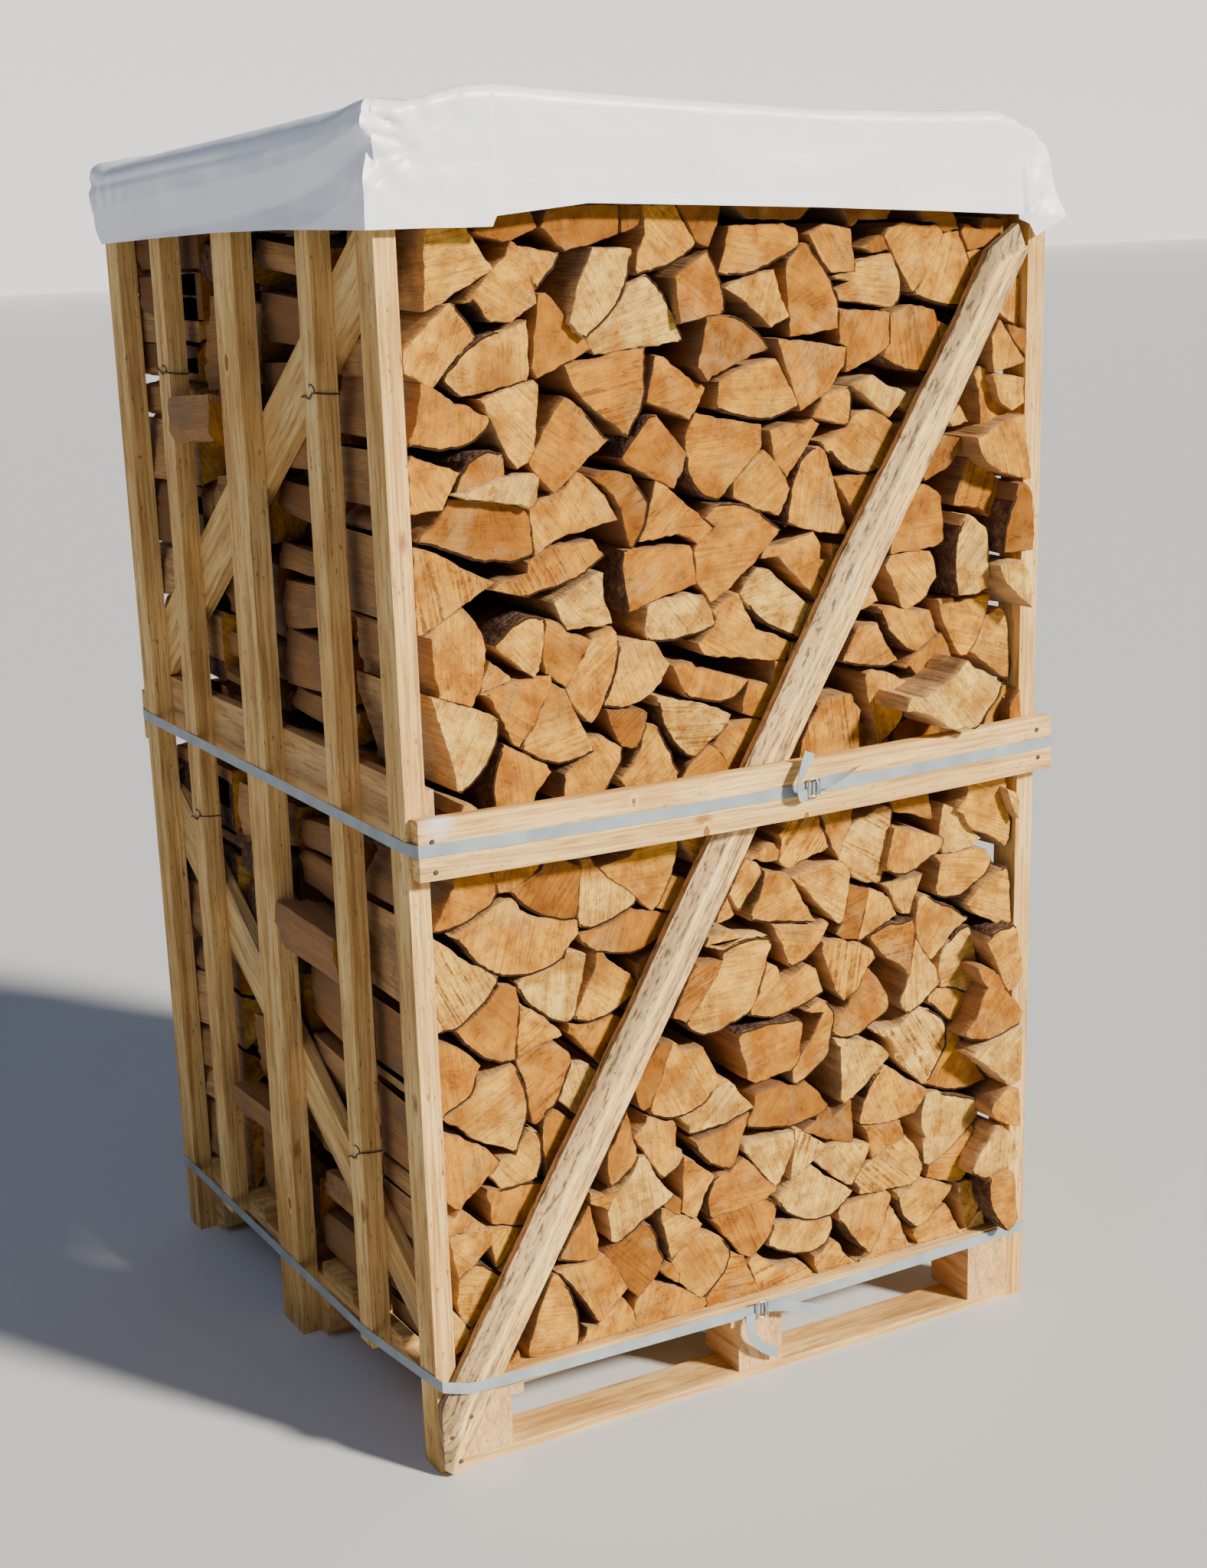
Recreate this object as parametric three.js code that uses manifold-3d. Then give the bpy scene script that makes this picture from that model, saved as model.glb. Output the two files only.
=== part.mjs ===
import * as THREE from 'three';
import { mergeVertices } from 'three/addons/utils/BufferGeometryUtils.js';
import Module from 'manifold-3d';

// Pallet of split beech logs in a pine crate, millimetres, +Z up.
// Working frame: x = 0 at the outer face of the left posts, y = 0 at the front face of the front posts,
// z = 0 on the ground. At the end the whole crate is moved so that the origin is under its middle.

// Crate
const POST_SPAN = 999;
const CRATE_DEPTH = 975;
const POST_WIDTH = 29;
const POST_DEPTH = 49;
const POST_TOP = 1672;
const SLAT_TOP = 1668;
const GAP = 0.3;

// Pallet base
const BOTTOM_BOARD = { thick: 13, deep: 68 };
const BLOCK = { deep: 90, top: 86 };
const BLOCK_SPANS = [[29.4, 110], [479, 553], [895, 969.6]];
const STRINGER_TOP = 100;
const STRINGER_SPANS = [[29.4, 130], [466, 566], [895, 969.6]];
const DECK_TOP = 122;
const DECK_BOARDS = 6;
const DECK_BOARD_DEPTH = 112;

// Middle rails: they bow outward over the braces
const RAIL_BOTTOM = 837;
const RAIL_TOP = 917;
const RAIL_THICK = 22;
const RAIL_BOW = 22;
const RAIL_STATIONS = 8;
const RAIL_MIDDLE = 505;
const RAIL_ENDS = { front: [6, 1012], back: [-9, 995] };
const RAIL_CLEAR = 20;
const BRACE_THICK = 20;

// Side boards and diagonals lie against the inner faces of the slats
const SIDE_BOARD = { inner: 46.3, bottom: 850, top: 945, front: 12 };
const DIAGONAL_INNER = 46.8;

// Slanting boards: their ends in y, the heights of their lower and upper edges there, and the height
// of what they rest on
const DIAGONALS = {
  upper: { ends: [62, 962], lower: [1563, 923], upper: [1660, 1028], rest: SIDE_BOARD.top + 1 },
  lower: { ends: [62, 962], lower: [124, 672], upper: [196, 786], rest: 0 },
};

// What a channel in the firewood adds to its board: to the length and to every face
const CHANNEL = [30, 0.5];

// Straps
const STRAP_THICK = 0.9;
const STRAP_WIDTH = 16;
const STRAP_HEIGHT = 878;
const STRAP_SLACK = 0.6;
const BUCKLE = { wide: 9.6, high: 14.6, wire: 3.2, stand: 0.8 };
const BUCKLE_PLACES = { middle: { x: 581, z: 879 }, bottom: { x: 510, y: -13.4, z: 111 } };

// Firewood rows
const ROW_ENDS = [15, 245, 252, 489, 496, 727];
const SLAB = { left: 58, right: 941, front: 84, top: 1668 };
const ROW_BOTTOM = DECK_TOP + 0.4;
const LOG_MARGIN = 1.4;
const LOG_BITE = 12;
const FLAT_CORNER = 6;
const FRONT_DETAIL = { corners: 5, smallest: 900 };
const BACK_DETAIL = { corners: 4, smallest: 4200 };

// The log outlines are written as they appear on the plane y = OUTLINE_PLANE from this view point;
// an end that stands farther forward is brought back along its line of sight.
const OUTLINE_PLANE = 15;
const VIEW_POINT = [-1145, -2533, 1645];

const MATERIALS = {
  pine: new THREE.MeshStandardMaterial({ color: 0xe2c08c, roughness: 0.8, metalness: 0 }),
  weathered: new THREE.MeshStandardMaterial({ color: 0xb8a486, roughness: 0.85, metalness: 0 }),
  beech: new THREE.MeshStandardMaterial({ color: 0xc9945a, roughness: 0.85, metalness: 0 }),
  webbing: new THREE.MeshStandardMaterial({ color: 0xb4bab6, roughness: 0.55, metalness: 0 }),
  steel: new THREE.MeshStandardMaterial({ color: 0xb9bcc0, roughness: 0.35, metalness: 1 }),
  foil: new THREE.MeshStandardMaterial({ color: 0xe9ecef, roughness: 0.45, metalness: 0 }),
};

// Ends of the logs in an outer row: look, then x,z corners in millimetres, from the top down.
const LOG_ENDS = `
t1 68,1524 78,1527 162,1570 142,1598 131,1613 125,1640 73,1640 71,1598 70,1570
t1 187,1602 197,1595 212,1560 219,1527 190,1511 184,1506 150,1509b 133,1533e 121,1531 163,1571 180,1585
t1 194,1595 253,1585b 248,1573 220,1543e 212,1558
t0+12 299,1590 355,1586 353,1575b 350,1555 335,1524 317,1504 287,1481e 264,1502 279,1551
t1 102,1533 109,1531b 137,1491e 109,1471 98,1460 75,1435 37,1455 37,1480 70,1510
t1h 205,1508 207,1451 203,1436 127,1423 107,1423b 87,1443 105,1463 125,1481 142,1491 160,1497e 180,1499
t2 222,1538 232,1539 240,1533 265,1501 286,1480 294,1469 217,1437 209,1451 213,1480
t2 58,1442 75,1435 96,1421 103,1413 116,1413 151,1393b 140,1377 118,1364 87,1360 60,1364 37,1368e 50,1395
t1 137,1417 176,1429 213,1436 219,1430 215,1392 210,1352 199,1337 183,1330 166,1355 150,1392
t2 199,1337 210,1355 240,1399 255,1413 268,1405 286,1388b 301,1371 317,1356e 286,1337 270,1323 262,1317 234,1296 207,1323
t2s 256,1451 299,1455 330,1464 372,1467b 371,1440 366,1399 357,1380 342,1357e 329,1368 299,1390 279,1408 265,1426
t0 347,1542 374,1555b 393,1536 405,1520 417,1500 426,1472e 376,1467 330,1464 299,1461 288,1480 317,1503 336,1524
t3 138,1613 160,1640 212,1640 224,1616 190,1602 176,1600
t3 228,1616 240,1640 337,1640 336,1604 298,1593 262,1586 247,1598
t3 340,1640 376,1637 366,1615 352,1608 341,1606
t1 372,1638 419,1636 449,1591 443,1581b 405,1562 376,1557 359,1554e 362,1580 374,1603
t3 421,1640 487,1640 482,1612 468,1584 452,1589
t2+15 418,1549 442,1566 467,1581b 480,1553 489,1529 490,1504e 424,1492
t2 498,1608 580,1610 600,1603 604,1589 601,1577b 582,1567 550,1556 528,1549 501,1548e 481,1553 488,1571
t3 505,1634 630,1632 605,1614 580,1613 530,1617
t1 491,1533 506,1541 541,1548 566,1553 577,1515 589,1493 561,1480 524,1513
t2 608,1585 622,1580b 646,1549 657,1531 667,1506e 666,1474 591,1467 591,1489 584,1542 586,1562 601,1577
t3+15 463,1499 499,1499b 519,1492 535,1480 550,1466 557,1453e 530,1448 501,1436 470,1425 464,1418 448,1437 454,1456
t2 386,1455 399,1453 430,1428 458,1411 450,1394 434,1372 401,1388 372,1399 378,1425
t1 479,1417 510,1431 546,1439 568,1441 582,1419 600,1390 604,1377b 568,1366 537,1365 501,1373 474,1383e
t2 570,1466 640,1457 680,1449 676,1425 667,1416 657,1400 642,1388 606,1371 602,1382 591,1408
t2 667,1500 750,1490 749,1449 737,1440 690,1420 678,1417 680,1449 668,1455
t2 620,1595 644,1607 687,1599 693,1556 692,1545 656,1545 646,1555 633,1571
t1 657,1541 693,1545 694,1556 710,1561 750,1566 759,1553b 766,1538 768,1520 764,1503e 750,1497 668,1510 663,1523 685,1533
t3 672,1628 752,1622 745,1610 700,1612 688,1602
t1h 739,1588 748,1599 764,1604 777,1604 800,1600 824,1601 836,1592 837,1587 824,1560 817,1549 802,1527 787,1515 759,1556
t3 700,1575 732,1590 740,1587 748,1571 720,1567
t1 838,1588 863,1591 878,1558 890,1521 900,1512 896,1500b 878,1494 855,1493 826,1498 804,1505 790,1511e 802,1527 818,1552
t1 878,1563 925,1568 955,1560 950,1530 915,1505 900,1512 890,1521
t3 866,1590 872,1600 935,1583 925,1569 878,1565
t3 790,1640 850,1640 852,1618 863,1593 838,1590 826,1602 805,1606
t2s 757,1492 786,1499 824,1490 830,1475 836,1440 840,1412b 813,1408 782,1412 748,1425 736,1434e 750,1450 750,1488
t1 830,1475 849,1467 865,1466 890,1450 880,1420 850,1405 838,1417
t1 969,1527 969,1460 940,1476 905,1500 930,1530
t1 937,1472 948,1457 958,1444 981,1416 980,1412 947,1405 928,1401 923,1422 922,1450
t3 950,1465 969,1459 982,1456 982,1420 958,1446
t1 902,1412 922,1405 925,1398 936,1363 950,1348 957,1340 935,1332 915,1325 905,1325 903,1350 901,1380 893,1400
t1 925,1398 937,1399 981,1391 982,1357 960,1347 945,1356 937,1363
t0 689,1399 703,1405 722,1411 744,1397 779,1384 766,1367 751,1353 726,1370
t1 766,1368 790,1388 816,1389 835,1375 825,1350 793,1352
t1 637,1330 660,1337 680,1345 688,1359 704,1366 719,1365 744,1354 757,1344 760,1306 755,1291b 726,1282 703,1282 683,1288 668,1299 655,1313e 645,1318
t1 624,1362 642,1388 653,1392 683,1398b 689,1385 688,1365 684,1347e 653,1355
t2 557,1350 588,1357 613,1354 624,1361 636,1353 620,1331 604,1311 584,1287 563,1313
t2 443,1381 457,1377 488,1370 524,1362 543,1359 544,1335 539,1325 527,1315 512,1300 477,1266b 461,1270 441,1286 431,1303 429,1320e 427,1339 430,1358
t2 330,1332b 345,1352 362,1370 378,1383e 386,1382 399,1366 414,1350 431,1329 426,1316 410,1287 382,1300 345,1320
t1 868,1362 884,1338 858,1333 845,1345
t1 42,1358 60,1349 80,1342 92,1339 106,1332 102,1327 89,1306 80,1289 36,1288 36,1350
t2 166,1352b 145,1356 127,1350 113,1339 102,1325 97,1307e 118,1311 154,1317 165,1321
t0+15 100,1304 165,1320 208,1323 215,1317 210,1290 199,1281 188,1286 154,1292 120,1298
t3 89,1301 120,1298 154,1292 185,1285 198,1270 200,1255 201,1223b 181,1217 154,1218 127,1222 105,1229 80,1240 42,1254e 63,1269 80,1288
t1 268,1320 280,1313 301,1293 311,1280 325,1255 288,1249 254,1244 232,1237 203,1221 201,1245 199,1279 212,1288 234,1294 250,1301
t2s 193,1214 218,1226 243,1231 288,1234 297,1219 305,1211b 270,1190 243,1181 216,1176 191,1170e 163,1178 142,1185 151,1192 176,1196 192,1201
t1s 36,1248 62,1240 82,1230 100,1217 131,1201 147,1193 100,1169 73,1154 40,1139 36,1140
t0 228,1160 250,1170 291,1191 302,1190 301,1161 306,1145 313,1124 246,1122 234,1145
t1 45,1137 73,1153 100,1168 109,1158 120,1141 127,1127 130,1111 129,1098 125,1078 118,1058 107,1041 62,1058 57,1095 55,1134
t1 140,1115b 154,1126 172,1139 196,1146 216,1141e 214,1120 210,1100 204,1076 196,1067 176,1083 158,1098
t1 134,1097 145,1088 165,1069 132,1060 119,1057 126,1080
t2 216,1139 228,1137 241,1128 246,1120 266,1114 280,1106 272,1092 257,1071 241,1049 221,1066 212,1071 209,1090 213,1120
t1 280,1106 312,1120 319,1111 320,1089 315,1067 308,1047 293,1018 285,1005 277,998 272,1000 261,1012 251,1025 241,1047 257,1071 272,1092
t0+12 51,1061 106,1040 131,1030 144,1020b 143,1000 136,983 129,971 120,959 109,948 98,939 87,933e 81,936 76,967 68,996 61,1025 55,1045
t2 118,1056 132,1060 165,1067 196,1067 220,1068 221,1056 210,1036 204,1025 196,1008 181,991 172,980 166,983 152,1007 145,1025 132,1049
t1h 222,1058 241,1047 250,1023 259,1005 268,988 273,976 279,960b 265,955 239,951 221,952 210,956 198,960 190,966 181,971 174,978e 181,991 196,1008 204,1025 210,1036
t1 321,1101 350,1099 376,1092 387,1074 398,1061 385,1038 367,1024 345,1015 317,1012b 295,1017 301,1031 308,1047 315,1067 320,1089e
t3s 290,1311 302,1318 325,1316 346,1310 356,1295b 367,1279 369,1261 365,1243 354,1226 343,1214e 337,1232 330,1268 319,1286 308,1297
t2 390,1214 412,1214 432,1212 437,1205 440,1179 442,1161 423,1156 370,1145 335,1134b 331,1161 327,1190 331,1216e
t2 381,1300 392,1295 410,1281 423,1270 439,1257 450,1246 468,1231 464,1226 443,1213 432,1222 416,1228 390,1226 355,1224 366,1246 370,1262 375,1278
t2 500,1289 517,1303 535,1320 547,1326 562,1312 582,1287 588,1272 583,1257 571,1238 541,1248 517,1259 499,1268
t1 637,1323 645,1317 653,1295 658,1281 667,1250 676,1223 680,1203 629,1212 582,1227b 583,1241 588,1265 593,1283 602,1301 613,1315 626,1323e
t2 477,1262b 506,1260 535,1249 555,1234 574,1219e 552,1199 539,1189 531,1178 510,1165 488,1147 462,1134 452,1149 442,1161 440,1179 437,1204 443,1213 466,1227 470,1233 455,1245
t0 507,1141 535,1173 555,1168 580,1145 617,1115 616,1107 604,1087 601,1069b 568,1085 541,1101 524,1118e
t1 552,1199 580,1200 602,1206 626,1212 632,1203 638,1191 636,1172 633,1152 650,1131 648,1118 636,1114 568,1184 542,1184
t1 655,1193 668,1190 681,1182 672,1165 655,1140 651,1131 634,1153 636,1172 656,1172
t0 366,1139 370,1143 390,1146 430,1150 450,1146 463,1123 467,1107 463,1101b 441,1095 398,1091 367,1094e 361,1103
t1 463,1123 501,1143 506,1141 515,1120 524,1107 533,1091 568,1078 589,1067 588,1056 580,1042 559,1045 535,1050 457,1064 450,1066 440,1083 466,1103 470,1112
t1 617,1115 636,1114 650,1125 645,1105 625,1080 610,1068 602,1070 604,1087 616,1107
t1 590,1066 604,1064 619,1070 612,1050 593,1030 587,1045
t2 401,1058 431,1059 439,1049 479,1038 519,1024 517,1018b 510,1011 501,1004 490,1000 466,1000 450,1004 434,1009 423,1013e 418,1020 412,1031
t1 562,1045 580,1042 586,1028 582,1012 568,989 559,980 554,966 537,969 519,975 509,979 510,991 512,1000 517,1014 520,1023 532,1018 555,1013 560,1020
t1 757,1344 788,1346 800,1330 785,1305 765,1309 759,1326
t2 657,1282 701,1280 750,1278 765,1270 740,1225 706,1212 692,1232 672,1262
t3 830,1325 846,1323 877,1315 872,1300 862,1290 848,1277 811,1263 800,1275 810,1300
t2s 893,1298 907,1290 918,1277 927,1266 949,1246 967,1230 960,1219 931,1199 916,1210 900,1219 878,1223 861,1226 866,1243 878,1268 885,1285
t1+20 900,1315 916,1319 922,1326 949,1334 983,1341 985,1313 992,1286 998,1252 989,1250 960,1259 938,1268 922,1276 911,1288 902,1306
t3+42 974,1246 985,1247 995,1238 1001,1225 1004,1200 1004,1150 950,1150b 952,1180 958,1201 967,1223e
t0+20 882,1211 893,1208 907,1197 918,1190 922,1178 925,1134 926,1105 909,1099 869,1098b 864,1120 863,1150 866,1178 873,1197e
t2 806,1260 811,1259 826,1251 840,1239 841,1223 844,1201 845,1178 826,1171 752,1169 755,1190 780,1225 790,1245
t1 744,1154 753,1167 795,1169 822,1166 827,1158 831,1145 833,1129 826,1122 815,1105 804,1098 784,1090 771,1094 766,1107 755,1134
t1 690,1120 715,1135 727,1120 733,1107 718,1101 700,1097
t1 730,1100 753,1098 770,1092 786,1089 822,1084 826,1073 831,1060 837,1051 826,1044 808,1033 795,1027b 781,1033 766,1047 752,1060 746,1071 737,1089e
t1 701,1076 731,1077 735,1067 746,1047 759,1029 768,1018b 744,1013 721,1016 681,1026e 674,1030 683,1047
t1 835,1098 862,1097 865,1090 891,1092 911,1096 927,1097 920,1069 911,1047 902,1029 888,1013 878,1013 864,1029 855,1047 846,1062 839,1079
t2h 842,1050 855,1030 860,1016 866,1000 872,992 862,984b 849,983 835,983 815,984 804,988 795,996 786,1007e 775,1010 780,1014 793,1025 808,1032 826,1043
t1h 920,1067 947,1075 954,1067 960,1049 962,1033 963,1018 966,1000b 967,987 966,978 962,969e 949,975 938,984 927,991 916,1000 902,1012 893,1017 902,1029 911,1047
t0+42 944,1134 958,1139 988,1137 1000,1110 1005,1067 983,1083 967,1098 953,1112 947,1125
t2 150,987 163,980 181,970 196,960 210,953 216,942 206,931 193,918 186,900 132,900b 130,927 132,942 136,958 143,974e
t1 235,936 243,942 266,953 279,960 272,978 295,978 319,961 323,958b 321,940 310,924 301,911 290,900e 232,900
t1 84,900 89,918 100,917 107,911 112,900
t2 74,838 117,838 125,817 129,802 131,793b 125,782 109,773 94,765 76,759 60,756 47,755 34,758e 49,777 62,802 69,813
t2 120,838 194,838 194,823 186,813 176,807 165,802 154,795 148,792 133,793 130,804 125,817
t3s 165,802 176,807 196,815 205,828 229,823 252,811 254,804 251,784 250,768 248,755 244,739b 228,739 214,744 199,749 185,757 174,765 163,775 154,786e 150,793
t0 257,818 270,818 277,805 281,803 290,793 301,783 312,774 324,765 339,750b 328,739 317,735 301,728 288,725 272,722 260,723 251,726e 248,737 249,755 251,779 254,802
t1 281,803 304,808 328,811 345,824 404,824 404,809 399,790 393,773 386,761 380,750 374,739 362,728 354,734 345,742 339,750 324,765 312,774 301,783 290,793
t1 59,749 68,748 76,753 94,761 109,768 125,778 141,784 152,783 158,777 163,765 176,756 190,750 210,746 230,739 248,737 248,717 241,711 229,698b 226,692 210,682 190,677 176,675 160,676 138,680 127,684 116,690 105,698 94,706 87,716 76,732 68,744e
t0s 34,746 42,745 53,737 71,719 87,706 98,702 114,689 127,681b 126,672 118,662 107,650 91,639 76,628 62,621 44,621e 36,622
t2 248,717 260,719 277,719 295,723 310,730 326,736 350,732 362,728 385,722 405,720 392,702 380,685 372,687b 358,681 345,677 319,676 301,679 286,684 268,690 257,699e 250,708
t2 386,761 393,772 403,769 412,768 416,761 422,758 418,745 410,728 405,722 385,724 368,732 374,739 380,750
t1s 405,824 485,824 468,806 461,795 450,784 441,777 434,782 425,790 419,802
t1 512,777 530,779 548,790 559,790 568,779 565,766 555,765 539,767 530,773
t1s 566,802 577,809 580,824 631,824 637,805b 644,793 648,779 650,768e 637,765 620,763 606,759 593,754 582,750 570,757 565,765 568,779 570,793
t2 636,824 690,824 687,795 681,784 672,768 667,748 662,757 653,775 644,799
t0s 699,802 712,804 732,813 746,815 755,812 760,802b 759,782 756,764 750,744 746,726 741,712 737,703e 726,707 715,707 701,713 691,719 686,726 684,732 672,745 667,748 672,768 681,784 687,795
t2 757,824 822,824 824,809 828,797 830,784 826,782 800,793 777,799 760,804
t1+12 762,780 791,770 808,767 826,760 841,755 850,750 849,741 846,737 835,726b 824,723 813,718 804,712 791,709 777,708 766,710 755,715 745,719e 750,735 756,755
t0 850,802 860,797 871,788 885,780 893,764 904,751 918,740 900,730 880,727 862,727 849,728 846,737 850,750 841,757 845,780
t1 871,788 882,799 891,808 892,824 962,824 965,804b 968,793 970,779 974,761 975,750 973,737 970,726 967,720e 962,720 949,730 929,744 916,749 902,755 893,764 885,780
t0 965,806 981,799 988,788 989,757 980,768 971,788
t1s 612,942 622,958 629,968 633,975 646,982 672,984 688,983 692,971 705,958 702,936 703,900 600,900 604,928
t1h 712,1008 726,1012 737,1008 755,1003 766,997 779,991 788,985 795,977b 792,965 787,956 779,945 773,931 767,924 759,918 748,910 735,900e 731,900 728,927 724,945 718,965 713,980 711,996
t0+74 791,964 815,960 826,965 840,971 851,975 862,983 872,988 878,996 889,1005 893,1003 904,991 927,981 938,975 954,964b 951,956 945,942 933,931 922,918 916,910 904,903e 890,907 871,907 862,909 849,918 835,927 826,932 815,938 802,942 782,945 784,953
t2 954,960 960,960 962,938 965,927 966,918 969,905 916,905 922,918 933,931 945,942 951,956
t2 966,926 975,940 985,950 988,905 968,905
t0s 376,1020 390,1018 414,1008 432,1006 450,1000 463,993 479,987 492,980 487,970 477,960 466,953 452,945 441,936 433,929b 423,932 414,940 403,951 394,965 387,976 382,989 378,1007e
t1 488,969 501,968 510,970 521,970 535,968 543,966b 544,951 539,940 530,924 521,913 512,900e 489,900 479,924 467,938 461,943 470,953 479,961
t2 457,944 467,938 479,924 489,905 489,900 408,900 422,920 434,929 445,937
t1 359,987 370,984 378,977b 384,965 392,949 399,936 403,924 410,913e 400,900 330,900 316,917 333,931 343,945 350,955 352,967 358,980
t3s 299,1013 321,1009 345,1007 356,1005 362,1000 359,987 358,980 352,967 345,956 336,955 322,960 315,969 308,985 302,1000
t1 542,754 550,753 564,747 580,744 585,737 595,721 608,695 617,681 627,667 618,665b 604,668 582,673 555,677 535,681 518,686e 519,695 531,712 540,735
t1 512,777 530,768 538,759b 539,750 530,739 521,728 510,715 501,703e 493,712 486,726 483,730 495,752
t1s 481,728 488,708 492,700 477,694 461,694
t1 585,737 602,741 622,747 667,748 672,745 684,732 686,725 684,710 681,690 677,670 672,656 666,655 655,666 642,679 626,695 611,715 597,727
t2h 62,619 76,626 94,637 109,648 120,661 127,670 138,667 152,661 154,648 156,639 154,626 151,608 149,590 147,572 147,561b 140,560 132,561 120,563 109,568 98,574 87,585 78,594 69,605 62,616e
t2 34,606 49,603 62,598 74,588 85,577 95,565 91,558 88,548b 85,536 78,525 65,518 49,511 35,503e 34,540
t1 155,639 163,632 174,627 185,617 196,608 201,601 212,592 218,581 199,577 176,573 163,570 152,565 149,564 150,581 152,599 155,620
t0 154,667 165,673 176,673 199,676 214,681 225,687 229,697 243,695 257,688 254,673 248,646 241,621 234,599b 225,596 214,600 201,606 192,614 183,621 172,630 165,639 158,652e
t1h 275,688 286,683 290,675 301,666 312,657 326,646 333,636 335,622 330,614b 315,607 299,600 283,594 266,592 250,594 237,600e 243,617 254,637 266,655 272,670
t2 338,657 350,666 361,671 372,668 366,655 350,630 335,607 322,592 318,598 328,614 335,620 335,637
t2 228,595 243,590 261,588 277,590 295,595 306,590 316,578 300,550 283,523 275,524 270,532 254,550 239,570 225,583
t2s 147,561 154,566 165,571 176,572 203,574 216,565 228,552 229,536b 221,518 214,503 208,491 199,480 192,479e 186,471 180,466 174,463 168,466 166,480 163,501 160,521 155,539 149,552
t1h 36,503 49,508 65,516 78,524 84,535 89,545 100,547 120,552 141,558 149,545b 156,527 161,507 163,492 161,474 156,460 151,449 143,431e 127,440 109,449 91,458 76,467 65,480 58,488 42,496
t2 34,483 49,476 62,472 74,460 94,449 107,436 116,423 104,411 96,405 82,391 65,380 57,369 49,371 37,383 34,400
t1 118,426 141,427 145,440 154,451 163,458 174,454b 180,440 180,425 177,402 172,387e 152,385 132,384 116,384 109,396 100,407 110,414
t2 187,470 199,478 208,475 217,467 230,456 240,449 221,418 214,402 205,384 186,384 185,407 181,427 183,451
t0 230,540 243,536 257,532 268,521 282,518 266,492 245,458 232,467 217,482 208,490 214,501 221,518
t1 553,675 580,670 604,665 624,660 644,664 649,659 642,646 636,638 631,628b 617,617 602,609 590,606 584,606e 579,619 568,646 559,661
t1 472,650b 490,656 506,659 528,660 541,658 550,655e 553,646 548,635 543,621 539,608 533,592 528,577 521,563 517,555b 510,550 499,546 483,543 468,536 452,534 434,536 423,542 414,550 410,560e 421,570 434,583 448,601 463,619 472,637
t2s 430,640 472,637 463,619 448,601 434,583 421,570 410,560 400,566 390,571 405,600 420,628
t4 450,675 479,681 488,677 499,670 530,667 545,661 528,662 506,661 490,658 472,652 455,658 445,662
t1 544,621 561,612 568,590 588,593 600,601 608,606 617,603 626,597 631,583 635,570 640,559b 626,553 613,548 600,544 582,540 564,537 546,538 530,542 515,547e 519,559 528,572 535,592 541,608
t1s 637,624 640,632 655,632 670,632 688,621 699,622 715,612 726,603 730,592 717,581 712,572 706,566 704,558 699,550 688,546 680,541 675,538 662,554 653,577 644,601
t2 706,566 717,581 726,570 737,556 746,541 753,529 755,514 752,506b 737,498 721,491 708,483 701,480 683,480 670,482 657,489e 655,496 658,516 668,521 680,527 686,538 699,550 704,558
t1 608,536 620,543 633,547 646,543b 654,532 659,516 655,496 651,478 649,463 635,451 622,442 606,432 591,427e 586,440 586,451 597,463 602,474 613,485 622,498 633,518 640,528 625,530
t2 495,524b 510,528 535,530 559,530 582,528 597,528e 604,518 602,500 599,483 599,469 588,455 582,451 557,449 539,446 524,445 510,454 510,465 505,483 500,496 498,507
t1 390,534 398,530 401,521 412,516 428,516 439,517 443,507 450,494 457,480 462,469 479,460 466,456 459,457 450,447b 443,438 434,432 423,429 412,426 399,424 378,425 363,431 350,438e 352,449 358,465 370,487 378,510
t3 370,538 390,535 378,510 370,487 358,465 352,449 340,445 332,455 325,480 338,505 352,520
t0 479,460 488,451 501,431 512,420 519,411 510,406b 499,402 483,398 468,394 450,393 432,392 416,392e 412,396 413,405 401,416 399,421 419,425 434,431 448,443 461,455
t3 521,427 535,431 550,433 568,433 582,428 593,425 608,431 617,422 629,411 637,398 647,386 640,378 626,371b 608,369 586,366 559,370 535,374 519,378 506,384e 510,395 517,405 521,418
t0 655,487 668,482 688,474 703,476 719,467 735,460 748,449 757,438 744,425 732,416 719,405 708,397 696,390 686,385 676,380 669,390 671,425 669,469 660,478
t1 718,695 730,694 744,687 753,679 759,668 764,657 768,650 748,641b 730,633 715,627 703,622e 699,626 706,646 712,670
t3s 684,708 718,697 712,670 706,646 699,626 688,628 675,630 662,640 672,656 677,670 681,690
t1 744,699 752,700 775,700 802,702 813,704 806,688 799,673 794,659 790,648 777,650 766,664 759,679 753,690
t1 837,725 849,726 866,725 884,726 902,729 916,726 929,721 934,712 940,702b 936,693 927,681 913,673 902,668 889,661 878,658 864,659 849,661 836,668e 840,693 844,715
t1 895,643 904,652 920,666 933,675 945,681 958,687b 969,687 973,670 976,643 979,617 980,600e 965,598 951,604 927,617 907,628
t1 804,665 809,670 817,673 826,668b 837,659 849,652 862,648 875,639 887,630e 898,623 889,617 875,610 864,601 855,590 844,581 837,574 831,570 822,581 813,592 806,605 802,619 801,641 803,655
t2s 719,626b 732,632 750,639 764,639 777,637 798,640e 800,626 799,608 795,585 793,563 790,554 777,570 759,583 746,592 735,605 726,617
t0 802,608 813,590 826,572 840,554 842,545 846,534 840,525b 831,518 822,512 811,503 791,494e 782,503 775,516 777,525 786,539 792,554 795,576 798,594
t0 844,559 846,572 853,583 864,594b 875,603 891,610 902,608 906,599e 909,581 912,563 918,543 917,525 919,507 907,505 893,510 878,518 862,523 847,525 847,536 843,550
t2+30 931,541 949,530 960,516 969,496 980,483 991,474 1004,456 996,436b 978,431 958,425 938,422 920,426 902,431 893,438e 904,449 916,460 922,476 929,494 938,505 925,520 918,540
t1+40 933,577 940,585b 951,592 974,594 983,597e 989,590 994,559 1003,525 1000,512 989,494 976,492 969,503 962,516 954,536 945,556
t1 826,516 842,523 860,521 878,516 893,507 916,498 928,494 922,478 916,465 904,451b 895,454 880,460 864,469 853,478 842,489 831,500e 824,510
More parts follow.
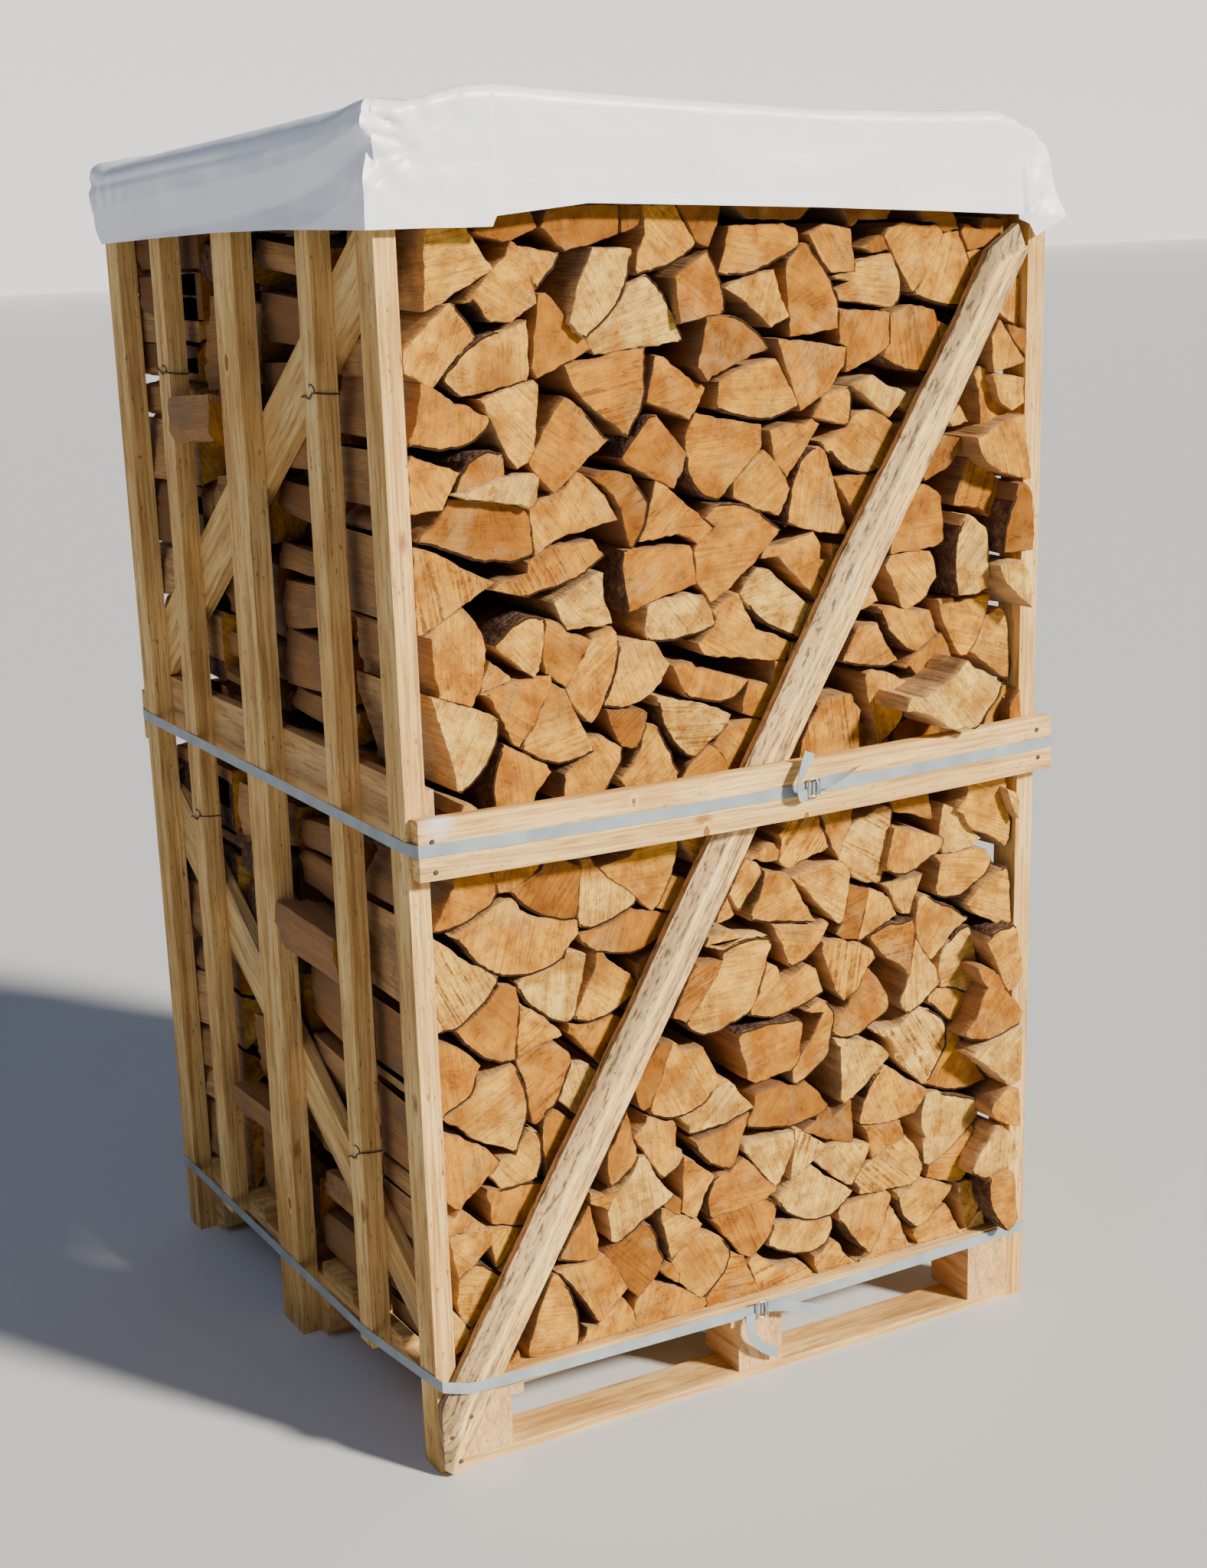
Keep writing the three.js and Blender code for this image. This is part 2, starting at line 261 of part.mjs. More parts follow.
t0s 724,485 739,480 759,478 775,480 791,491 804,498 817,499 829,494b 842,485 853,476 859,465 860,447 860,433 851,418 842,405 835,396 829,385e 815,380 802,393 786,409 773,422 764,433 762,454 748,467 733,478
t2 862,458 873,456 880,445 889,431 895,418 902,409 911,397 922,380 929,371 936,360b 922,358 900,355 871,358 849,365 832,372 816,380e 829,385 835,393 842,405 851,418 860,433
t0+30 907,404 920,413 938,419 958,422 978,429 998,435 1004,430 1004,345 992,340 976,343 972,350 954,367 933,385 918,396
t1 744,423 753,422 768,411 784,397 799,387 815,377 826,368 815,353 802,338 782,336 753,333 724,336 708,340 704,343 708,360 712,380b 719,396 726,405 732,413e
t1 34,359 45,359 52,368 58,369 69,358 82,345 94,335 80,333 60,334 45,334 36,336
t1 36,334 60,334 80,333 97,332 98,307 80,292 65,281 48,271 44,289 41,311
t1 97,332 109,329 132,325 154,318 156,309 143,303 136,292 124,283 114,278 104,273 101,290 98,307
t2 96,389 116,384b 152,385 172,383 185,376e 199,380 185,356 176,342 165,348 160,340 157,332 153,323 132,327 116,333 101,337 99,351 100,365 94,380
t1 49,269 62,278 74,287b 87,282 96,273 107,264 120,257e 118,249 94,208 89,200 84,207 76,202 62,195 51,208 45,222 43,240 46,262
t1 108,266 112,272 136,291 141,287 127,262 116,262
t2 60,192 76,199 88,197 74,176 63,175
t0 36,228 52,208 60,192 62,176 50,165 36,160
t2 36,158 48,155 62,175 74,175 50,132 42,125 36,135
t2 132,143 135,130 138,112 108,112 116,124
t1 192,240 199,235 210,217b 217,204 223,184 228,164 229,148 228,128e 223,116 216,117 203,115 185,110 172,109 161,117 149,126 147,137 154,155 158,168 167,193 176,213 185,231
t2 194,243 209,245 221,245 239,243 257,246 264,250 272,248 283,231 295,213 301,199 306,188 295,178 283,168 272,157 260,148 250,159b 241,175 230,193 219,211 210,222 199,236e
t2 250,328 254,307 260,284 263,273 262,257 256,248 238,246b 216,251 199,257e 206,268 228,298
t3s 272,249 285,254 299,260 319,271 337,277 346,273b 354,258 357,240 363,226 367,215e 358,202 351,191 333,176 322,168 306,188 301,199 295,213 283,231
t2h 288,404 301,427 312,452 318,430 321,410 327,395 328,380 323,372 315,362b 299,349 284,344e 281,365 281,394
t1 342,427 345,437 363,428 378,420 390,417 393,407 391,391 390,377 400,374 402,362 390,346b 378,341 367,338e 360,350 352,362 346,371 337,388 329,398 322,410 330,418
t0 330,380 340,381 350,362 358,343 367,331 378,316 387,307b 378,300 367,295 355,291 339,283 328,278 310,267 299,260e 288,262 282,265 281,284 277,309 286,327 301,341 317,356
t2s 252,345 262,340 277,335 290,342 296,340 288,322 278,312 268,320 252,328
t2 316,157 322,167 333,176 350,190 355,180 367,177 390,166 401,159 412,150 423,140 434,137 436,128 430,112 425,105 355,105 342,108 326,115 317,118 317,137
t1 241,145 256,143 260,148 272,157 295,177 306,164 312,155 316,141 317,117 317,106 294,106 266,112 239,117 226,119 232,126 238,133
t2 421,381 439,384 470,388 479,394 499,401 512,404 508,393 500,369 495,354 488,333 479,324b 465,329 450,338 441,345 430,358 423,371e
t1 403,362 419,353 434,338 450,325 452,320 443,309 436,298 430,280 423,267 418,264 401,277 396,280 399,298 400,316 401,338 401,352
t3s 368,296 383,306 390,305 398,297 395,276 387,279 378,287
t1 365,293 376,288 387,278 398,275 416,262 423,264 431,253 423,242 405,229 390,220 378,213 374,226 370,251 363,278
t1h 421,240 430,240 441,236 454,231 466,220b 474,208 477,197 473,184 466,168 452,155 436,141e 427,139 414,150 401,162 390,173 392,184 385,193 379,208 390,220 405,229
t2 358,202 370,208 380,206 386,192 392,183 389,173 372,185
t2s 477,195 490,190 500,186 505,173 512,157 518,140 526,122 530,108 512,104 479,103 450,105 434,112 436,128 434,137 440,143 452,155 466,168 473,184
t1s 512,179 524,182 535,170 546,162 562,153 586,150 600,148 608,141 619,128 613,122 597,120 582,117 568,113 546,110 531,108 526,122 518,140 512,157 506,172
t1 548,208 552,221 568,223 586,221 602,215 624,210 651,209 654,197 653,184b 646,170 635,164 622,160 600,162 580,168 564,175 550,184 539,191e
t2s 446,255 461,257 479,260 517,263 541,266b 550,260 556,251e 555,240 550,226 548,213 541,204 530,193 521,185 511,180 500,186 495,189 483,204 472,220 461,237 452,249
t2 446,256b 441,266 439,280 441,295 448,309 454,318e 468,322 477,320 488,331 501,338 515,325 528,309 541,293 556,280 555,273 541,267 517,263 479,260
t0 501,356 512,360 530,357 545,360 586,360 589,343 582,320 573,302 564,284 556,280 541,296 524,318 510,338 503,345
t0s 590,360 600,357 622,340 646,322 631,311 617,302 602,293 582,284 582,298 586,320 590,342
t0 557,262 568,271 582,280 600,291 617,300 629,289 644,273 662,262 680,249 691,240 681,229b 667,218 651,210 631,210 611,213 591,222 577,231 564,246e
t3 602,355 612,361 625,366 628,373 640,376 650,381 655,366 668,373 678,384 688,383 690,354 692,336 692,316 675,320 658,327 646,331 622,345
t0 621,304 633,311 647,320 658,325 675,320 692,314 715,311 721,307 719,297 709,278 704,268 698,261 690,249 680,252 662,266 649,280 631,295
t1s 622,152 633,155 646,167 657,170 667,161 672,148 681,137 690,124 691,107 670,104 653,104 635,108 629,117 622,137
t1 665,210 670,219 683,222 699,221 726,224 753,224 761,214 757,202 750,190 746,175 739,159 730,144 721,133 712,139b 699,152 688,166 679,182 670,193e
t1 757,202 766,190 775,173 782,155 791,135 800,117 795,105 777,103 730,103 710,103 699,112 704,122 716,127 722,132 730,144 739,159 746,175 750,190
t1 770,217 795,219 802,226 813,229 831,224 849,215 864,208 876,204 869,191 858,182 844,170 831,159 822,155 808,150b 797,159 786,170 777,186 772,204e
t1 808,150 822,153 831,158 844,169 860,178 871,164 878,146 889,128 893,119 893,110 880,110 860,108 835,103 815,104 806,106 813,113 808,130 802,141
t1 884,205 900,206 916,200 927,196 940,193 938,182 929,159 922,148 911,135 900,126 898,141 893,164 889,182
t0 894,119 900,125 911,134 922,147 934,148 937,130 940,112 916,110 895,110
t1+40 949,197 962,202 978,206 985,202 994,195 998,168 1000,137 1005,116 998,106 989,99 982,100b 969,115 958,133 949,155 946,175 947,190e
t0+30 956,280 963,280 976,271 989,260 994,249 1000,220 985,208 967,204 949,198b 938,197 927,202 914,211e 914,218 922,233 933,249 945,264
t2s 955,278 945,264 933,249 922,233 914,219 901,219 911,240 918,262 920,280
t2s 909,295 918,282 916,262 911,237 900,217 891,208 878,208 864,213 844,220 826,228 829,240 831,246 849,253 871,266 893,282
t0 822,364 840,365 853,358b 871,351 889,345 905,340 918,333e 922,316 920,307 909,296 893,282 871,266 849,253 831,247 822,251 820,267 818,284 824,293 817,305 815,316 815,336 819,349
t1+30 947,308 954,320 967,330 983,338 1000,332 1004,305 1003,269 983,277 960,288 949,301
t2s 708,338 724,334 753,332 777,331 779,322 784,307 775,299 760,296 741,289 725,281 721,295 719,312 716,325
t1s 721,280 741,288 760,296 775,299 786,306 797,293 806,280 813,266b 820,251e 815,240 808,229 795,224 770,226 752,227 726,227 703,231 704,240 694,253 700,262 706,270 712,275
`;

// A closed solid from rings of points joined one to the next; both ends are capped.
function loft(drawn) {
  const turns = THREE.ShapeUtils.area(flatten(drawn[0]));
  const rings = turns < 0 ? drawn.map((ring) => ring.slice().reverse()) : drawn;
  const count = rings[0].length;
  const vertices = rings.flat(2);
  const faces = [];
  for (let ring = 0; ring + 1 < rings.length; ring += 1) {
    for (let i = 0; i < count; i += 1) {
      const a = ring * count + i;
      const b = ring * count + (i + 1) % count;
      faces.push(a, b, b + count, a, b + count, a + count);
    }
  }
  const cap = THREE.ShapeUtils.triangulateShape(flatten(rings[0]), []);
  const last = (rings.length - 1) * count;
  for (const [a, b, c] of cap) {
    faces.push(c, b, a, last + a, last + b, last + c);
  }
  return outward(vertices, faces);
}

// The ring seen along the axis in which it is flattest.
function flatten(ring) {
  const spans = [0, 1, 2].map((axis) => {
    const values = ring.map((point) => point[axis]);
    return Math.max(...values) - Math.min(...values);
  });
  const flat = spans.indexOf(Math.min(...spans));
  const [u, v] = [0, 1, 2].filter((axis) => axis !== flat);
  return ring.map((point) => new THREE.Vector2(point[u], point[v]));
}

// Geometry with its faces turned outward.
function outward(vertices, faces) {
  let volume = 0;
  const corner = (index) => new THREE.Vector3(...vertices.slice(3 * index, 3 * index + 3));
  for (let i = 0; i < faces.length; i += 3) {
    volume += corner(faces[i]).dot(corner(faces[i + 1]).cross(corner(faces[i + 2])));
  }
  if (volume < 0) {
    faces.reverse();
  }
  const geometry = new THREE.BufferGeometry();
  geometry.setAttribute('position', new THREE.Float32BufferAttribute(vertices, 3));
  geometry.setIndex(faces);
  return geometry;
}

function block(x, y, z) {
  const geometry = new THREE.BoxGeometry(x[1] - x[0], y[1] - y[0], z[1] - z[0]);
  geometry.translate((x[0] + x[1]) / 2, (y[0] + y[1]) / 2, (z[0] + z[1]) / 2);
  return geometry;
}

// A prism along y from an outline in x and z.
function prismAlongY(outline, y0, y1) {
  return loft([y0, y1].map((y) => outline.map(([x, z]) => [x, y, z])));
}

// A prism along x from an outline in y and z.
function prismAlongX(outline, x0, x1) {
  return loft([x0, x1].map((x) => outline.map(([y, z]) => [x, y, z])));
}

// A prism along z from an outline in x and y.
function prismAlongZ(outline, z0, z1) {
  return loft([z0, z1].map((z) => outline.map(([x, y]) => [x, y, z])));
}

// The same solid seen from the right-hand side: x changes sides.
function mirrored(geometry) {
  const copy = geometry.toNonIndexed();
  const place = copy.attributes.position;
  for (let i = 0; i < place.count; i += 1) {
    place.setX(i, POST_SPAN - place.getX(i));
  }
  return turnedInside(copy);
}

function turnedInside(geometry) {
  const array = geometry.attributes.position.array;
  for (let i = 0; i < array.length; i += 9) {
    for (let axis = 0; axis < 3; axis += 1) {
      const keep = array[i + axis];
      array[i + axis] = array[i + 6 + axis];
      array[i + 6 + axis] = keep;
    }
  }
  geometry.deleteAttribute('normal');
  geometry.deleteAttribute('uv');
  return mergeVertices(geometry);
}

// The back of the crate is the front turned half round.
function turned(geometry) {
  const copy = geometry.clone();
  copy.rotateZ(Math.PI);
  copy.translate(POST_SPAN, CRATE_DEPTH, 0);
  return copy;
}

function solid(wasm, geometry) {
  const plain = geometry.clone();
  plain.deleteAttribute('normal');
  plain.deleteAttribute('uv');
  const welded = mergeVertices(plain, 1e-4);
  return new wasm.Manifold(new wasm.Mesh({
    numProp: 3,
    vertProperties: new Float32Array(welded.attributes.position.array),
    triVerts: new Uint32Array(welded.index.array),
  }));
}

function geometryOf(body) {
  const mesh = body.getMesh();
  const geometry = new THREE.BufferGeometry();
  geometry.setAttribute('position', new THREE.BufferAttribute(new Float32Array(mesh.vertProperties), 3));
  geometry.setIndex(new THREE.BufferAttribute(new Uint32Array(mesh.triVerts), 1));
  return geometry;
}

function between(value, low, high) {
  return Math.min(Math.max(value, low), high);
}

// How far the rail stands out at x: nothing at the posts, RAIL_BOW over the brace.
function railBow(x) {
  const reach = Math.min(1, Math.abs(x - RAIL_MIDDLE) / RAIL_MIDDLE);
  return RAIL_BOW * (1 - reach * reach);
}

// Posts at the four corners
function posts(add) {
  for (const [side, x] of [['left', 0], ['right', POST_SPAN - POST_WIDTH]]) {
    for (const [end, y] of [['front', 0], ['back', CRATE_DEPTH - POST_DEPTH]]) {
      add(`post_${end}_${side}`, block([x, x + POST_WIDTH], [y, y + POST_DEPTH], [0, POST_TOP]), 'pine');
    }
  }
}

// Side slats: leaning battens outside the deck, the middle one doubled and standing on the ground
function slats(add) {
  const shapes = {
    front: [[210, 95], [252, 95], [234, SLAT_TOP], [191, SLAT_TOP]],
    middle_a: [[478, 0], [521.8, 0], [496.8, SLAT_TOP], [452, SLAT_TOP]],
    middle_b: [[522.2, 0], [556, 0], [527, SLAT_TOP], [497.2, SLAT_TOP]],
    back: [[757, 95], [800, 95], [777, SLAT_TOP], [732, SLAT_TOP]],
  };
  for (const [name, outline] of Object.entries(shapes)) {
    const left = prismAlongX(outline, 0, POST_WIDTH);
    add(`slat_left_${name}`, left, 'pine');
    add(`slat_right_${name}`, mirrored(left), 'pine');
  }
}

// A slanting board in y and z. A channel for it reaches farther at both ends and is a little wider.
function slantedBoard({ ends: [front, back], lower, upper, rest }, longer, wider) {
  const at = ([first, last], y) => first + (last - first) * (y - front) / (back - front);
  const start = front - longer[0];
  const stop = back + longer[1];
  const floor = rest - wider;
  const foot = at(lower, stop) - wider;
  const outline = [[start, at(lower, start) - wider]];
  if (foot < floor) {
    outline.push([front + (back - front) * (rest - lower[0]) / (lower[1] - lower[0]), floor]);
  }
  outline.push([stop, Math.max(foot, floor)], [stop, at(upper, stop) + wider]);
  outline.push([start, at(upper, start) + wider]);
  return outline;
}

// Level boards and slanting boards inside the slats
function sideBoards(add, channels) {
  const outer = POST_WIDTH + GAP;
  const board = ([longer, wider]) => block(
    [outer - wider, SIDE_BOARD.inner + wider],
    [SIDE_BOARD.front - longer, CRATE_DEPTH - SIDE_BOARD.front + longer],
    [SIDE_BOARD.bottom - wider, SIDE_BOARD.top + wider],
  );
  const slanted = (ends) => ([longer, wider]) => {
    const outline = slantedBoard(ends, [longer, 0.2 * longer], 3 * wider);
    return prismAlongX(outline, outer - wider, DIAGONAL_INNER + wider);
  };
  for (const [name, shape, look] of [
    ['side_board', board, 'pine'],
    ['diagonal_upper', slanted(DIAGONALS.upper), 'pine'],
    ['diagonal_lower', slanted(DIAGONALS.lower), 'weathered'],
  ]) {
    const piece = shape([0, 0]);
    const channel = shape(CHANNEL);
    add(`${name}_left`, piece, look);
    add(`${name}_right`, mirrored(piece), look);
    channels.push(channel, mirrored(channel));
  }
}

// Middle rails, bowed; no log stands in their height in front of the posts
function rails(add, channels) {
  const height = [RAIL_BOTTOM - GAP, RAIL_TOP + GAP];
  const free = block([-RAIL_CLEAR, POST_SPAN + RAIL_CLEAR], [-4 * RAIL_CLEAR, -0.05], height);
  channels.push(free, turned(free));
  const rail = ([x0, x1]) => {
    const inner = [];
    const outer = [];
    for (let i = 0; i <= RAIL_STATIONS; i += 1) {
      const x = x0 + (x1 - x0) * i / RAIL_STATIONS;
      const back = -GAP - railBow(x);
      inner.push([x, back]);
      outer.unshift([x, back - RAIL_THICK]);
    }
    return prismAlongZ(inner.concat(outer), RAIL_BOTTOM, RAIL_TOP);
  };
  add('rail_front', rail(RAIL_ENDS.front), 'pine');
  add('rail_back', turned(rail(RAIL_ENDS.back)), 'pine');
}

// Long braces over the front and the back, under the rails; the foot is sawn flush with the post
const BRACE_OUTLINE = [
  [0, 3], [17, 2], [623.7, 1009.1], [673, 1087], [812, 1314.7], [873, 1416.3], [950, 1543.5],
  [964.8, 1568.1], [953.9, 1563.2], [942.1, 1597.7], [892.8, 1566.1], [835.6, 1468.5],
  [739, 1314.7], [653.2, 1182.6], [552.7, 1009.1], [0, 102],
];

function braces(add) {
  const brace = prismAlongY(BRACE_OUTLINE, -GAP - BRACE_THICK, -GAP);
  add('brace_front', brace, 'weathered');
  add('brace_back', turned(brace), 'weathered');
}

// Pallet base: bottom boards, nine blocks, three stringers, deck boards
function base(add) {
  const depths = [0, CRATE_DEPTH / 2 - BLOCK.deep / 2, CRATE_DEPTH - BLOCK.deep];
  const inner = [BLOCK_SPANS[0][0], BLOCK_SPANS[2][1]];
  const names = ['front', 'middle', 'back'];
  names.forEach((end, row) => {
    const extra = BLOCK.deep - BOTTOM_BOARD.deep;
    const y = depths[row] + [0, extra / 2, extra][row];
    add(`bottom_board_${end}`, block(inner, [y, y + BOTTOM_BOARD.deep], [0, BOTTOM_BOARD.thick]), 'pine');
    ['left', 'centre', 'right'].forEach((side, column) => {
      const top = [BOTTOM_BOARD.thick + GAP, BLOCK.top];
      const deep = [depths[row], depths[row] + BLOCK.deep];
      add(`block_${end}_${side}`, block(BLOCK_SPANS[column], deep, top), 'pine');
    });
  });
  ['left', 'centre', 'right'].forEach((side, column) => {
    const z = [BLOCK.top + GAP, STRINGER_TOP];
    add(`stringer_${side}`, block(STRINGER_SPANS[column], [0, CRATE_DEPTH], z), 'pine');
  });
  for (let i = 0; i < DECK_BOARDS; i += 1) {
    const y = (CRATE_DEPTH - DECK_BOARD_DEPTH) * i / (DECK_BOARDS - 1);
    const z = [STRINGER_TOP + GAP, DECK_TOP];
    add(`deck_board_${i + 1}`, block(inner, [y, y + DECK_BOARD_DEPTH], z), 'pine');
  }
}

// Reads the outlines: each log starts with a word for its look, "+n" in it stands n forward.
function readLogs() {
  const logs = [];
  for (const word of LOG_ENDS.trim().split(/\s+/)) {
    if (word.startsWith('t')) {
      logs.push({ proud: Number(word.split('+')[1] ?? 0), outline: [] });
    } else {
      logs[logs.length - 1].outline.push(word.split(',').map(parseFloat));
    }
  }
  return logs;
}

// The outline at its own depth, clear of the posts; ends that would touch the right post come forward.
function placedOutline(log) {
  const reach = Math.max(...log.outline.map(([x]) => x));
  const clear = POST_SPAN - POST_WIDTH - 1;
  const distance = OUTLINE_PLANE - VIEW_POINT[1];
  const needed = distance * (1 - (clear - VIEW_POINT[0]) / (reach - VIEW_POINT[0]));
  const proud = Math.max(log.proud, needed, 0);
  const scale = (distance - proud) / distance;
  const outline = log.outline.map(([x, z]) => [
    between(VIEW_POINT[0] + (x - VIEW_POINT[0]) * scale, POST_WIDTH + 0.8, clear + 0.2),
    VIEW_POINT[2] + (z - VIEW_POINT[2]) * scale,
  ]);
  return { front: OUTLINE_PLANE - proud, outline };
}

function areaOf(outline) {
  const [x, z] = [0, 1];
  return outline.reduce((sum, p, i) => {
    const q = outline[(i + 1) % outline.length];
    return sum + (p[x] * q[z] - q[x] * p[z]) / 2;
  }, 0);
}

// Drops the corner that matters least until few enough are left.
function simplified(outline, keep) {
  const points = outline.slice();
  for (;;) {
    const cost = points.map((p, i) => {
      const before = points[(i + points.length - 1) % points.length];
      const after = points[(i + 1) % points.length];
      return Math.abs(areaOf([before, p, after]));
    });
    const least = Math.min(...cost);
    if (points.length <= keep && (least > FLAT_CORNER || points.length < 4)) {
      return points;
    }
    points.splice(cost.indexOf(least), 1);
  }
}

// The outline drawn in toward its middle, so that neighbours part.
function shrunk(outline, margin) {
  const middle = [0, 1].map((axis) => outline.reduce((sum, p) => sum + p[axis], 0) / outline.length);
  return outline.map((p) => {
    const reach = Math.hypot(p[0] - middle[0], p[1] - middle[1]);
    const scale = Math.max(0.5, 1 - margin / reach);
    return [middle[0] + (p[0] - middle[0]) * scale, middle[1] + (p[1] - middle[1]) * scale];
  });
}

// A fraction of a millimetre that differs from log to log, so that no two faces lie in one plane.
function stagger(index, step, count) {
  return step * (index % count);
}

// One outer row: a slab with every log end standing out of it
function outerRow(wasm, { corners, smallest }) {
  const [, back] = ROW_ENDS;
  const bodies = [solid(wasm, block([SLAB.left, SLAB.right], [SLAB.front, back], [ROW_BOTTOM, SLAB.top]))];
  readLogs().forEach((log, index) => {
    const { front, outline } = placedOutline(log);
    const raised = outline.map(([x, z]) => [x, Math.max(z, ROW_BOTTOM + 0.1)]);
    const shape = shrunk(simplified(raised, corners), LOG_MARGIN);
    if (Math.abs(areaOf(shape)) < smallest) {
      return;
    }
    const xs = shape.map(([x]) => x);
    const flank = Math.min(...xs) < SLAB.left + LOG_BITE || Math.max(...xs) > SLAB.right - LOG_BITE;
    const end = flank ? back - 2 - stagger(index, 0.37, 11) : SLAB.front + 5 + stagger(index, 0.13, 13);
    bodies.push(solid(wasm, prismAlongY(shape, front + stagger(index, 0.11, 9), end)));
  });
  return wasm.Manifold.union(bodies);
}

function largest(body) {
  const parts = body.decompose();
  parts.sort((a, b) => b.volume() - a.volume());
  return parts[0];
}

// Inner rows: only the flanks show between the slats. Each span is one log seen from the side.
const FLANKS = {
  second: [
    [100, 190], [205, 270], [285, 380], [395, 465], [480, 590], [605, 690], [700, 760], [765, 820],
    [835, 945], [960, 1000], [1005, 1080], [1095, 1160], [1165, 1200], [1230, 1290], [1305, 1375],
    [1390, 1455], [1470, 1540], [1560, 1600], [1615, 1668],
  ],
  third: [
    [100, 118], [122, 240], [245, 300], [305, 450], [470, 560], [575, 650], [665, 730], [740, 820],
    [835, 945], [965, 990], [1000, 1050], [1065, 1180], [1200, 1290], [1300, 1385], [1400, 1530],
    [1545, 1600], [1612, 1668],
  ],
};
const FLANK_DEPTHS = [0, 3, 1, 5, 2, 4];
const FLANK_GAP = 74;
const FLANK_FACE = 48;
const FLANK_ROUND = 8;
const FLANK_LEAST = 20;

function innerRow(spans, y0, y1) {
  const side = [];
  spans.forEach(([low, high], index) => {
    const face = FLANK_FACE + FLANK_DEPTHS[index % FLANK_DEPTHS.length];
    const bottom = Math.max(low, ROW_BOTTOM);
    if (high - bottom < FLANK_LEAST) {
      return;
    }
    side.push([FLANK_GAP, bottom], [face, bottom + FLANK_ROUND]);
    side.push([face + 1, high - FLANK_ROUND], [FLANK_GAP, high]);
  });
  const other = side.map(([x, z]) => [POST_SPAN - x, z]).reverse();
  return prismAlongY(side.concat(other), y0, y1);
}

// Logs that poke out between the slats on the left: the x of the face, the two ends in y, and the
// lower and upper height at the front end and at the back end
const POKING = {
  second: [{ face: -4, y: [255, 466], front: [622, 694], back: [620, 690] }],
  third: [
    { face: -12, y: [558.5, 724], front: [1332, 1398], back: [1315, 1372] },
    { face: 3, y: [560, 723], front: [286, 333], back: [283, 330] },
  ],
};

function pokingLog({ face, y, front, back }) {
  const root = FLANK_GAP + 4;
  const ring = (place, [low, high]) => [
    [face, place, low], [face, place, high], [root, place, high], [root, place, low],
  ];
  return loft([ring(y[0], front), ring(y[1], back)]);
}

function firewood(wasm, add, channels) {
  const cut = (body) => channels.reduce((rest, channel) => rest.subtract(solid(wasm, channel)), body);
  const front = largest(cut(outerRow(wasm, FRONT_DETAIL)));
  add('firewood_row_1', geometryOf(front), 'beech');
  [['second', 2], ['third', 3]].forEach(([row, number], index) => {
    const [y0, y1] = ROW_ENDS.slice(2 + 2 * index);
    const stack = solid(wasm, innerRow(FLANKS[row], y0, y1));
    const whole = POKING[row].reduce((body, log) => body.add(solid(wasm, pokingLog(log))), stack);
    add(`firewood_row_${number}`, geometryOf(whole), 'beech');
  });
  const back = largest(cut(solid(wasm, turned(geometryOf(outerRow(wasm, BACK_DETAIL))))));
  add('firewood_row_4', geometryOf(back), 'beech');
}

// A band around the crate: stations [x, y, z] of its inner face, thickness outward.
function band(stations, thick, wide) {
  const count = stations.length;
  const rings = [0, 1].map((side) => stations.map((point, i) => {
    const before = stations[(i + count - 1) % count];
    const after = stations[(i + 1) % count];
    const normals = [[before, point], [point, after]].map(([p, q]) => {
      const run = Math.hypot(q[0] - p[0], q[1] - p[1]);
      return [(q[1] - p[1]) / run, -(q[0] - p[0]) / run];
    });
    const sum = [normals[0][0] + normals[1][0], normals[0][1] + normals[1][1]];
    const scale = 2 / (sum[0] ** 2 + sum[1] ** 2);
    return [point[0] + sum[0] * scale * thick * side, point[1] + sum[1] * scale * thick * side, point[2]];
  }));
  const vertices = [];
  for (const rise of [-wide / 2, wide / 2]) {
    for (const ring of rings) {
      ring.forEach(([x, y, z]) => vertices.push(x, y, z + rise));
    }
  }
  const faces = [];
  const quad = (a, b, c, d) => faces.push(a, b, c, a, c, d);
  for (let i = 0; i < count; i += 1) {
    const j = (i + 1) % count;
    const [inLow, outLow, inHigh, outHigh] = [0, 1, 2, 3].map((k) => k * count);
    quad(outLow + i, outLow + j, outHigh + j, outHigh + i);
    quad(inLow + j, inLow + i, inHigh + i, inHigh + j);
    quad(inLow + i, inLow + j, outLow + j, outLow + i);
    quad(outHigh + i, outHigh + j, inHigh + j, inHigh + i);
  }
  return outward(vertices, faces);
}

// Stations run front left to front right, then along the right side, the back and the left side.
const BOTTOM_STRAP = [
  [-0.6, -20.9, 141], [37, -20.9, 128], [72, -20.9, 126], [212, -17.8, 120], [500, -11.5, 111],
  [800, -5, 109], [999.6, -0.6, 112], [999.6, 800, 112], [999.6, 975.6, 130], [999.6, 995.9, 141],
  [927, 995.9, 126], [500, 986.5, 111], [-0.6, 975.6, 112], [-0.6, 230, 112], [-0.6, 70, 130],
];

function straps(add) {
  const middle = [];
  const front = (x) => -GAP - railBow(x) - RAIL_THICK - GAP;
  const overRail = ([x0, x1]) => {
    const run = [];
    for (let i = 0; i <= RAIL_STATIONS; i += 1) {
      const x = x0 + (x1 - x0) * i / RAIL_STATIONS;
      run.push([x, front(x), STRAP_HEIGHT]);
    }
    run[0][0] -= STRAP_SLACK;
    run[RAIL_STATIONS][0] += STRAP_SLACK;
    return run;
  };
  middle.push(...overRail(RAIL_ENDS.front));
  middle.push(...overRail(RAIL_ENDS.back).map(([x, y, z]) => [POST_SPAN - x, CRATE_DEPTH - y, z]));
  middle.push([-STRAP_SLACK, CRATE_DEPTH + STRAP_SLACK, STRAP_HEIGHT]);
  middle.push([-STRAP_SLACK, -STRAP_SLACK, STRAP_HEIGHT]);
  add('strap_middle', band(middle, STRAP_THICK, STRAP_WIDTH), 'webbing');
  add('strap_bottom', band(BOTTOM_STRAP, STRAP_THICK, STRAP_WIDTH), 'webbing');
}

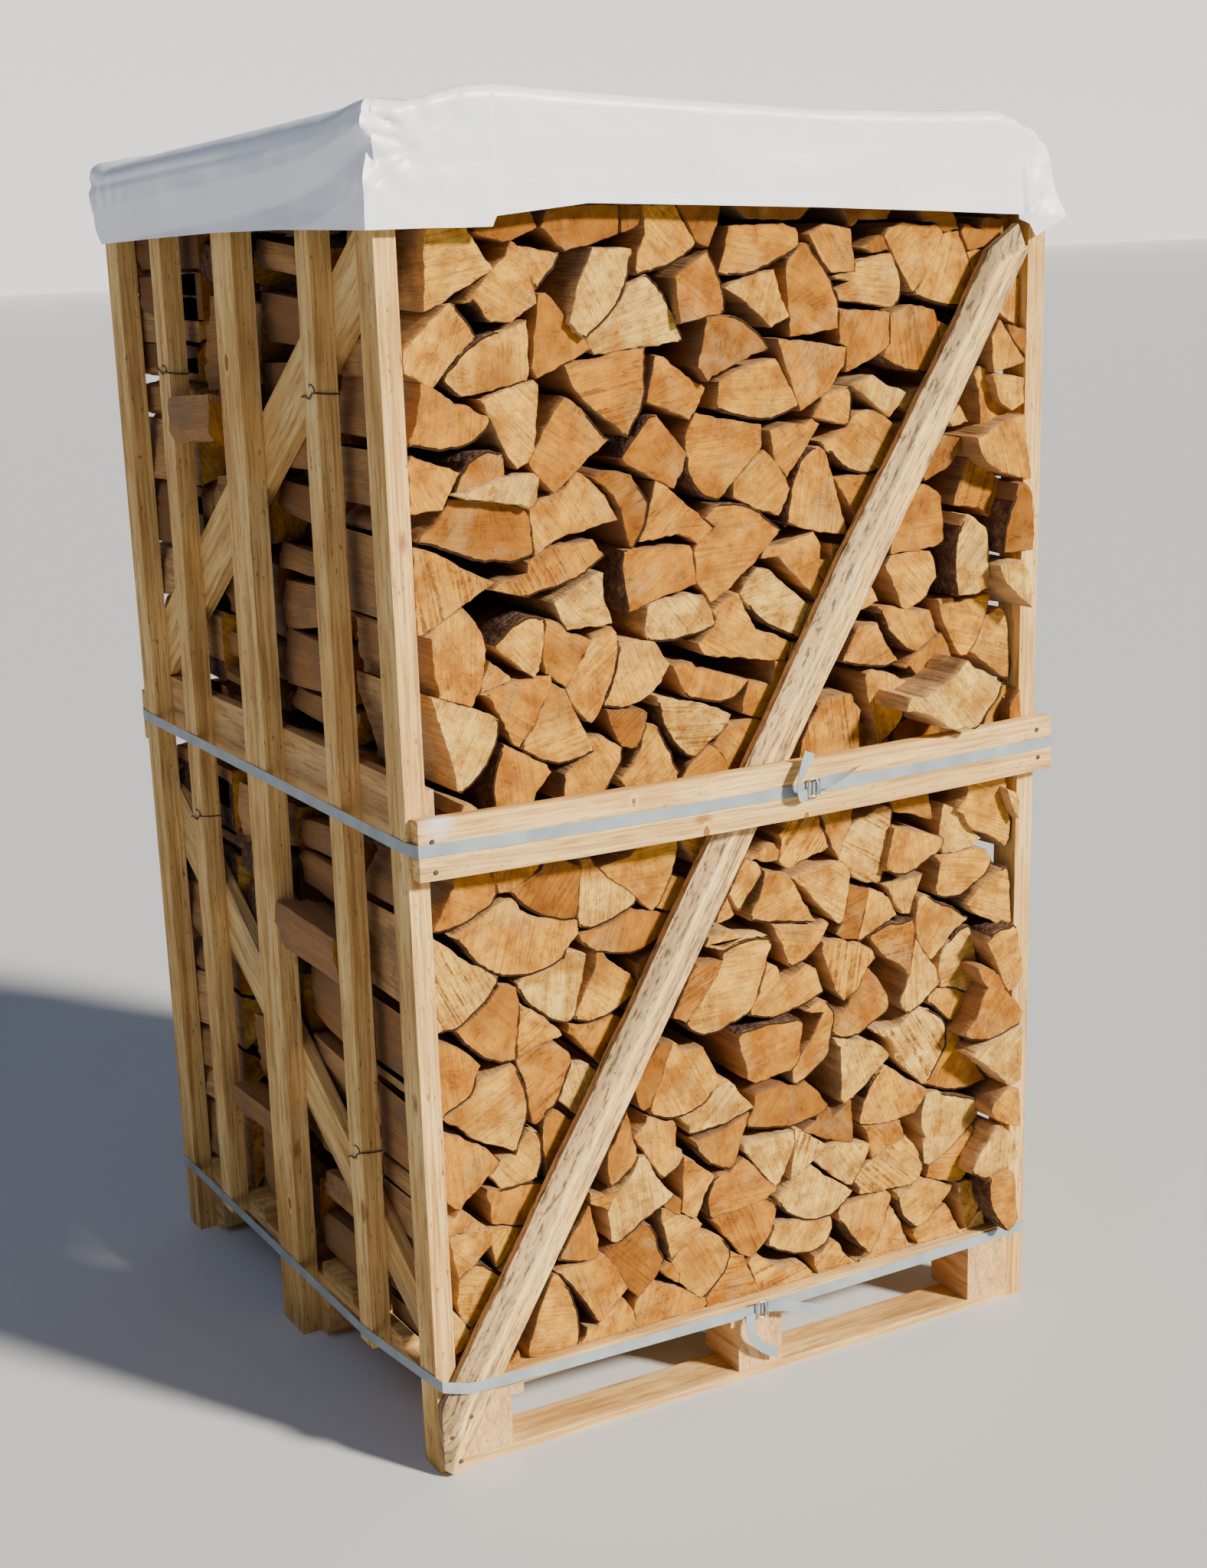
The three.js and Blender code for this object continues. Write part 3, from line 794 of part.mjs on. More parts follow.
// A wire buckle: an open frame with a cross bar, standing on the strap
function buckle(wasm, x, y, z) {
  const { wide, high, wire } = BUCKLE;
  const through = [y - 3 * wire, y + 2 * wire];
  const level = [z - high + wire, z + high - wire];
  const frame = solid(wasm, block([x - wide, x + wide], [y - wire, y], [z - high, z + high]))
    .subtract(solid(wasm, block([x - wide + wire, x - wire / 2], through, level)))
    .subtract(solid(wasm, block([x + wire / 2, x + wide - wire], through, level)));
  return geometryOf(frame);
}

function buckles(wasm, add) {
  const { middle, bottom } = BUCKLE_PLACES;
  const onRail = -GAP - railBow(middle.x) - RAIL_THICK - GAP - STRAP_THICK - BUCKLE.stand;
  add('buckle_middle', buckle(wasm, middle.x, onRail, middle.z), 'steel');
  add('buckle_bottom', buckle(wasm, bottom.x, bottom.y, bottom.z), 'steel');
}

// Foil hood: each station is [x, y, hem height, height at the edge of the top]
const HOOD_STATIONS = [
  [-11, -12, 1620, 1752], [60, -13, 1620, 1762], [150, -13, 1619, 1766], [156, -13, 1631, 1766],
  [280, -13, 1642, 1764], [450, -13, 1635, 1756], [631, -13, 1627, 1745], [800, -13, 1618, 1742],
  [955, -13, 1609, 1730], [972, -15, 1580, 1726], [994, -18, 1592, 1720], [1018, -19, 1603, 1706],
  [1013, 30, 1606, 1708], [1011, 250, 1606, 1722], [1011, 500, 1606, 1726], [1011, 750, 1604, 1720],
  [1010, 986, 1602, 1704], [750, 988, 1604, 1716], [500, 988, 1604, 1722], [250, 988, 1604, 1716],
  [-11, 986, 1604, 1706], [-12, 750, 1612, 1716], [-12, 500, 1619, 1728], [-12, 250, 1622, 1742],
];
const HOOD_THICK = 4;
const HOOD_MIDDLE = [500, 480];
const HOOD_CROWN = 1752;
const HOOD_DROP = 70;
const HOOD_EDGE = 18;

// The hood's skin, outer or drawn inward: from the hem up the sides, over the edge and onto the top
function hoodSkin(inward) {
  const ring = (draw, height) => HOOD_STATIONS.map(([x, y, hem, top]) => {
    const pull = [x, y].map((value, axis) => {
      const run = value - HOOD_MIDDLE[axis];
      return run - Math.sign(run) * Math.min(Math.abs(run) * 0.5, inward);
    });
    return [HOOD_MIDDLE[0] + pull[0] * draw, HOOD_MIDDLE[1] + pull[1] * draw, height(hem, top)];
  });
  return [
    ring(1, (hem) => hem),
    ring(1, (hem, top) => Math.max(hem + 30, top - HOOD_DROP) - inward * 0.1),
    ring(0.997, (hem, top) => top - HOOD_EDGE - inward),
    ring(0.965, (hem, top) => top - inward),
    ring(0.6, (hem, top) => (top + 2 * HOOD_CROWN) / 3 - inward),
  ];
}

function hood(add) {
  const rings = hoodSkin(HOOD_THICK).reverse().concat(hoodSkin(0));
  const count = HOOD_STATIONS.length;
  const vertices = rings.flat(2);
  const faces = [];
  for (let level = 0; level + 1 < rings.length; level += 1) {
    for (let i = 0; i < count; i += 1) {
      const a = level * count + i;
      const b = level * count + (i + 1) % count;
      faces.push(a, b, b + count, a, b + count, a + count);
    }
  }
  const crown = vertices.length / 3;
  vertices.push(...HOOD_MIDDLE, HOOD_CROWN - HOOD_THICK, ...HOOD_MIDDLE, HOOD_CROWN);
  const last = (rings.length - 1) * count;
  for (let i = 0; i < count; i += 1) {
    const next = (i + 1) % count;
    faces.push(next, i, crown, last + i, last + next, crown + 1);
  }
  add('cover', outward(vertices, faces), 'foil');
}

async function build() {
  const wasm = await Module();
  wasm.setup();
  const group = new THREE.Group();
  const add = (name, geometry, look) => {
    const mesh = new THREE.Mesh(geometry, MATERIALS[look]);
    mesh.name = name;
    group.add(mesh);
  };
  const channels = [];
  posts(add);
  slats(add);
  sideBoards(add, channels);
  rails(add, channels);
  braces(add);
  base(add);
  firewood(wasm, add, channels);
  straps(add);
  buckles(wasm, add);
  hood(add);
  const extent = new THREE.Box3().setFromObject(group);
  const middle = extent.getCenter(new THREE.Vector3());
  for (const mesh of group.children) {
    mesh.geometry.translate(-middle.x, -middle.y, -extent.min.z);
    mesh.geometry.deleteAttribute('normal');
    mesh.geometry.computeVertexNormals();
  }
  return group;
}

export default await build();
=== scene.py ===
import math
import random

import bpy
from mathutils import Matrix, Vector, noise
from mathutils.geometry import tessellate_polygon


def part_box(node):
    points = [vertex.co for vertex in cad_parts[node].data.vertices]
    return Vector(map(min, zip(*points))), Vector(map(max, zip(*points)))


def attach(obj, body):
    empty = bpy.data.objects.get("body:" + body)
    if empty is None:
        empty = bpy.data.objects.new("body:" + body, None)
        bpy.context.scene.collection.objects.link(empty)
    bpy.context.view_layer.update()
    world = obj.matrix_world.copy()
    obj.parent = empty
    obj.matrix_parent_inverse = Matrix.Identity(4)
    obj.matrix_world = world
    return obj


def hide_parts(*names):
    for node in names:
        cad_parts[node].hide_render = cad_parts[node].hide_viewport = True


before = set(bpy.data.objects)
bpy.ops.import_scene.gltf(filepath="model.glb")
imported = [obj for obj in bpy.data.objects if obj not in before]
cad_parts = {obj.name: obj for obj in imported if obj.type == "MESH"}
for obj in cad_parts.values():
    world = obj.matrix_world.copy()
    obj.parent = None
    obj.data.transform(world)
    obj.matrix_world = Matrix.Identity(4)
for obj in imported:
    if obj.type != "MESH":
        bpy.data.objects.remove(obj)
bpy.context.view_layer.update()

# Pallet of split beech logs: a pine crate, four rows of logs, two straps and a foil cover.
# Places are written in millimetres in the crate's own frame: x = 0 at the outer face of the left
# posts, y = 0 at the front face of the front posts, z = 0 on the ground. place() turns them into
# the frame's metres.

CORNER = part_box("post_front_left")[0]
MM = 0.001

POST_SPAN = 999
CRATE_DEPTH = 975
POST_WIDTH = 29
RAIL_BOTTOM = 837
RAIL_TOP = 917
RAIL_THICK = 22
RAIL_BOW = 22
RAIL_MIDDLE = 505
BRACE_THICK = 20
GAP = 0.3
STRAP_THICK = 0.9
DECK_TOP = 122
ROW_FRONT = 15
ROW_LENGTH = 230
LOG_INNER_FACE = 48
VIEW_POINT = (-1145, -2533, 1645)

random.seed(4)


def place(x, y, z):
    """A point of the crate in millimetres, as a point of the frame in metres."""
    return Vector((CORNER.x + x * MM, CORNER.y + y * MM, z * MM))


def clamp(value, low, high):
    return max(low, min(high, value))


def along(stations, value):
    """Straight runs through (input, output) stations."""
    if value <= stations[0][0]:
        return stations[0][1]
    for (a, low), (b, high) in zip(stations, stations[1:]):
        if value <= b:
            return low + (high - low) * (value - a) / (b - a)
    return stations[-1][1]


def rail_bow(x):
    """How far the middle rail stands out at x."""
    reach = min(1.0, abs(x - RAIL_MIDDLE) / RAIL_MIDDLE)
    return RAIL_BOW * (1 - reach * reach)


# Camera: standing eye height in front of the left corner, looking slightly down
LENS = 53.03
SENSOR_WIDTH = 36
LENS_SHIFT = (0.0053, 0.0625)
CAMERA_TURN = (73.554, 1.762, -29.653)


def photo_view():
    camera = bpy.data.cameras.new("camera")
    camera.lens = LENS
    camera.sensor_width = SENSOR_WIDTH
    camera.shift_x, camera.shift_y = LENS_SHIFT
    stand = bpy.data.objects.new("camera", camera)
    stand.location = place(*VIEW_POINT)
    stand.rotation_euler = [math.radians(angle) for angle in CAMERA_TURN]
    bpy.context.scene.collection.objects.link(stand)
    bpy.context.scene.camera = stand


photo_view()


# Colours
def colour(code):
    """An sRGB hex value as linear red, green, blue and alpha."""
    parts = [int(code[i:i + 2], 16) / 255 for i in (1, 3, 5)]
    return [p / 12.92 if p <= 0.04045 else ((p + 0.055) / 1.055) ** 2.4 for p in parts] + [1]


# Materials
def feed(tree, made, inputs):
    """Sets a node's inputs: a socket's name or number, and a value or the socket that feeds it."""
    for key, value in inputs.items():
        socket = made.inputs[key]
        if isinstance(value, bpy.types.NodeSocket):
            tree.links.new(value, socket)
        else:
            socket.default_value = value


def node(tree, kind, inputs, out=0, stops=(), **settings):
    """Adds a node with its settings and links, and gives back one of its outputs.

    stops are the (place, hex colour) stops of a colour ramp.
    """
    made = tree.nodes.new("ShaderNode" + kind)
    for name, value in settings.items():
        setattr(made, name, value)
    feed(tree, made, inputs)
    for index, (at, code) in enumerate(stops):
        elements = made.color_ramp.elements
        element = elements[index] if index < 2 else elements.new(at)
        element.position = at
        element.color = colour(code)
    return made.outputs[out]


def overlaid(tree, base, pattern, low, high, code, least=0, most=1):
    """Lays a colour over the base: from its least to its most as the pattern goes from low to high."""
    share = node(tree, "MapRange", {
        "Value": pattern, "From Min": low, "From Max": high, "To Min": least, "To Max": most,
    })
    return node(tree, "Mix", {0: share, 6: base, 7: colour(code)}, out=2, data_type="RGBA")


def material(name):
    """A new material, its node tree and its shader."""
    made = bpy.data.materials.new(name)
    made.use_nodes = True
    return made, made.node_tree, made.node_tree.nodes["Principled BSDF"]


# Sawn pine. A softwood board straight from the band saw: pale yellow, with warmer growth lines that
# run along it, a few brown knots and saw fuzz, so it is matt and never quite even. Boards that stood
# outdoors turn grey-brown in patches (stain) and catch dark specks (dirt).
# grain is the turn in degrees that brings the board's length to the pattern's z axis, and marked
# holds the larger knots that show: x, y, z in the crate and the radius, all in millimetres. dusty is
# the place and the reach of a patch of pale dust, in millimetres too.
def sawn_pine(name, grain, tones, stain=0.0, dirt=0.0, marked=(), dusty=None):
    pale, warm, deep = tones
    made, tree, shader = material(name)
    coords = node(tree, "TexCoord", {}, out="Object")
    turn = [math.radians(angle) for angle in grain]
    board = node(tree, "Mapping", {"Vector": coords, "Rotation": turn})
    # growth lines 2 to 7 mm apart, drawn out along the board
    fibre = node(tree, "Mapping", {"Vector": board, "Scale": (1, 0.3, 0.03)})
    fine = node(tree, "TexNoise", {"Vector": fibre, "Scale": 420, "Detail": 3, "Roughness": 0.6})
    lines = node(tree, "TexNoise", {"Vector": fibre, "Scale": 150, "Detail": 3, "Roughness": 0.6})
    broad = node(tree, "TexNoise", {"Vector": fibre, "Scale": 32, "Detail": 2})
    cloud = node(tree, "TexNoise", {"Vector": board, "Scale": 5, "Detail": 4, "Roughness": 0.6})
    lined = node(tree, "MapRange", {"Value": lines, "From Min": 0.4, "From Max": 0.64})
    base = node(tree, "ValToRGB", {"Fac": lined}, stops=[(0.0, pale), (0.5, warm), (1.0, deep)])
    wide = node(tree, "MapRange", {"Value": broad, "From Min": 0.35, "From Max": 0.7})
    wide = node(tree, "ValToRGB", {"Fac": wide}, stops=[(0.0, pale), (1.0, warm)])
    base = node(tree, "Mix", {0: 0.45, 6: base, 7: wide}, out=2, data_type="RGBA")
    aged = node(tree, "ValToRGB", {"Fac": cloud}, stops=[(0.3, "#FFFFFF"), (0.75, "#CDB590")])
    base = node(tree, "Mix", {0: 0.75, 6: base, 7: aged}, out=2, data_type="RGBA", blend_type="MULTIPLY")
    base = overlaid(tree, base, fine, 0.5, 0.66, "#9C7040", most=0.65)
    # soft brown knots about 15 mm wide and 30 mm long, a few to the metre
    knot_space = node(tree, "Mapping", {"Vector": board, "Scale": (1, 1, 0.45)})
    knots = node(tree, "TexVoronoi", {"Vector": knot_space, "Scale": 8.5}, out="Distance")
    base = overlaid(tree, base, knots, 0.05, 0.085, "#8E5A2C", least=0.8, most=0)
    # the larger knots: a warm halo, a dark rim and the knot itself
    for x, y, z, radius in marked:
        apart = node(tree, "VectorMath", {0: coords, 1: place(x, y, z)}, operation="SUBTRACT")
        squeezed = node(tree, "Mapping", {"Vector": apart, "Rotation": turn, "Scale": (1, 1, 0.6)})
        reach = node(tree, "VectorMath", {0: squeezed}, out="Value", operation="LENGTH")
        reach = node(tree, "Math", {0: lines, 1: 4 * MM, 2: reach}, operation="MULTIPLY_ADD")
        for share, code in ((1.7, warm), (1.0, "#6B401C"), (0.75, "#A66D38")):
            edge = share * radius * MM + 2 * MM
            base = overlaid(tree, base, reach, edge - MM, edge, code, least=0.85, most=0)
    if stain:
        patch = node(tree, "TexNoise", {"Vector": fibre, "Scale": 60, "Detail": 5, "Roughness": 0.7})
        base = overlaid(tree, base, patch, 0.47, 0.66, "#6E6862", most=stain)
    if dirt:
        speck = node(tree, "Mapping", {"Vector": board, "Scale": (1, 1, 0.3)})
        speck = node(tree, "TexNoise", {"Vector": speck, "Scale": 190, "Detail": 4, "Roughness": 0.7})
        base = overlaid(tree, base, speck, 0.62, 0.67, "#4E3520", most=dirt)
    if dusty:
        away = node(tree, "VectorMath", {0: coords, 1: place(*dusty[:3])}, out="Value", operation="DISTANCE")
        away = node(tree, "Math", {0: cloud, 1: 0.05, 2: away}, operation="MULTIPLY_ADD")
        reach = dusty[3] * MM
        base = overlaid(tree, base, away, reach, 2 * reach, "#DDE3EE", least=0.75, most=0)
    height = node(tree, "Math", {0: lines, 1: fine}, operation="ADD")
    normal = node(tree, "Bump", {"Height": height, "Distance": 0.7 * MM, "Strength": 0.7})
    feed(tree, shader, {"Base Color": base, "Roughness": 0.74, "Specular IOR Level": 0.25, "Normal": normal})
    return made


PINE = ("#F7D794", "#E4B76E", "#A8773C")
DEEP_PINE = ("#EBC78F", "#DDAE70", "#BE8647")
# The turn of each kind of board, in degrees
UPRIGHT = (0, 0, 0)
LEVEL_X = (0, 90, 0)
LEVEL_Y = (90, 0, 0)
SIDE_UP = (-54.5, 0, 0)
SIDE_DOWN = (58, 0, 0)
# The larger knots that show: x, y, z in the crate and the radius
SLAT_KNOTS = [(0, 501, 1449, 7), (0, 497, 211, 6)]
RISING_KNOTS = [(0, 393, 1372, 7), (0, 159, 1469, 6)]
RAIL_KNOTS = [(305, -37, 900, 5), (413, -43, 844, 5), (572, -44, 838, 5), (191, -31, 846, 4)]
RAIL_DUST = (34, -24, 912, 26)
PINE_UPRIGHT = sawn_pine("sawn_pine_upright", UPRIGHT, PINE, dirt=0.7, marked=SLAT_KNOTS)
PINE_RAIL = sawn_pine("sawn_pine_rail", LEVEL_X, PINE, dirt=0.45, marked=RAIL_KNOTS, dusty=RAIL_DUST)
PINE_LEVEL = sawn_pine("sawn_pine_along_x", LEVEL_X, PINE, stain=0.25, dirt=0.3)
PINE_DEEP = sawn_pine("sawn_pine_along_y", LEVEL_Y, DEEP_PINE, stain=0.35, dirt=0.5)
PINE_RISING = sawn_pine("sawn_pine_rising", SIDE_UP, PINE, dirt=0.5, marked=RISING_KNOTS)
PINE_STAINED = sawn_pine("stained_pine_falling", SIDE_DOWN, PINE, stain=0.5, dirt=0.5)


# Weathered slab pine of the long braces. The outer slab of a log, sawn on one side and axed along a
# ridge: its left facet is brown-grey, partly from weathering and partly as painted shade of the facet
# that faces away from the light. Its right facet is cream in long streaks, dark dashes of mould lie on
# both, and a pale line is painted along the ridge between them.
# "facet" runs from 0 at the left edge over 1 at the ridge to 2 at the right edge.
def weathered_slab():
    made, tree, shader = material("weathered_slab_pine")
    facet = node(tree, "Attribute", {}, out="Fac", attribute_name="facet")
    run = node(tree, "UVMap", {}, uv_map="grain")
    fibre = node(tree, "Mapping", {"Vector": run, "Scale": (0.035, 1, 1)})
    streaks = node(tree, "TexNoise", {"Vector": fibre, "Scale": 260, "Detail": 4, "Roughness": 0.65})
    wide = node(tree, "TexNoise", {"Vector": fibre, "Scale": 60, "Detail": 3})
    dash_space = node(tree, "Mapping", {"Vector": run, "Scale": (0.16, 1, 1)})
    dashes = node(tree, "TexNoise", {"Vector": dash_space, "Scale": 230, "Detail": 5, "Roughness": 0.7})
    bloom = node(tree, "TexNoise", {"Vector": run, "Scale": 9, "Detail": 4, "Roughness": 0.6})
    cream = node(tree, "MapRange", {"Value": streaks, "From Min": 0.35, "From Max": 0.68})
    cream = node(tree, "ValToRGB", {"Fac": cream}, stops=[
        (0.0, "#FCDD98"), (0.5, "#EEC074"), (1.0, "#C48F4C"),
    ])
    grey = node(tree, "MapRange", {"Value": wide, "From Min": 0.35, "From Max": 0.68})
    grey = node(tree, "ValToRGB", {"Fac": grey}, stops=[(0.0, "#CFAC7A"), (0.5, "#A48967"), (1.0, "#6F604C")])
    # the grey share: nearly all of the left facet, as weathering and painted shade, and weathered
    #     # patches and dashes on the right one
    left = node(tree, "MapRange", {
        "Value": facet, "From Min": 0.72, "From Max": 0.9, "To Min": 0.85, "To Max": 0.0,
    })
    blue = node(tree, "Math", {0: bloom, 1: wide}, operation="ADD")
    blue = node(tree, "MapRange", {"Value": blue, "From Min": 0.98, "From Max": 1.18, "To Max": 0.7})
    share = node(tree, "Math", {0: left, 1: blue}, operation="MAXIMUM")
    base = node(tree, "Mix", {0: share, 6: cream, 7: grey}, out=2, data_type="RGBA")
    mould = node(tree, "MapRange", {"Value": dashes, "From Min": 0.5, "From Max": 0.6})
    dark = node(tree, "Math", {0: share, 1: 0.35, 2: 0.55}, operation="MULTIPLY_ADD")
    mould = node(tree, "Math", {0: mould, 1: dark}, operation="MULTIPLY")
    base = node(tree, "Mix", {0: mould, 6: base, 7: colour("#43382F")}, out=2, data_type="RGBA")
    # a pale cream line painted along the ridge
    ridge = node(tree, "Math", {0: facet, 1: 1.0}, operation="SUBTRACT")
    ridge = node(tree, "Math", {0: ridge}, operation="ABSOLUTE")
    base = overlaid(tree, base, ridge, 0.02, 0.13, "#F6DDAE", least=0.5, most=0)
    height = node(tree, "Math", {0: streaks, 1: dashes}, operation="SUBTRACT")
    normal = node(tree, "Bump", {"Height": height, "Distance": 1.4 * MM, "Strength": 0.8})
    feed(tree, shader, {"Base Color": base, "Roughness": 0.78, "Specular IOR Level": 0.25, "Normal": normal})
    return made


SLAB_PINE = weathered_slab()


# Beech: three finishes for a log's ends, its split faces and its bark. The distance between its
# growth rings is in metres.
RING_APART = 3 * MM


def own_looks(tree, *names):
    """The looks of each log by their names, as its points carry them."""
    return [node(tree, "Attribute", {}, out="Fac", attribute_name="log_" + name) for name in names]


def moved_on(tree, spot, seed):
    """A place in the pattern, moved on by the log's seed so that no two logs look alike."""
    offset = node(tree, "CombineXYZ", {"X": seed, "Y": seed, "Z": seed})
    return node(tree, "VectorMath", {0: spot, 1: offset}, operation="ADD")


# Beech end grain, cut across with a chain saw: warm tan, darker toward the heart, with faint rings
# round the pith, straight saw scores a few millimetres apart, fine drying cracks along the rays and
# a dark rim: the bark where it sits, and along the split edges dark speckles that are torn fibres and
# painted shade of the gaps between the logs. Dry and matt. The pattern is read from each log's pith,
# and tone, seed, saw, heart and rim are each log's own.
def beech_end():
    made, tree, shader = material("beech_end_grain")
    pith = node(tree, "UVMap", {}, uv_map="pith")
    tone, seed, saw, heart, rim = own_looks(tree, "tone", "seed", "saw", "heart", "rim")
    base = node(tree, "ValToRGB", {"Fac": tone}, stops=[
        (0.0, "#FAD36C"), (0.33, "#EEB340"), (0.66, "#D39127"), (1.0, "#9C6214"),
    ])
    reach = node(tree, "VectorMath", {0: pith}, out="Value", operation="LENGTH")
    here = moved_on(tree, pith, seed)
    cloud = node(tree, "TexNoise", {"Vector": here, "Scale": 26, "Detail": 4, "Roughness": 0.6})
    shade = node(tree, "ValToRGB", {"Fac": cloud}, stops=[(0.35, "#FFFFFF"), (0.66, "#A57B45")])
    base = node(tree, "Mix", {0: 0.85, 6: base, 7: shade}, out=2, data_type="RGBA", blend_type="MULTIPLY")
    # silvery patches of a few centimetres where an end has weathered
    silver = node(tree, "TexNoise", {
        "Vector": here, "Scale": 17, "Detail": 5, "Roughness": 0.6, "Distortion": 0.5,
    })
    base = overlaid(tree, base, silver, 0.53, 0.66, "#B89D68", most=0.4)
    # stains of a centimetre or so, where sawdust and damp dried on
    stains = node(tree, "TexNoise", {"Vector": here, "Scale": 95, "Detail": 5, "Roughness": 0.7})
    base = overlaid(tree, base, stains, 0.52, 0.68, "#8A5F26", most=0.65)
    # pores and flecks of a millimetre or less
    grit = node(tree, "TexNoise", {"Vector": here, "Scale": 700, "Detail": 3, "Roughness": 0.7})
    base = overlaid(tree, base, grit, 0.5, 0.66, "#865E29", most=0.6)
    # growth rings 3 mm apart, wavering
    waver = node(tree, "Math", {0: cloud, 1: 0.006, 2: reach}, operation="MULTIPLY_ADD")
    turns = node(tree, "Math", {0: waver, 1: 2 * math.pi / RING_APART}, operation="MULTIPLY")
    rings = node(tree, "Math", {0: turns}, operation="SINE")
    base = overlaid(tree, base, rings, 0.2, 1, "#A8692F", most=0.3)
    # straight saw scores, 2 to 4 mm apart, in a direction of each log's own
    angle = node(tree, "Math", {0: seed, 1: 2.3}, operation="MULTIPLY")
    turned = node(tree, "VectorRotate", {"Vector": pith, "Angle": angle}, rotation_type="Z_AXIS")
    stroke = node(tree, "Mapping", {"Vector": turned, "Scale": (1, 0.03, 1)})
    stroke = moved_on(tree, stroke, seed)
    scores = node(tree, "TexNoise", {"Vector": stroke, "Scale": 260, "Detail": 1.5, "Roughness": 0.5})
    hairs = node(tree, "TexNoise", {"Vector": stroke, "Scale": 640, "Detail": 2, "Roughness": 0.6})
    strength = node(tree, "Math", {0: saw, 1: 0.5, 2: 0.4}, operation="MULTIPLY_ADD")
    scored = node(tree, "MapRange", {"Value": scores, "From Min": 0.53, "From Max": 0.6})
    worn = node(tree, "MapRange", {
        "Value": stains, "From Min": 0.4, "From Max": 0.56, "To Min": 0.25, "To Max": 1,
    })
    scored = node(tree, "Math", {0: scored, 1: worn}, operation="MULTIPLY")
    scored = node(tree, "Math", {0: scored, 1: strength}, operation="MULTIPLY")
    base = node(tree, "Mix", {0: scored, 6: base, 7: colour("#70441B")}, out=2, data_type="RGBA")
    base = overlaid(tree, base, hairs, 0.5, 0.64, "#8E5E2B", most=0.55)
    # brown heart wood, fading out between 10 and 50 mm from the pith
    core = node(tree, "Math", {0: cloud, 1: 0.05, 2: reach}, operation="MULTIPLY_ADD")
    core = node(tree, "MapRange", {
        "Value": core, "From Min": 0.035, "From Max": 0.075, "To Min": 0.6, "To Max": 0,
    })
    core = node(tree, "Math", {0: core, 1: heart}, operation="MULTIPLY")
    base = node(tree, "Mix", {0: core, 6: base, 7: colour("#85501F")}, out=2, data_type="RGBA")
    # drying cracks that run out from the pith
    sideways = node(tree, "SeparateXYZ", {"Vector": pith}, out="X")
    upward = node(tree, "SeparateXYZ", {"Vector": pith}, out="Y")
    spoke = node(tree, "Math", {0: upward, 1: sideways}, operation="ARCTAN2")
    spoke = node(tree, "Math", {0: spoke, 1: 6.0}, operation="MULTIPLY")
    outward = node(tree, "Math", {0: reach, 1: 7.0}, operation="MULTIPLY")
    ray = node(tree, "CombineXYZ", {"X": spoke, "Y": seed, "Z": outward})
    split = node(tree, "TexNoise", {"Vector": ray, "Scale": 2.4, "Detail": 3, "Roughness": 0.55})
    split = node(tree, "Math", {0: split, 1: 0.56}, operation="SUBTRACT")
    split = node(tree, "Math", {0: split}, operation="ABSOLUTE")
    crack = node(tree, "MapRange", {
        "Value": split, "From Min": 0, "From Max": 0.009, "To Min": 0.8, "To Max": 0,
    })
    where = node(tree, "MapRange", {"Value": cloud, "From Min": 0.5, "From Max": 0.56})
    crack = node(tree, "Math", {0: crack, 1: where}, operation="MULTIPLY")
    base = node(tree, "Mix", {0: crack, 6: base, 7: colour("#3F220E")}, out=2, data_type="RGBA")
    # the rim: bark, and along split edges torn fibres and painted shade of the gaps, broken up
    rim_and_gap_shade = node(tree, "Math", {0: grit, 1: 0.5, 2: rim}, operation="MULTIPLY_ADD")
    base = overlaid(tree, base, rim_and_gap_shade, 0.5, 0.6, "#35210F")
    depth = node(tree, "Math", {0: scores, 1: strength, 2: grit}, operation="MULTIPLY_ADD")
    depth = node(tree, "Math", {0: depth, 1: crack}, operation="SUBTRACT")
    normal = node(tree, "Bump", {"Height": depth, "Distance": 0.9 * MM, "Strength": 0.8})
    feed(tree, shader, {"Base Color": base, "Roughness": 0.84, "Specular IOR Level": 0.12, "Normal": normal})
    return made


# Split beech along the grain: torn open with a wedge, so long lifted fibres and shallow steps run
# from end to end, gold to brown and dull.
def beech_split():
    made, tree, shader = material("beech_split_face")
    run = node(tree, "UVMap", {}, uv_map="pith")
    tone, seed = own_looks(tree, "tone", "seed")
    here = moved_on(tree, run, seed)
    fibre = node(tree, "Mapping", {"Vector": here, "Scale": (0.07, 1, 1)})
    fine = node(tree, "TexNoise", {"Vector": fibre, "Scale": 340, "Detail": 4, "Roughness": 0.65})
    broad = node(tree, "TexNoise", {"Vector": fibre, "Scale": 55, "Detail": 3, "Roughness": 0.6})
    cloud = node(tree, "TexNoise", {"Vector": here, "Scale": 14, "Detail": 4, "Roughness": 0.65})
    base = node(tree, "ValToRGB", {"Fac": tone}, stops=[
        (0.0, "#D9AE74"), (0.33, "#C0915A"), (0.66, "#A67645"), (1.0, "#7F552E"),
    ])
    base = overlaid(tree, base, fine, 0.42, 0.7, "#7A5230", most=0.6)
    base = overlaid(tree, base, broad, 0.45, 0.7, "#856040", most=0.55)
    base = overlaid(tree, base, cloud, 0.48, 0.66, "#76604A", most=0.7)
    height = node(tree, "Math", {0: broad, 1: 1.6, 2: fine}, operation="MULTIPLY_ADD")
    normal = node(tree, "Bump", {"Height": height, "Distance": 2.2 * MM, "Strength": 0.9})
    feed(tree, shader, {"Base Color": base, "Roughness": 0.8, "IOR": 1.45, "Normal": normal})
    return made


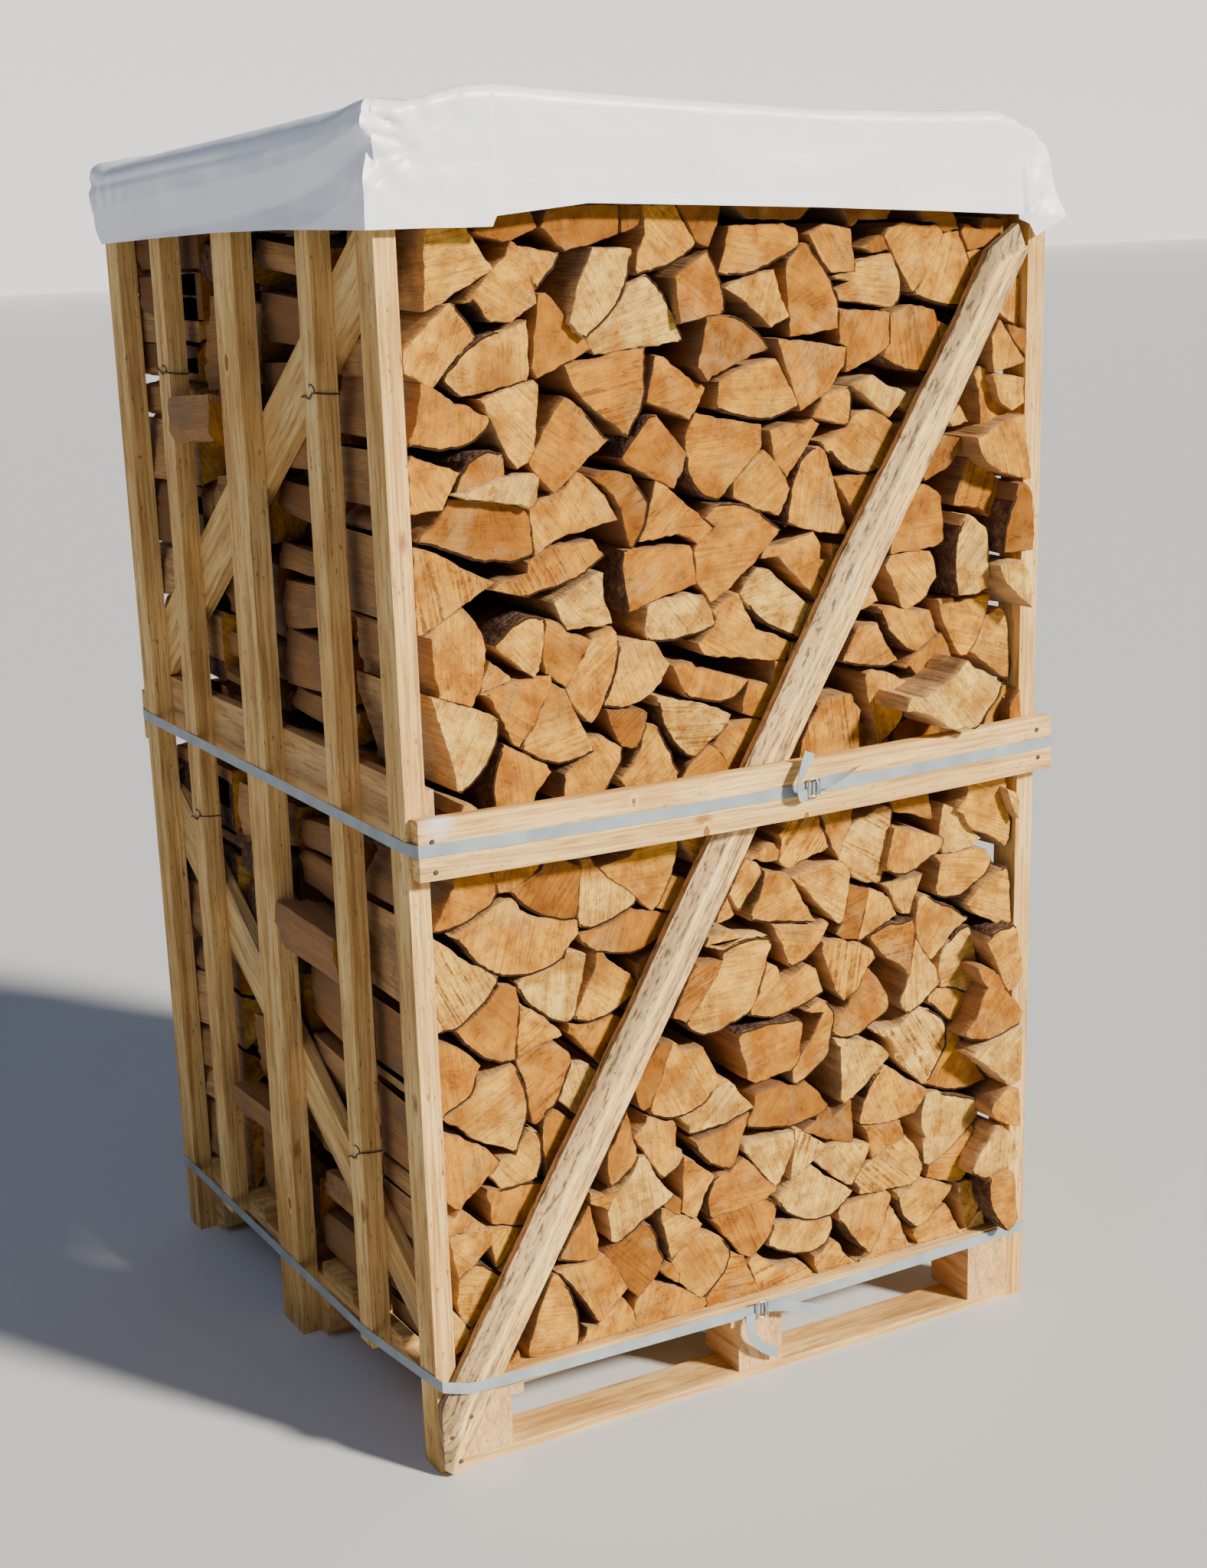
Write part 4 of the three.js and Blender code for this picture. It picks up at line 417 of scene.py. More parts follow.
# Beech bark: a thin hard skin that cracks into small plates as it dries, grey-brown over dark brown,
# with a green-grey bloom of algae on the logs that lay on the ground.
def beech_bark():
    made, tree, shader = material("beech_bark")
    run = node(tree, "UVMap", {}, uv_map="pith")
    seed, moss = own_looks(tree, "seed", "moss")
    here = moved_on(tree, run, seed)
    patch = node(tree, "TexNoise", {"Vector": here, "Scale": 50, "Detail": 6, "Roughness": 0.7})
    plates = node(tree, "TexVoronoi", {"Vector": here, "Scale": 140}, out="Distance")
    base = node(tree, "ValToRGB", {"Fac": patch}, stops=[
        (0.32, "#33211A"), (0.52, "#5E402A"), (0.72, "#8C775F"),
    ])
    base = overlaid(tree, base, plates, 0.35, 0.7, "#2E1E14", most=0.6)
    bloom = node(tree, "MapRange", {"Value": patch, "From Min": 0.4, "From Max": 0.62})
    bloom = node(tree, "Math", {0: bloom, 1: moss}, operation="MULTIPLY")
    base = node(tree, "Mix", {0: bloom, 6: base, 7: colour("#8F8A6E")}, out=2, data_type="RGBA")
    height = node(tree, "Math", {0: patch, 1: plates}, operation="SUBTRACT")
    normal = node(tree, "Bump", {"Height": height, "Distance": 2.4 * MM, "Strength": 0.9})
    feed(tree, shader, {"Base Color": base, "Roughness": 0.9, "IOR": 1.45, "Normal": normal})
    return made


BEECH = [beech_end(), beech_split(), beech_bark()]


# Polyester strap, woven in a close twill: cool grey with a slight sheen. Its threads are about 1 mm
# apart and drawn 4 mm apart, so that they show.
def woven_strap():
    made, tree, shader = material("woven_polyester_strap")
    coords = node(tree, "TexCoord", {}, out="Object")
    threading = {"Vector": coords, "Scale": 160, "Distortion": 0.4}
    weave = node(tree, "TexWave", threading, bands_direction="DIAGONAL")
    cloud = node(tree, "TexNoise", {"Vector": coords, "Scale": 24, "Detail": 4})
    base = node(tree, "ValToRGB", {"Fac": cloud}, stops=[(0.3, "#A3AEB1"), (0.7, "#87929A")])
    base = overlaid(tree, base, weave, 0.3, 1, "#66707A", most=0.35)
    normal = node(tree, "Bump", {"Height": weave, "Distance": 0.3 * MM, "Strength": 0.6})
    feed(tree, shader, {
        "Base Color": base, "Roughness": 0.55, "IOR": 1.5, "Sheen Weight": 0.2, "Normal": normal,
    })
    return made


# Galvanised wire: drawn steel dipped in zinc, bright grey with dull spots.
def galvanised_wire():
    made, tree, shader = material("galvanised_wire")
    coords = node(tree, "TexCoord", {}, out="Object")
    cloud = node(tree, "TexNoise", {"Vector": coords, "Scale": 300, "Detail": 3})
    base = node(tree, "ValToRGB", {"Fac": cloud}, stops=[(0.3, "#D3D6DA"), (0.7, "#9A9EA3")])
    dull = node(tree, "MapRange", {
        "Value": cloud, "From Min": 0.3, "From Max": 0.7, "To Min": 0.28, "To Max": 0.5,
    })
    feed(tree, shader, {"Base Color": base, "Metallic": 1.0, "Roughness": dull})
    return made


# Rusty iron: nails and tie wires that stood outdoors, dark grey-brown and matt with a grainy skin.
def rusty_iron():
    made, tree, shader = material("rusty_iron")
    coords = node(tree, "TexCoord", {}, out="Object")
    cloud = node(tree, "TexNoise", {"Vector": coords, "Scale": 500, "Detail": 4})
    base = node(tree, "ValToRGB", {"Fac": cloud}, stops=[(0.3, "#2F2520"), (0.7, "#6A5A50")])
    normal = node(tree, "Bump", {"Height": cloud, "Distance": 0.2 * MM, "Strength": 0.6})
    feed(tree, shader, {"Base Color": base, "Metallic": 0.35, "Roughness": 0.75, "Normal": normal})
    return made


# Polyethylene foil, blown and heat-sealed: white, smooth and slightly glossy, with soft creases from
# the roll and finer ones where it was pulled over the corners.
def foil():
    made, tree, shader = material("polyethylene_foil")
    coords = node(tree, "TexCoord", {}, out="Object")
    draped = node(tree, "Mapping", {"Vector": coords, "Scale": (0.5, 0.5, 1)})
    creases = node(tree, "TexNoise", {
        "Vector": draped, "Scale": 11, "Detail": 5, "Roughness": 0.5, "Distortion": 0.8,
    })
    fine = node(tree, "TexNoise", {"Vector": coords, "Scale": 90, "Detail": 3})
    base = node(tree, "ValToRGB", {"Fac": creases}, stops=[(0.3, "#F6F9FF"), (0.7, "#E8EDF8")])
    height = node(tree, "Math", {0: fine, 1: 0.1, 2: creases}, operation="MULTIPLY_ADD")
    normal = node(tree, "Bump", {"Height": height, "Distance": 5 * MM, "Strength": 0.45})
    feed(tree, shader, {"Base Color": base, "Roughness": 0.36, "IOR": 1.5, "Normal": normal})
    return made


STRAP = woven_strap()
WIRE = galvanised_wire()
RUST = rusty_iron()
FOIL = foil()


# Solids of the frame that stay: each takes the finish that its grain needs
def finish_solids():
    kinds = [
        (("post_", "slat_"), PINE_UPRIGHT),
        (("block_", "stringer_", "side_board_"), PINE_DEEP),
        (("bottom_board_", "deck_board_"), PINE_LEVEL),
        (("diagonal_upper_",), PINE_RISING),
        (("diagonal_lower_",), PINE_STAINED),
        (("strap_",), STRAP),
    ]
    for name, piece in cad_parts.items():
        for starts, finish in kinds:
            if name.startswith(starts):
                piece.data.materials.clear()
                piece.data.materials.append(finish)


finish_solids()


# Helpers for pieces that are made here. Edges that turn by more than these degrees stay sharp in
# the shading.
LOG_SMOOTH = 38
BOARD_SMOOTH = 35
FOIL_SMOOTH = 50


def choose(piece):
    """Makes a piece the only one that is selected."""
    bpy.ops.object.select_all(action="DESELECT")
    piece.select_set(True)
    bpy.context.view_layer.objects.active = piece


def turn_half(piece):
    """The back of the crate is the front turned half round."""
    middle = place(POST_SPAN / 2, CRATE_DEPTH / 2, 0)
    turn = Matrix.Translation(middle) @ Matrix.Rotation(math.pi, 4, "Z") @ Matrix.Translation(-middle)
    piece.data.transform(turn)


def rounded(before, a, b, after, t):
    """A point between a and b on the smooth curve through all four."""
    bend = (2 * a) + (b - before) * t + (2 * before - 5 * a + 4 * b - after) * t * t
    return 0.5 * (bend + (3 * a - before - 3 * b + after) * t ** 3)


def finished(piece, finishes, slot, *replaced):
    """Gives a piece its finishes and its body, and hides the solids that it stands for; slot is not used."""
    for finish in finishes:
        piece.data.materials.append(finish)
    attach(piece, "root")
    if replaced:
        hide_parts(*replaced)


def smoothed(piece, angle):
    """Smooth shading, with sharp edges where faces meet at more than the angle in degrees."""
    choose(piece)
    bpy.ops.object.shade_smooth_by_angle(angle=math.radians(angle))


def from_mesh(name, vertices, faces):
    """A new piece from points in the frame's metres and faces, selected."""
    mesh = bpy.data.meshes.new(name)
    mesh.from_pydata(vertices, [], faces)
    piece = bpy.data.objects.new(name, mesh)
    bpy.context.scene.collection.objects.link(piece)
    choose(piece)
    return piece


def wall_faces(rings, count):
    """The faces between closed rings that follow each other, with count points each."""
    faces = []
    for first in range(0, (rings - 1) * count, count):
        for i in range(count):
            j = (i + 1) % count
            faces.append([first + i, first + j, first + count + j, first + count + i])
    return faces


def set_outwards():
    """Turns all faces of the piece in edit mode outwards and ends its edit mode."""
    bpy.ops.mesh.select_all(action="SELECT")
    bpy.ops.mesh.normals_make_consistent(inside=False)
    bpy.ops.object.mode_set(mode="OBJECT")


def add_plane(name, middle, turn, size):
    """A flat primitive with its place in its mesh, left in edit mode with all of it selected."""
    bpy.ops.object.select_all(action="DESELECT")
    bpy.ops.mesh.primitive_plane_add(size=MM, location=middle, rotation=turn)
    bpy.ops.transform.resize(value=size, center_override=middle)
    bpy.ops.object.transform_apply(location=True, rotation=True, scale=True)
    piece = bpy.context.object
    piece.name = name
    bpy.ops.object.mode_set(mode="EDIT")
    bpy.ops.mesh.select_all(action="SELECT")
    return piece


def pull(offset):
    """Extrudes what is selected by an offset in metres."""
    bpy.ops.mesh.extrude_region_move(TRANSFORM_OT_translate={"value": offset})


def curved(spots, parts):
    """More points on the smooth curve through the spots."""
    spots = [Vector(spot) for spot in spots]
    line = [2 * spots[0] - spots[1]] + spots + [2 * spots[-1] - spots[-2]]
    smooth = []
    for before, a, b, after in zip(line, line[1:], line[2:], line[3:]):
        smooth += [rounded(before, a, b, after, k / parts) for k in range(parts)]
    return smooth + [spots[-1]]


# Points of a wire nearer than this become one
WELD = 0.2


def wire(name, spots, radius, closed, finish, *replaced):
    """A bent wire: a point drawn out along the spots, then given its thickness."""
    piece = add_plane(name, place(*spots[0]), (0, 0, 0), (1, 1, 1))
    bpy.ops.mesh.merge(type="CENTER")
    for a, b in zip(spots, spots[1:]):
        pull(place(*b) - place(*a))
    if closed:
        pull(place(*spots[0]) - place(*spots[-1]))
        bpy.ops.mesh.select_all(action="SELECT")
        bpy.ops.mesh.remove_doubles(threshold=WELD * MM)
    bpy.ops.object.mode_set(mode="OBJECT")
    bpy.ops.object.convert(target="CURVE")
    piece = bpy.context.object
    piece.data.bevel_depth = radius * MM
    piece.data.bevel_resolution = 2
    piece.data.use_fill_caps = not closed
    bpy.ops.object.convert(target="MESH")
    piece = bpy.context.object
    bpy.ops.object.shade_smooth()
    finished(piece, [finish], "steel", *replaced)


def from_rings(name, rings):
    """A solid from rings of points in crate millimetres, for forms that follow a traced outline."""
    count = len(rings[0])
    faces = wall_faces(len(rings), count)
    faces.append(list(range(count))[::-1])
    faces.append([(len(rings) - 1) * count + i for i in range(count)])
    piece = from_mesh(name, [place(*p) for ring in rings for p in ring], faces)
    bpy.ops.object.mode_set(mode="EDIT")
    set_outwards()
    smoothed(piece, BOARD_SMOOTH)
    return piece


# Ends of the logs of the front row, from the top down. Each log starts with its look: t and a tone
# from 0 (pale) to 3 (dark) or 4 (mossy bark), s saw scored, h dark heart, +n standing n mm forward.
# Ends that lie in shade, under the hood and in deep gaps, take tone 3 as painted shade.
# Then x,z corners in millimetres, as they appear on the plane y = 15; b to e is a run of bark.
# A log with many corners runs on over the next line.
LOG_ENDS = """
t1 68,1524 78,1527 162,1570 142,1598 131,1613 125,1640 73,1640 71,1598 70,1570
t1 187,1602 197,1595 212,1560 219,1527 190,1511 184,1506 150,1509b 133,1533e 121,1531 163,1571 180,1585
t1 194,1595 253,1585b 248,1573 220,1543e 212,1558
t0+12 299,1590 355,1586 353,1575b 350,1555 335,1524 317,1504 287,1481e 264,1502 279,1551
t1 102,1533 109,1531b 137,1491e 109,1471 98,1460 75,1435 37,1455 37,1480 70,1510
t1h 205,1508 207,1451 203,1436 127,1423 107,1423b 87,1443 105,1463 125,1481 142,1491 160,1497e 180,1499
t2 222,1538 232,1539 240,1533 265,1501 286,1480 294,1469 217,1437 209,1451 213,1480
t2 58,1442 75,1435 96,1421 103,1413 116,1413 151,1393b 140,1377 118,1364 87,1360 60,1364 37,1368e
50,1395
t1 137,1417 176,1429 213,1436 219,1430 215,1392 210,1352 199,1337 183,1330 166,1355 150,1392
t2 199,1337 210,1355 240,1399 255,1413 268,1405 286,1388b 301,1371 317,1356e 286,1337 270,1323 262,1317
234,1296 207,1323
t2s 256,1451 299,1455 330,1464 372,1467b 371,1440 366,1399 357,1380 342,1357e 329,1368 299,1390 279,1408
265,1426
t0 347,1542 374,1555b 393,1536 405,1520 417,1500 426,1472e 376,1467 330,1464 299,1461 288,1480 317,1503
336,1524
t3 138,1613 160,1640 212,1640 224,1616 190,1602 176,1600
t3 228,1616 240,1640 337,1640 336,1604 298,1593 262,1586 247,1598
t3 340,1640 376,1637 366,1615 352,1608 341,1606
t1 372,1638 419,1636 449,1591 443,1581b 405,1562 376,1557 359,1554e 362,1580 374,1603
t3 421,1640 487,1640 482,1612 468,1584 452,1589
t2+15 418,1549 442,1566 467,1581b 480,1553 489,1529 490,1504e 424,1492
t2 498,1608 580,1610 600,1603 604,1589 601,1577b 582,1567 550,1556 528,1549 501,1548e 481,1553 488,1571
t3 505,1634 630,1632 605,1614 580,1613 530,1617
t1 491,1533 506,1541 541,1548 566,1553 577,1515 589,1493 561,1480 524,1513
t2 608,1585 622,1580b 646,1549 657,1531 667,1506e 666,1474 591,1467 591,1489 584,1542 586,1562 601,1577
t3+15 463,1499 499,1499b 519,1492 535,1480 550,1466 557,1453e 530,1448 501,1436 470,1425 464,1418
448,1437 454,1456
t2 386,1455 399,1453 430,1428 458,1411 450,1394 434,1372 401,1388 372,1399 378,1425
t1 479,1417 510,1431 546,1439 568,1441 582,1419 600,1390 604,1377b 568,1366 537,1365 501,1373 474,1383e
t2 570,1466 640,1457 680,1449 676,1425 667,1416 657,1400 642,1388 606,1371 602,1382 591,1408
t2 667,1500 750,1490 749,1449 737,1440 690,1420 678,1417 680,1449 668,1455
t2 620,1595 644,1607 687,1599 693,1556 692,1545 656,1545 646,1555 633,1571
t1 657,1541 693,1545 694,1556 710,1561 750,1566 759,1553b 766,1538 768,1520 764,1503e 750,1497 668,1510
663,1523 685,1533
t3 672,1628 752,1622 745,1610 700,1612 688,1602
t1h 739,1588 748,1599 764,1604 777,1604 800,1600 824,1601 836,1592 837,1587 824,1560 817,1549 802,1527
787,1515 759,1556
t3 700,1575 732,1590 740,1587 748,1571 720,1567
t1 838,1588 863,1591 878,1558 890,1521 900,1512 896,1500b 878,1494 855,1493 826,1498 804,1505 790,1511e
802,1527 818,1552
t1 878,1563 925,1568 955,1560 950,1530 915,1505 900,1512 890,1521
t3 866,1590 872,1600 935,1583 925,1569 878,1565
t3 790,1640 850,1640 852,1618 863,1593 838,1590 826,1602 805,1606
t2s 757,1492 786,1499 824,1490 830,1475 836,1440 840,1412b 813,1408 782,1412 748,1425 736,1434e 750,1450
750,1488
t1 830,1475 849,1467 865,1466 890,1450 880,1420 850,1405 838,1417
t1 969,1527 969,1460 940,1476 905,1500 930,1530
t1 937,1472 948,1457 958,1444 981,1416 980,1412 947,1405 928,1401 923,1422 922,1450
t3 950,1465 969,1459 982,1456 982,1420 958,1446
t1 902,1412 922,1405 925,1398 936,1363 950,1348 957,1340 935,1332 915,1325 905,1325 903,1350 901,1380
893,1400
t1 925,1398 937,1399 981,1391 982,1357 960,1347 945,1356 937,1363
t0 689,1399 703,1405 722,1411 744,1397 779,1384 766,1367 751,1353 726,1370
t1 766,1368 790,1388 816,1389 835,1375 825,1350 793,1352
t1 637,1330 660,1337 680,1345 688,1359 704,1366 719,1365 744,1354 757,1344 760,1306 755,1291b 726,1282
703,1282 683,1288 668,1299 655,1313e 645,1318
t1 624,1362 642,1388 653,1392 683,1398b 689,1385 688,1365 684,1347e 653,1355
t2 557,1350 588,1357 613,1354 624,1361 636,1353 620,1331 604,1311 584,1287 563,1313
t2 443,1381 457,1377 488,1370 524,1362 543,1359 544,1335 539,1325 527,1315 512,1300 477,1266b 461,1270
441,1286 431,1303 429,1320e 427,1339 430,1358
t2 330,1332b 345,1352 362,1370 378,1383e 386,1382 399,1366 414,1350 431,1329 426,1316 410,1287 382,1300
345,1320
t1 868,1362 884,1338 858,1333 845,1345
t1 42,1358 60,1349 80,1342 92,1339 106,1332 102,1327 89,1306 80,1289 36,1288 36,1350
t2 166,1352b 145,1356 127,1350 113,1339 102,1325 97,1307e 118,1311 154,1317 165,1321
t0+15 100,1304 165,1320 208,1323 215,1317 210,1290 199,1281 188,1286 154,1292 120,1298
t3 89,1301 120,1298 154,1292 185,1285 198,1270 200,1255 201,1223b 181,1217 154,1218 127,1222 105,1229
80,1240 42,1254e 63,1269 80,1288
t1 268,1320 280,1313 301,1293 311,1280 325,1255 288,1249 254,1244 232,1237 203,1221 201,1245 199,1279
212,1288 234,1294 250,1301
t2s 193,1214 218,1226 243,1231 288,1234 297,1219 305,1211b 270,1190 243,1181 216,1176 191,1170e 163,1178
142,1185 151,1192 176,1196 192,1201
t1s 36,1248 62,1240 82,1230 100,1217 131,1201 147,1193 100,1169 73,1154 40,1139 36,1140
t0 228,1160 250,1170 291,1191 302,1190 301,1161 306,1145 313,1124 246,1122 234,1145
t1 45,1137 73,1153 100,1168 109,1158 120,1141 127,1127 130,1111 129,1098 125,1078 118,1058 107,1041
62,1058 57,1095 55,1134
t1 140,1115b 154,1126 172,1139 196,1146 216,1141e 214,1120 210,1100 204,1076 196,1067 176,1083 158,1098
t1 134,1097 145,1088 165,1069 132,1060 119,1057 126,1080
t2 216,1139 228,1137 241,1128 246,1120 266,1114 280,1106 272,1092 257,1071 241,1049 221,1066 212,1071
209,1090 213,1120
t1 280,1106 312,1120 319,1111 320,1089 315,1067 308,1047 293,1018 285,1005 277,998 272,1000 261,1012
251,1025 241,1047 257,1071 272,1092
t0+12 51,1061 106,1040 131,1030 144,1020b 143,1000 136,983 129,971 120,959 109,948 98,939 87,933e 81,936
76,967 68,996 61,1025 55,1045
t2 118,1056 132,1060 165,1067 196,1067 220,1068 221,1056 210,1036 204,1025 196,1008 181,991 172,980
166,983 152,1007 145,1025 132,1049
t1h 222,1058 241,1047 250,1023 259,1005 268,988 273,976 279,960b 265,955 239,951 221,952 210,956 198,960
190,966 181,971 174,978e 181,991 196,1008 204,1025 210,1036
t1 321,1101 350,1099 376,1092 387,1074 398,1061 385,1038 367,1024 345,1015 317,1012b 295,1017 301,1031
308,1047 315,1067 320,1089e
t3s 290,1311 302,1318 325,1316 346,1310 356,1295b 367,1279 369,1261 365,1243 354,1226 343,1214e 337,1232
330,1268 319,1286 308,1297
t2 390,1214 412,1214 432,1212 437,1205 440,1179 442,1161 423,1156 370,1145 335,1134b 331,1161 327,1190
331,1216e
t2 381,1300 392,1295 410,1281 423,1270 439,1257 450,1246 468,1231 464,1226 443,1213 432,1222 416,1228
390,1226 355,1224 366,1246 370,1262 375,1278
t2 500,1289 517,1303 535,1320 547,1326 562,1312 582,1287 588,1272 583,1257 571,1238 541,1248 517,1259
499,1268
t1 637,1323 645,1317 653,1295 658,1281 667,1250 676,1223 680,1203 629,1212 582,1227b 583,1241 588,1265
593,1283 602,1301 613,1315 626,1323e
t2 477,1262b 506,1260 535,1249 555,1234 574,1219e 552,1199 539,1189 531,1178 510,1165 488,1147 462,1134
452,1149 442,1161 440,1179 437,1204 443,1213 466,1227 470,1233 455,1245
t0 507,1141 535,1173 555,1168 580,1145 617,1115 616,1107 604,1087 601,1069b 568,1085 541,1101 524,1118e
t1 552,1199 580,1200 602,1206 626,1212 632,1203 638,1191 636,1172 633,1152 650,1131 648,1118 636,1114
568,1184 542,1184
t1 655,1193 668,1190 681,1182 672,1165 655,1140 651,1131 634,1153 636,1172 656,1172
t0 366,1139 370,1143 390,1146 430,1150 450,1146 463,1123 467,1107 463,1101b 441,1095 398,1091 367,1094e
361,1103
t1 463,1123 501,1143 506,1141 515,1120 524,1107 533,1091 568,1078 589,1067 588,1056 580,1042 559,1045
535,1050 457,1064 450,1066 440,1083 466,1103 470,1112
t1 617,1115 636,1114 650,1125 645,1105 625,1080 610,1068 602,1070 604,1087 616,1107
t1 590,1066 604,1064 619,1070 612,1050 593,1030 587,1045
t2 401,1058 431,1059 439,1049 479,1038 519,1024 517,1018b 510,1011 501,1004 490,1000 466,1000 450,1004
434,1009 423,1013e 418,1020 412,1031
t1 562,1045 580,1042 586,1028 582,1012 568,989 559,980 554,966 537,969 519,975 509,979 510,991 512,1000
517,1014 520,1023 532,1018 555,1013 560,1020
t1 757,1344 788,1346 800,1330 785,1305 765,1309 759,1326
t2 657,1282 701,1280 750,1278 765,1270 740,1225 706,1212 692,1232 672,1262
t3 830,1325 846,1323 877,1315 872,1300 862,1290 848,1277 811,1263 800,1275 810,1300
t2s 893,1298 907,1290 918,1277 927,1266 949,1246 967,1230 960,1219 931,1199 916,1210 900,1219 878,1223
861,1226 866,1243 878,1268 885,1285
t1+20 900,1315 916,1319 922,1326 949,1334 983,1341 985,1313 992,1286 998,1252 989,1250 960,1259 938,1268
922,1276 911,1288 902,1306
t3+42 974,1246 985,1247 995,1238 1001,1225 1004,1200 1004,1150 950,1150b 952,1180 958,1201 967,1223e
t0+20 882,1211 893,1208 907,1197 918,1190 922,1178 925,1134 926,1105 909,1099 869,1098b 864,1120
863,1150 866,1178 873,1197e
t2 806,1260 811,1259 826,1251 840,1239 841,1223 844,1201 845,1178 826,1171 752,1169 755,1190 780,1225
790,1245
t1 744,1154 753,1167 795,1169 822,1166 827,1158 831,1145 833,1129 826,1122 815,1105 804,1098 784,1090
771,1094 766,1107 755,1134
t1 690,1120 715,1135 727,1120 733,1107 718,1101 700,1097
t1 730,1100 753,1098 770,1092 786,1089 822,1084 826,1073 831,1060 837,1051 826,1044 808,1033 795,1027b
781,1033 766,1047 752,1060 746,1071 737,1089e
t1 701,1076 731,1077 735,1067 746,1047 759,1029 768,1018b 744,1013 721,1016 681,1026e 674,1030 683,1047
t1 835,1098 862,1097 865,1090 891,1092 911,1096 927,1097 920,1069 911,1047 902,1029 888,1013 878,1013
864,1029 855,1047 846,1062 839,1079
t2h 842,1050 855,1030 860,1016 866,1000 872,992 862,984b 849,983 835,983 815,984 804,988 795,996
786,1007e 775,1010 780,1014 793,1025 808,1032 826,1043
t1h 920,1067 947,1075 954,1067 960,1049 962,1033 963,1018 966,1000b 967,987 966,978 962,969e 949,975
938,984 927,991 916,1000 902,1012 893,1017 902,1029 911,1047
t0+42 944,1134 958,1139 988,1137 1000,1110 1005,1067 983,1083 967,1098 953,1112 947,1125
t2 150,987 163,980 181,970 196,960 210,953 216,942 206,931 193,918 186,900 132,900b 130,927 132,942
136,958 143,974e
t1 235,936 243,942 266,953 279,960 272,978 295,978 319,961 323,958b 321,940 310,924 301,911 290,900e
232,900
t1 84,900 89,918 100,917 107,911 112,900
t2 74,838 117,838 125,817 129,802 131,793b 125,782 109,773 94,765 76,759 60,756 47,755 34,758e 49,777
62,802 69,813
t2 120,838 194,838 194,823 186,813 176,807 165,802 154,795 148,792 133,793 130,804 125,817
t3s 165,802 176,807 196,815 205,828 229,823 252,811 254,804 251,784 250,768 248,755 244,739b 228,739
214,744 199,749 185,757 174,765 163,775 154,786e 150,793
t0 257,818 270,818 277,805 281,803 290,793 301,783 312,774 324,765 339,750b 328,739 317,735 301,728
288,725 272,722 260,723 251,726e 248,737 249,755 251,779 254,802
t1 281,803 304,808 328,811 345,824 404,824 404,809 399,790 393,773 386,761 380,750 374,739 362,728
354,734 345,742 339,750 324,765 312,774 301,783 290,793
t1 59,749 68,748 76,753 94,761 109,768 125,778 141,784 152,783 158,777 163,765 176,756 190,750 210,746
230,739 248,737 248,717 241,711 229,698b 226,692 210,682 190,677 176,675 160,676 138,680 127,684 116,690
105,698 94,706 87,716 76,732 68,744e
t0s 34,746 42,745 53,737 71,719 87,706 98,702 114,689 127,681b 126,672 118,662 107,650 91,639 76,628
62,621 44,621e 36,622
t2 248,717 260,719 277,719 295,723 310,730 326,736 350,732 362,728 385,722 405,720 392,702 380,685
372,687b 358,681 345,677 319,676 301,679 286,684 268,690 257,699e 250,708
t2 386,761 393,772 403,769 412,768 416,761 422,758 418,745 410,728 405,722 385,724 368,732 374,739
380,750
t1s 405,824 485,824 468,806 461,795 450,784 441,777 434,782 425,790 419,802
t1 512,777 530,779 548,790 559,790 568,779 565,766 555,765 539,767 530,773
t1s 566,802 577,809 580,824 631,824 637,805b 644,793 648,779 650,768e 637,765 620,763 606,759 593,754
582,750 570,757 565,765 568,779 570,793
t2 636,824 690,824 687,795 681,784 672,768 667,748 662,757 653,775 644,799
t0s 699,802 712,804 732,813 746,815 755,812 760,802b 759,782 756,764 750,744 746,726 741,712 737,703e
726,707 715,707 701,713 691,719 686,726 684,732 672,745 667,748 672,768 681,784 687,795
t2 757,824 822,824 824,809 828,797 830,784 826,782 800,793 777,799 760,804
t1+12 762,780 791,770 808,767 826,760 841,755 850,750 849,741 846,737 835,726b 824,723 813,718 804,712
791,709 777,708 766,710 755,715 745,719e 750,735 756,755
t0 850,802 860,797 871,788 885,780 893,764 904,751 918,740 900,730 880,727 862,727 849,728 846,737
850,750 841,757 845,780
t1 871,788 882,799 891,808 892,824 962,824 965,804b 968,793 970,779 974,761 975,750 973,737 970,726
967,720e 962,720 949,730 929,744 916,749 902,755 893,764 885,780
t0 965,806 981,799 988,788 989,757 980,768 971,788
t1s 612,942 622,958 629,968 633,975 646,982 672,984 688,983 692,971 705,958 702,936 703,900 600,900
604,928
t1h 712,1008 726,1012 737,1008 755,1003 766,997 779,991 788,985 795,977b 792,965 787,956 779,945 773,931
767,924 759,918 748,910 735,900e 731,900 728,927 724,945 718,965 713,980 711,996
t0+74 791,964 815,960 826,965 840,971 851,975 862,983 872,988 878,996 889,1005 893,1003 904,991 927,981
938,975 954,964b 951,956 945,942 933,931 922,918 916,910 904,903e 890,907 871,907 862,909 849,918
835,927 826,932 815,938 802,942 782,945 784,953
t2 954,960 960,960 962,938 965,927 966,918 969,905 916,905 922,918 933,931 945,942 951,956
t2 966,926 975,940 985,950 988,905 968,905
t0s 376,1020 390,1018 414,1008 432,1006 450,1000 463,993 479,987 492,980 487,970 477,960 466,953 452,945
441,936 433,929b 423,932 414,940 403,951 394,965 387,976 382,989 378,1007e
t1 488,969 501,968 510,970 521,970 535,968 543,966b 544,951 539,940 530,924 521,913 512,900e 489,900
479,924 467,938 461,943 470,953 479,961
t2 457,944 467,938 479,924 489,905 489,900 408,900 422,920 434,929 445,937
t1 359,987 370,984 378,977b 384,965 392,949 399,936 403,924 410,913e 400,900 330,900 316,917 333,931
343,945 350,955 352,967 358,980
t3s 299,1013 321,1009 345,1007 356,1005 362,1000 359,987 358,980 352,967 345,956 336,955 322,960 315,969
308,985 302,1000
t1 542,754 550,753 564,747 580,744 585,737 595,721 608,695 617,681 627,667 618,665b 604,668 582,673
555,677 535,681 518,686e 519,695 531,712 540,735
t1 512,777 530,768 538,759b 539,750 530,739 521,728 510,715 501,703e 493,712 486,726 483,730 495,752
t1s 481,728 488,708 492,700 477,694 461,694
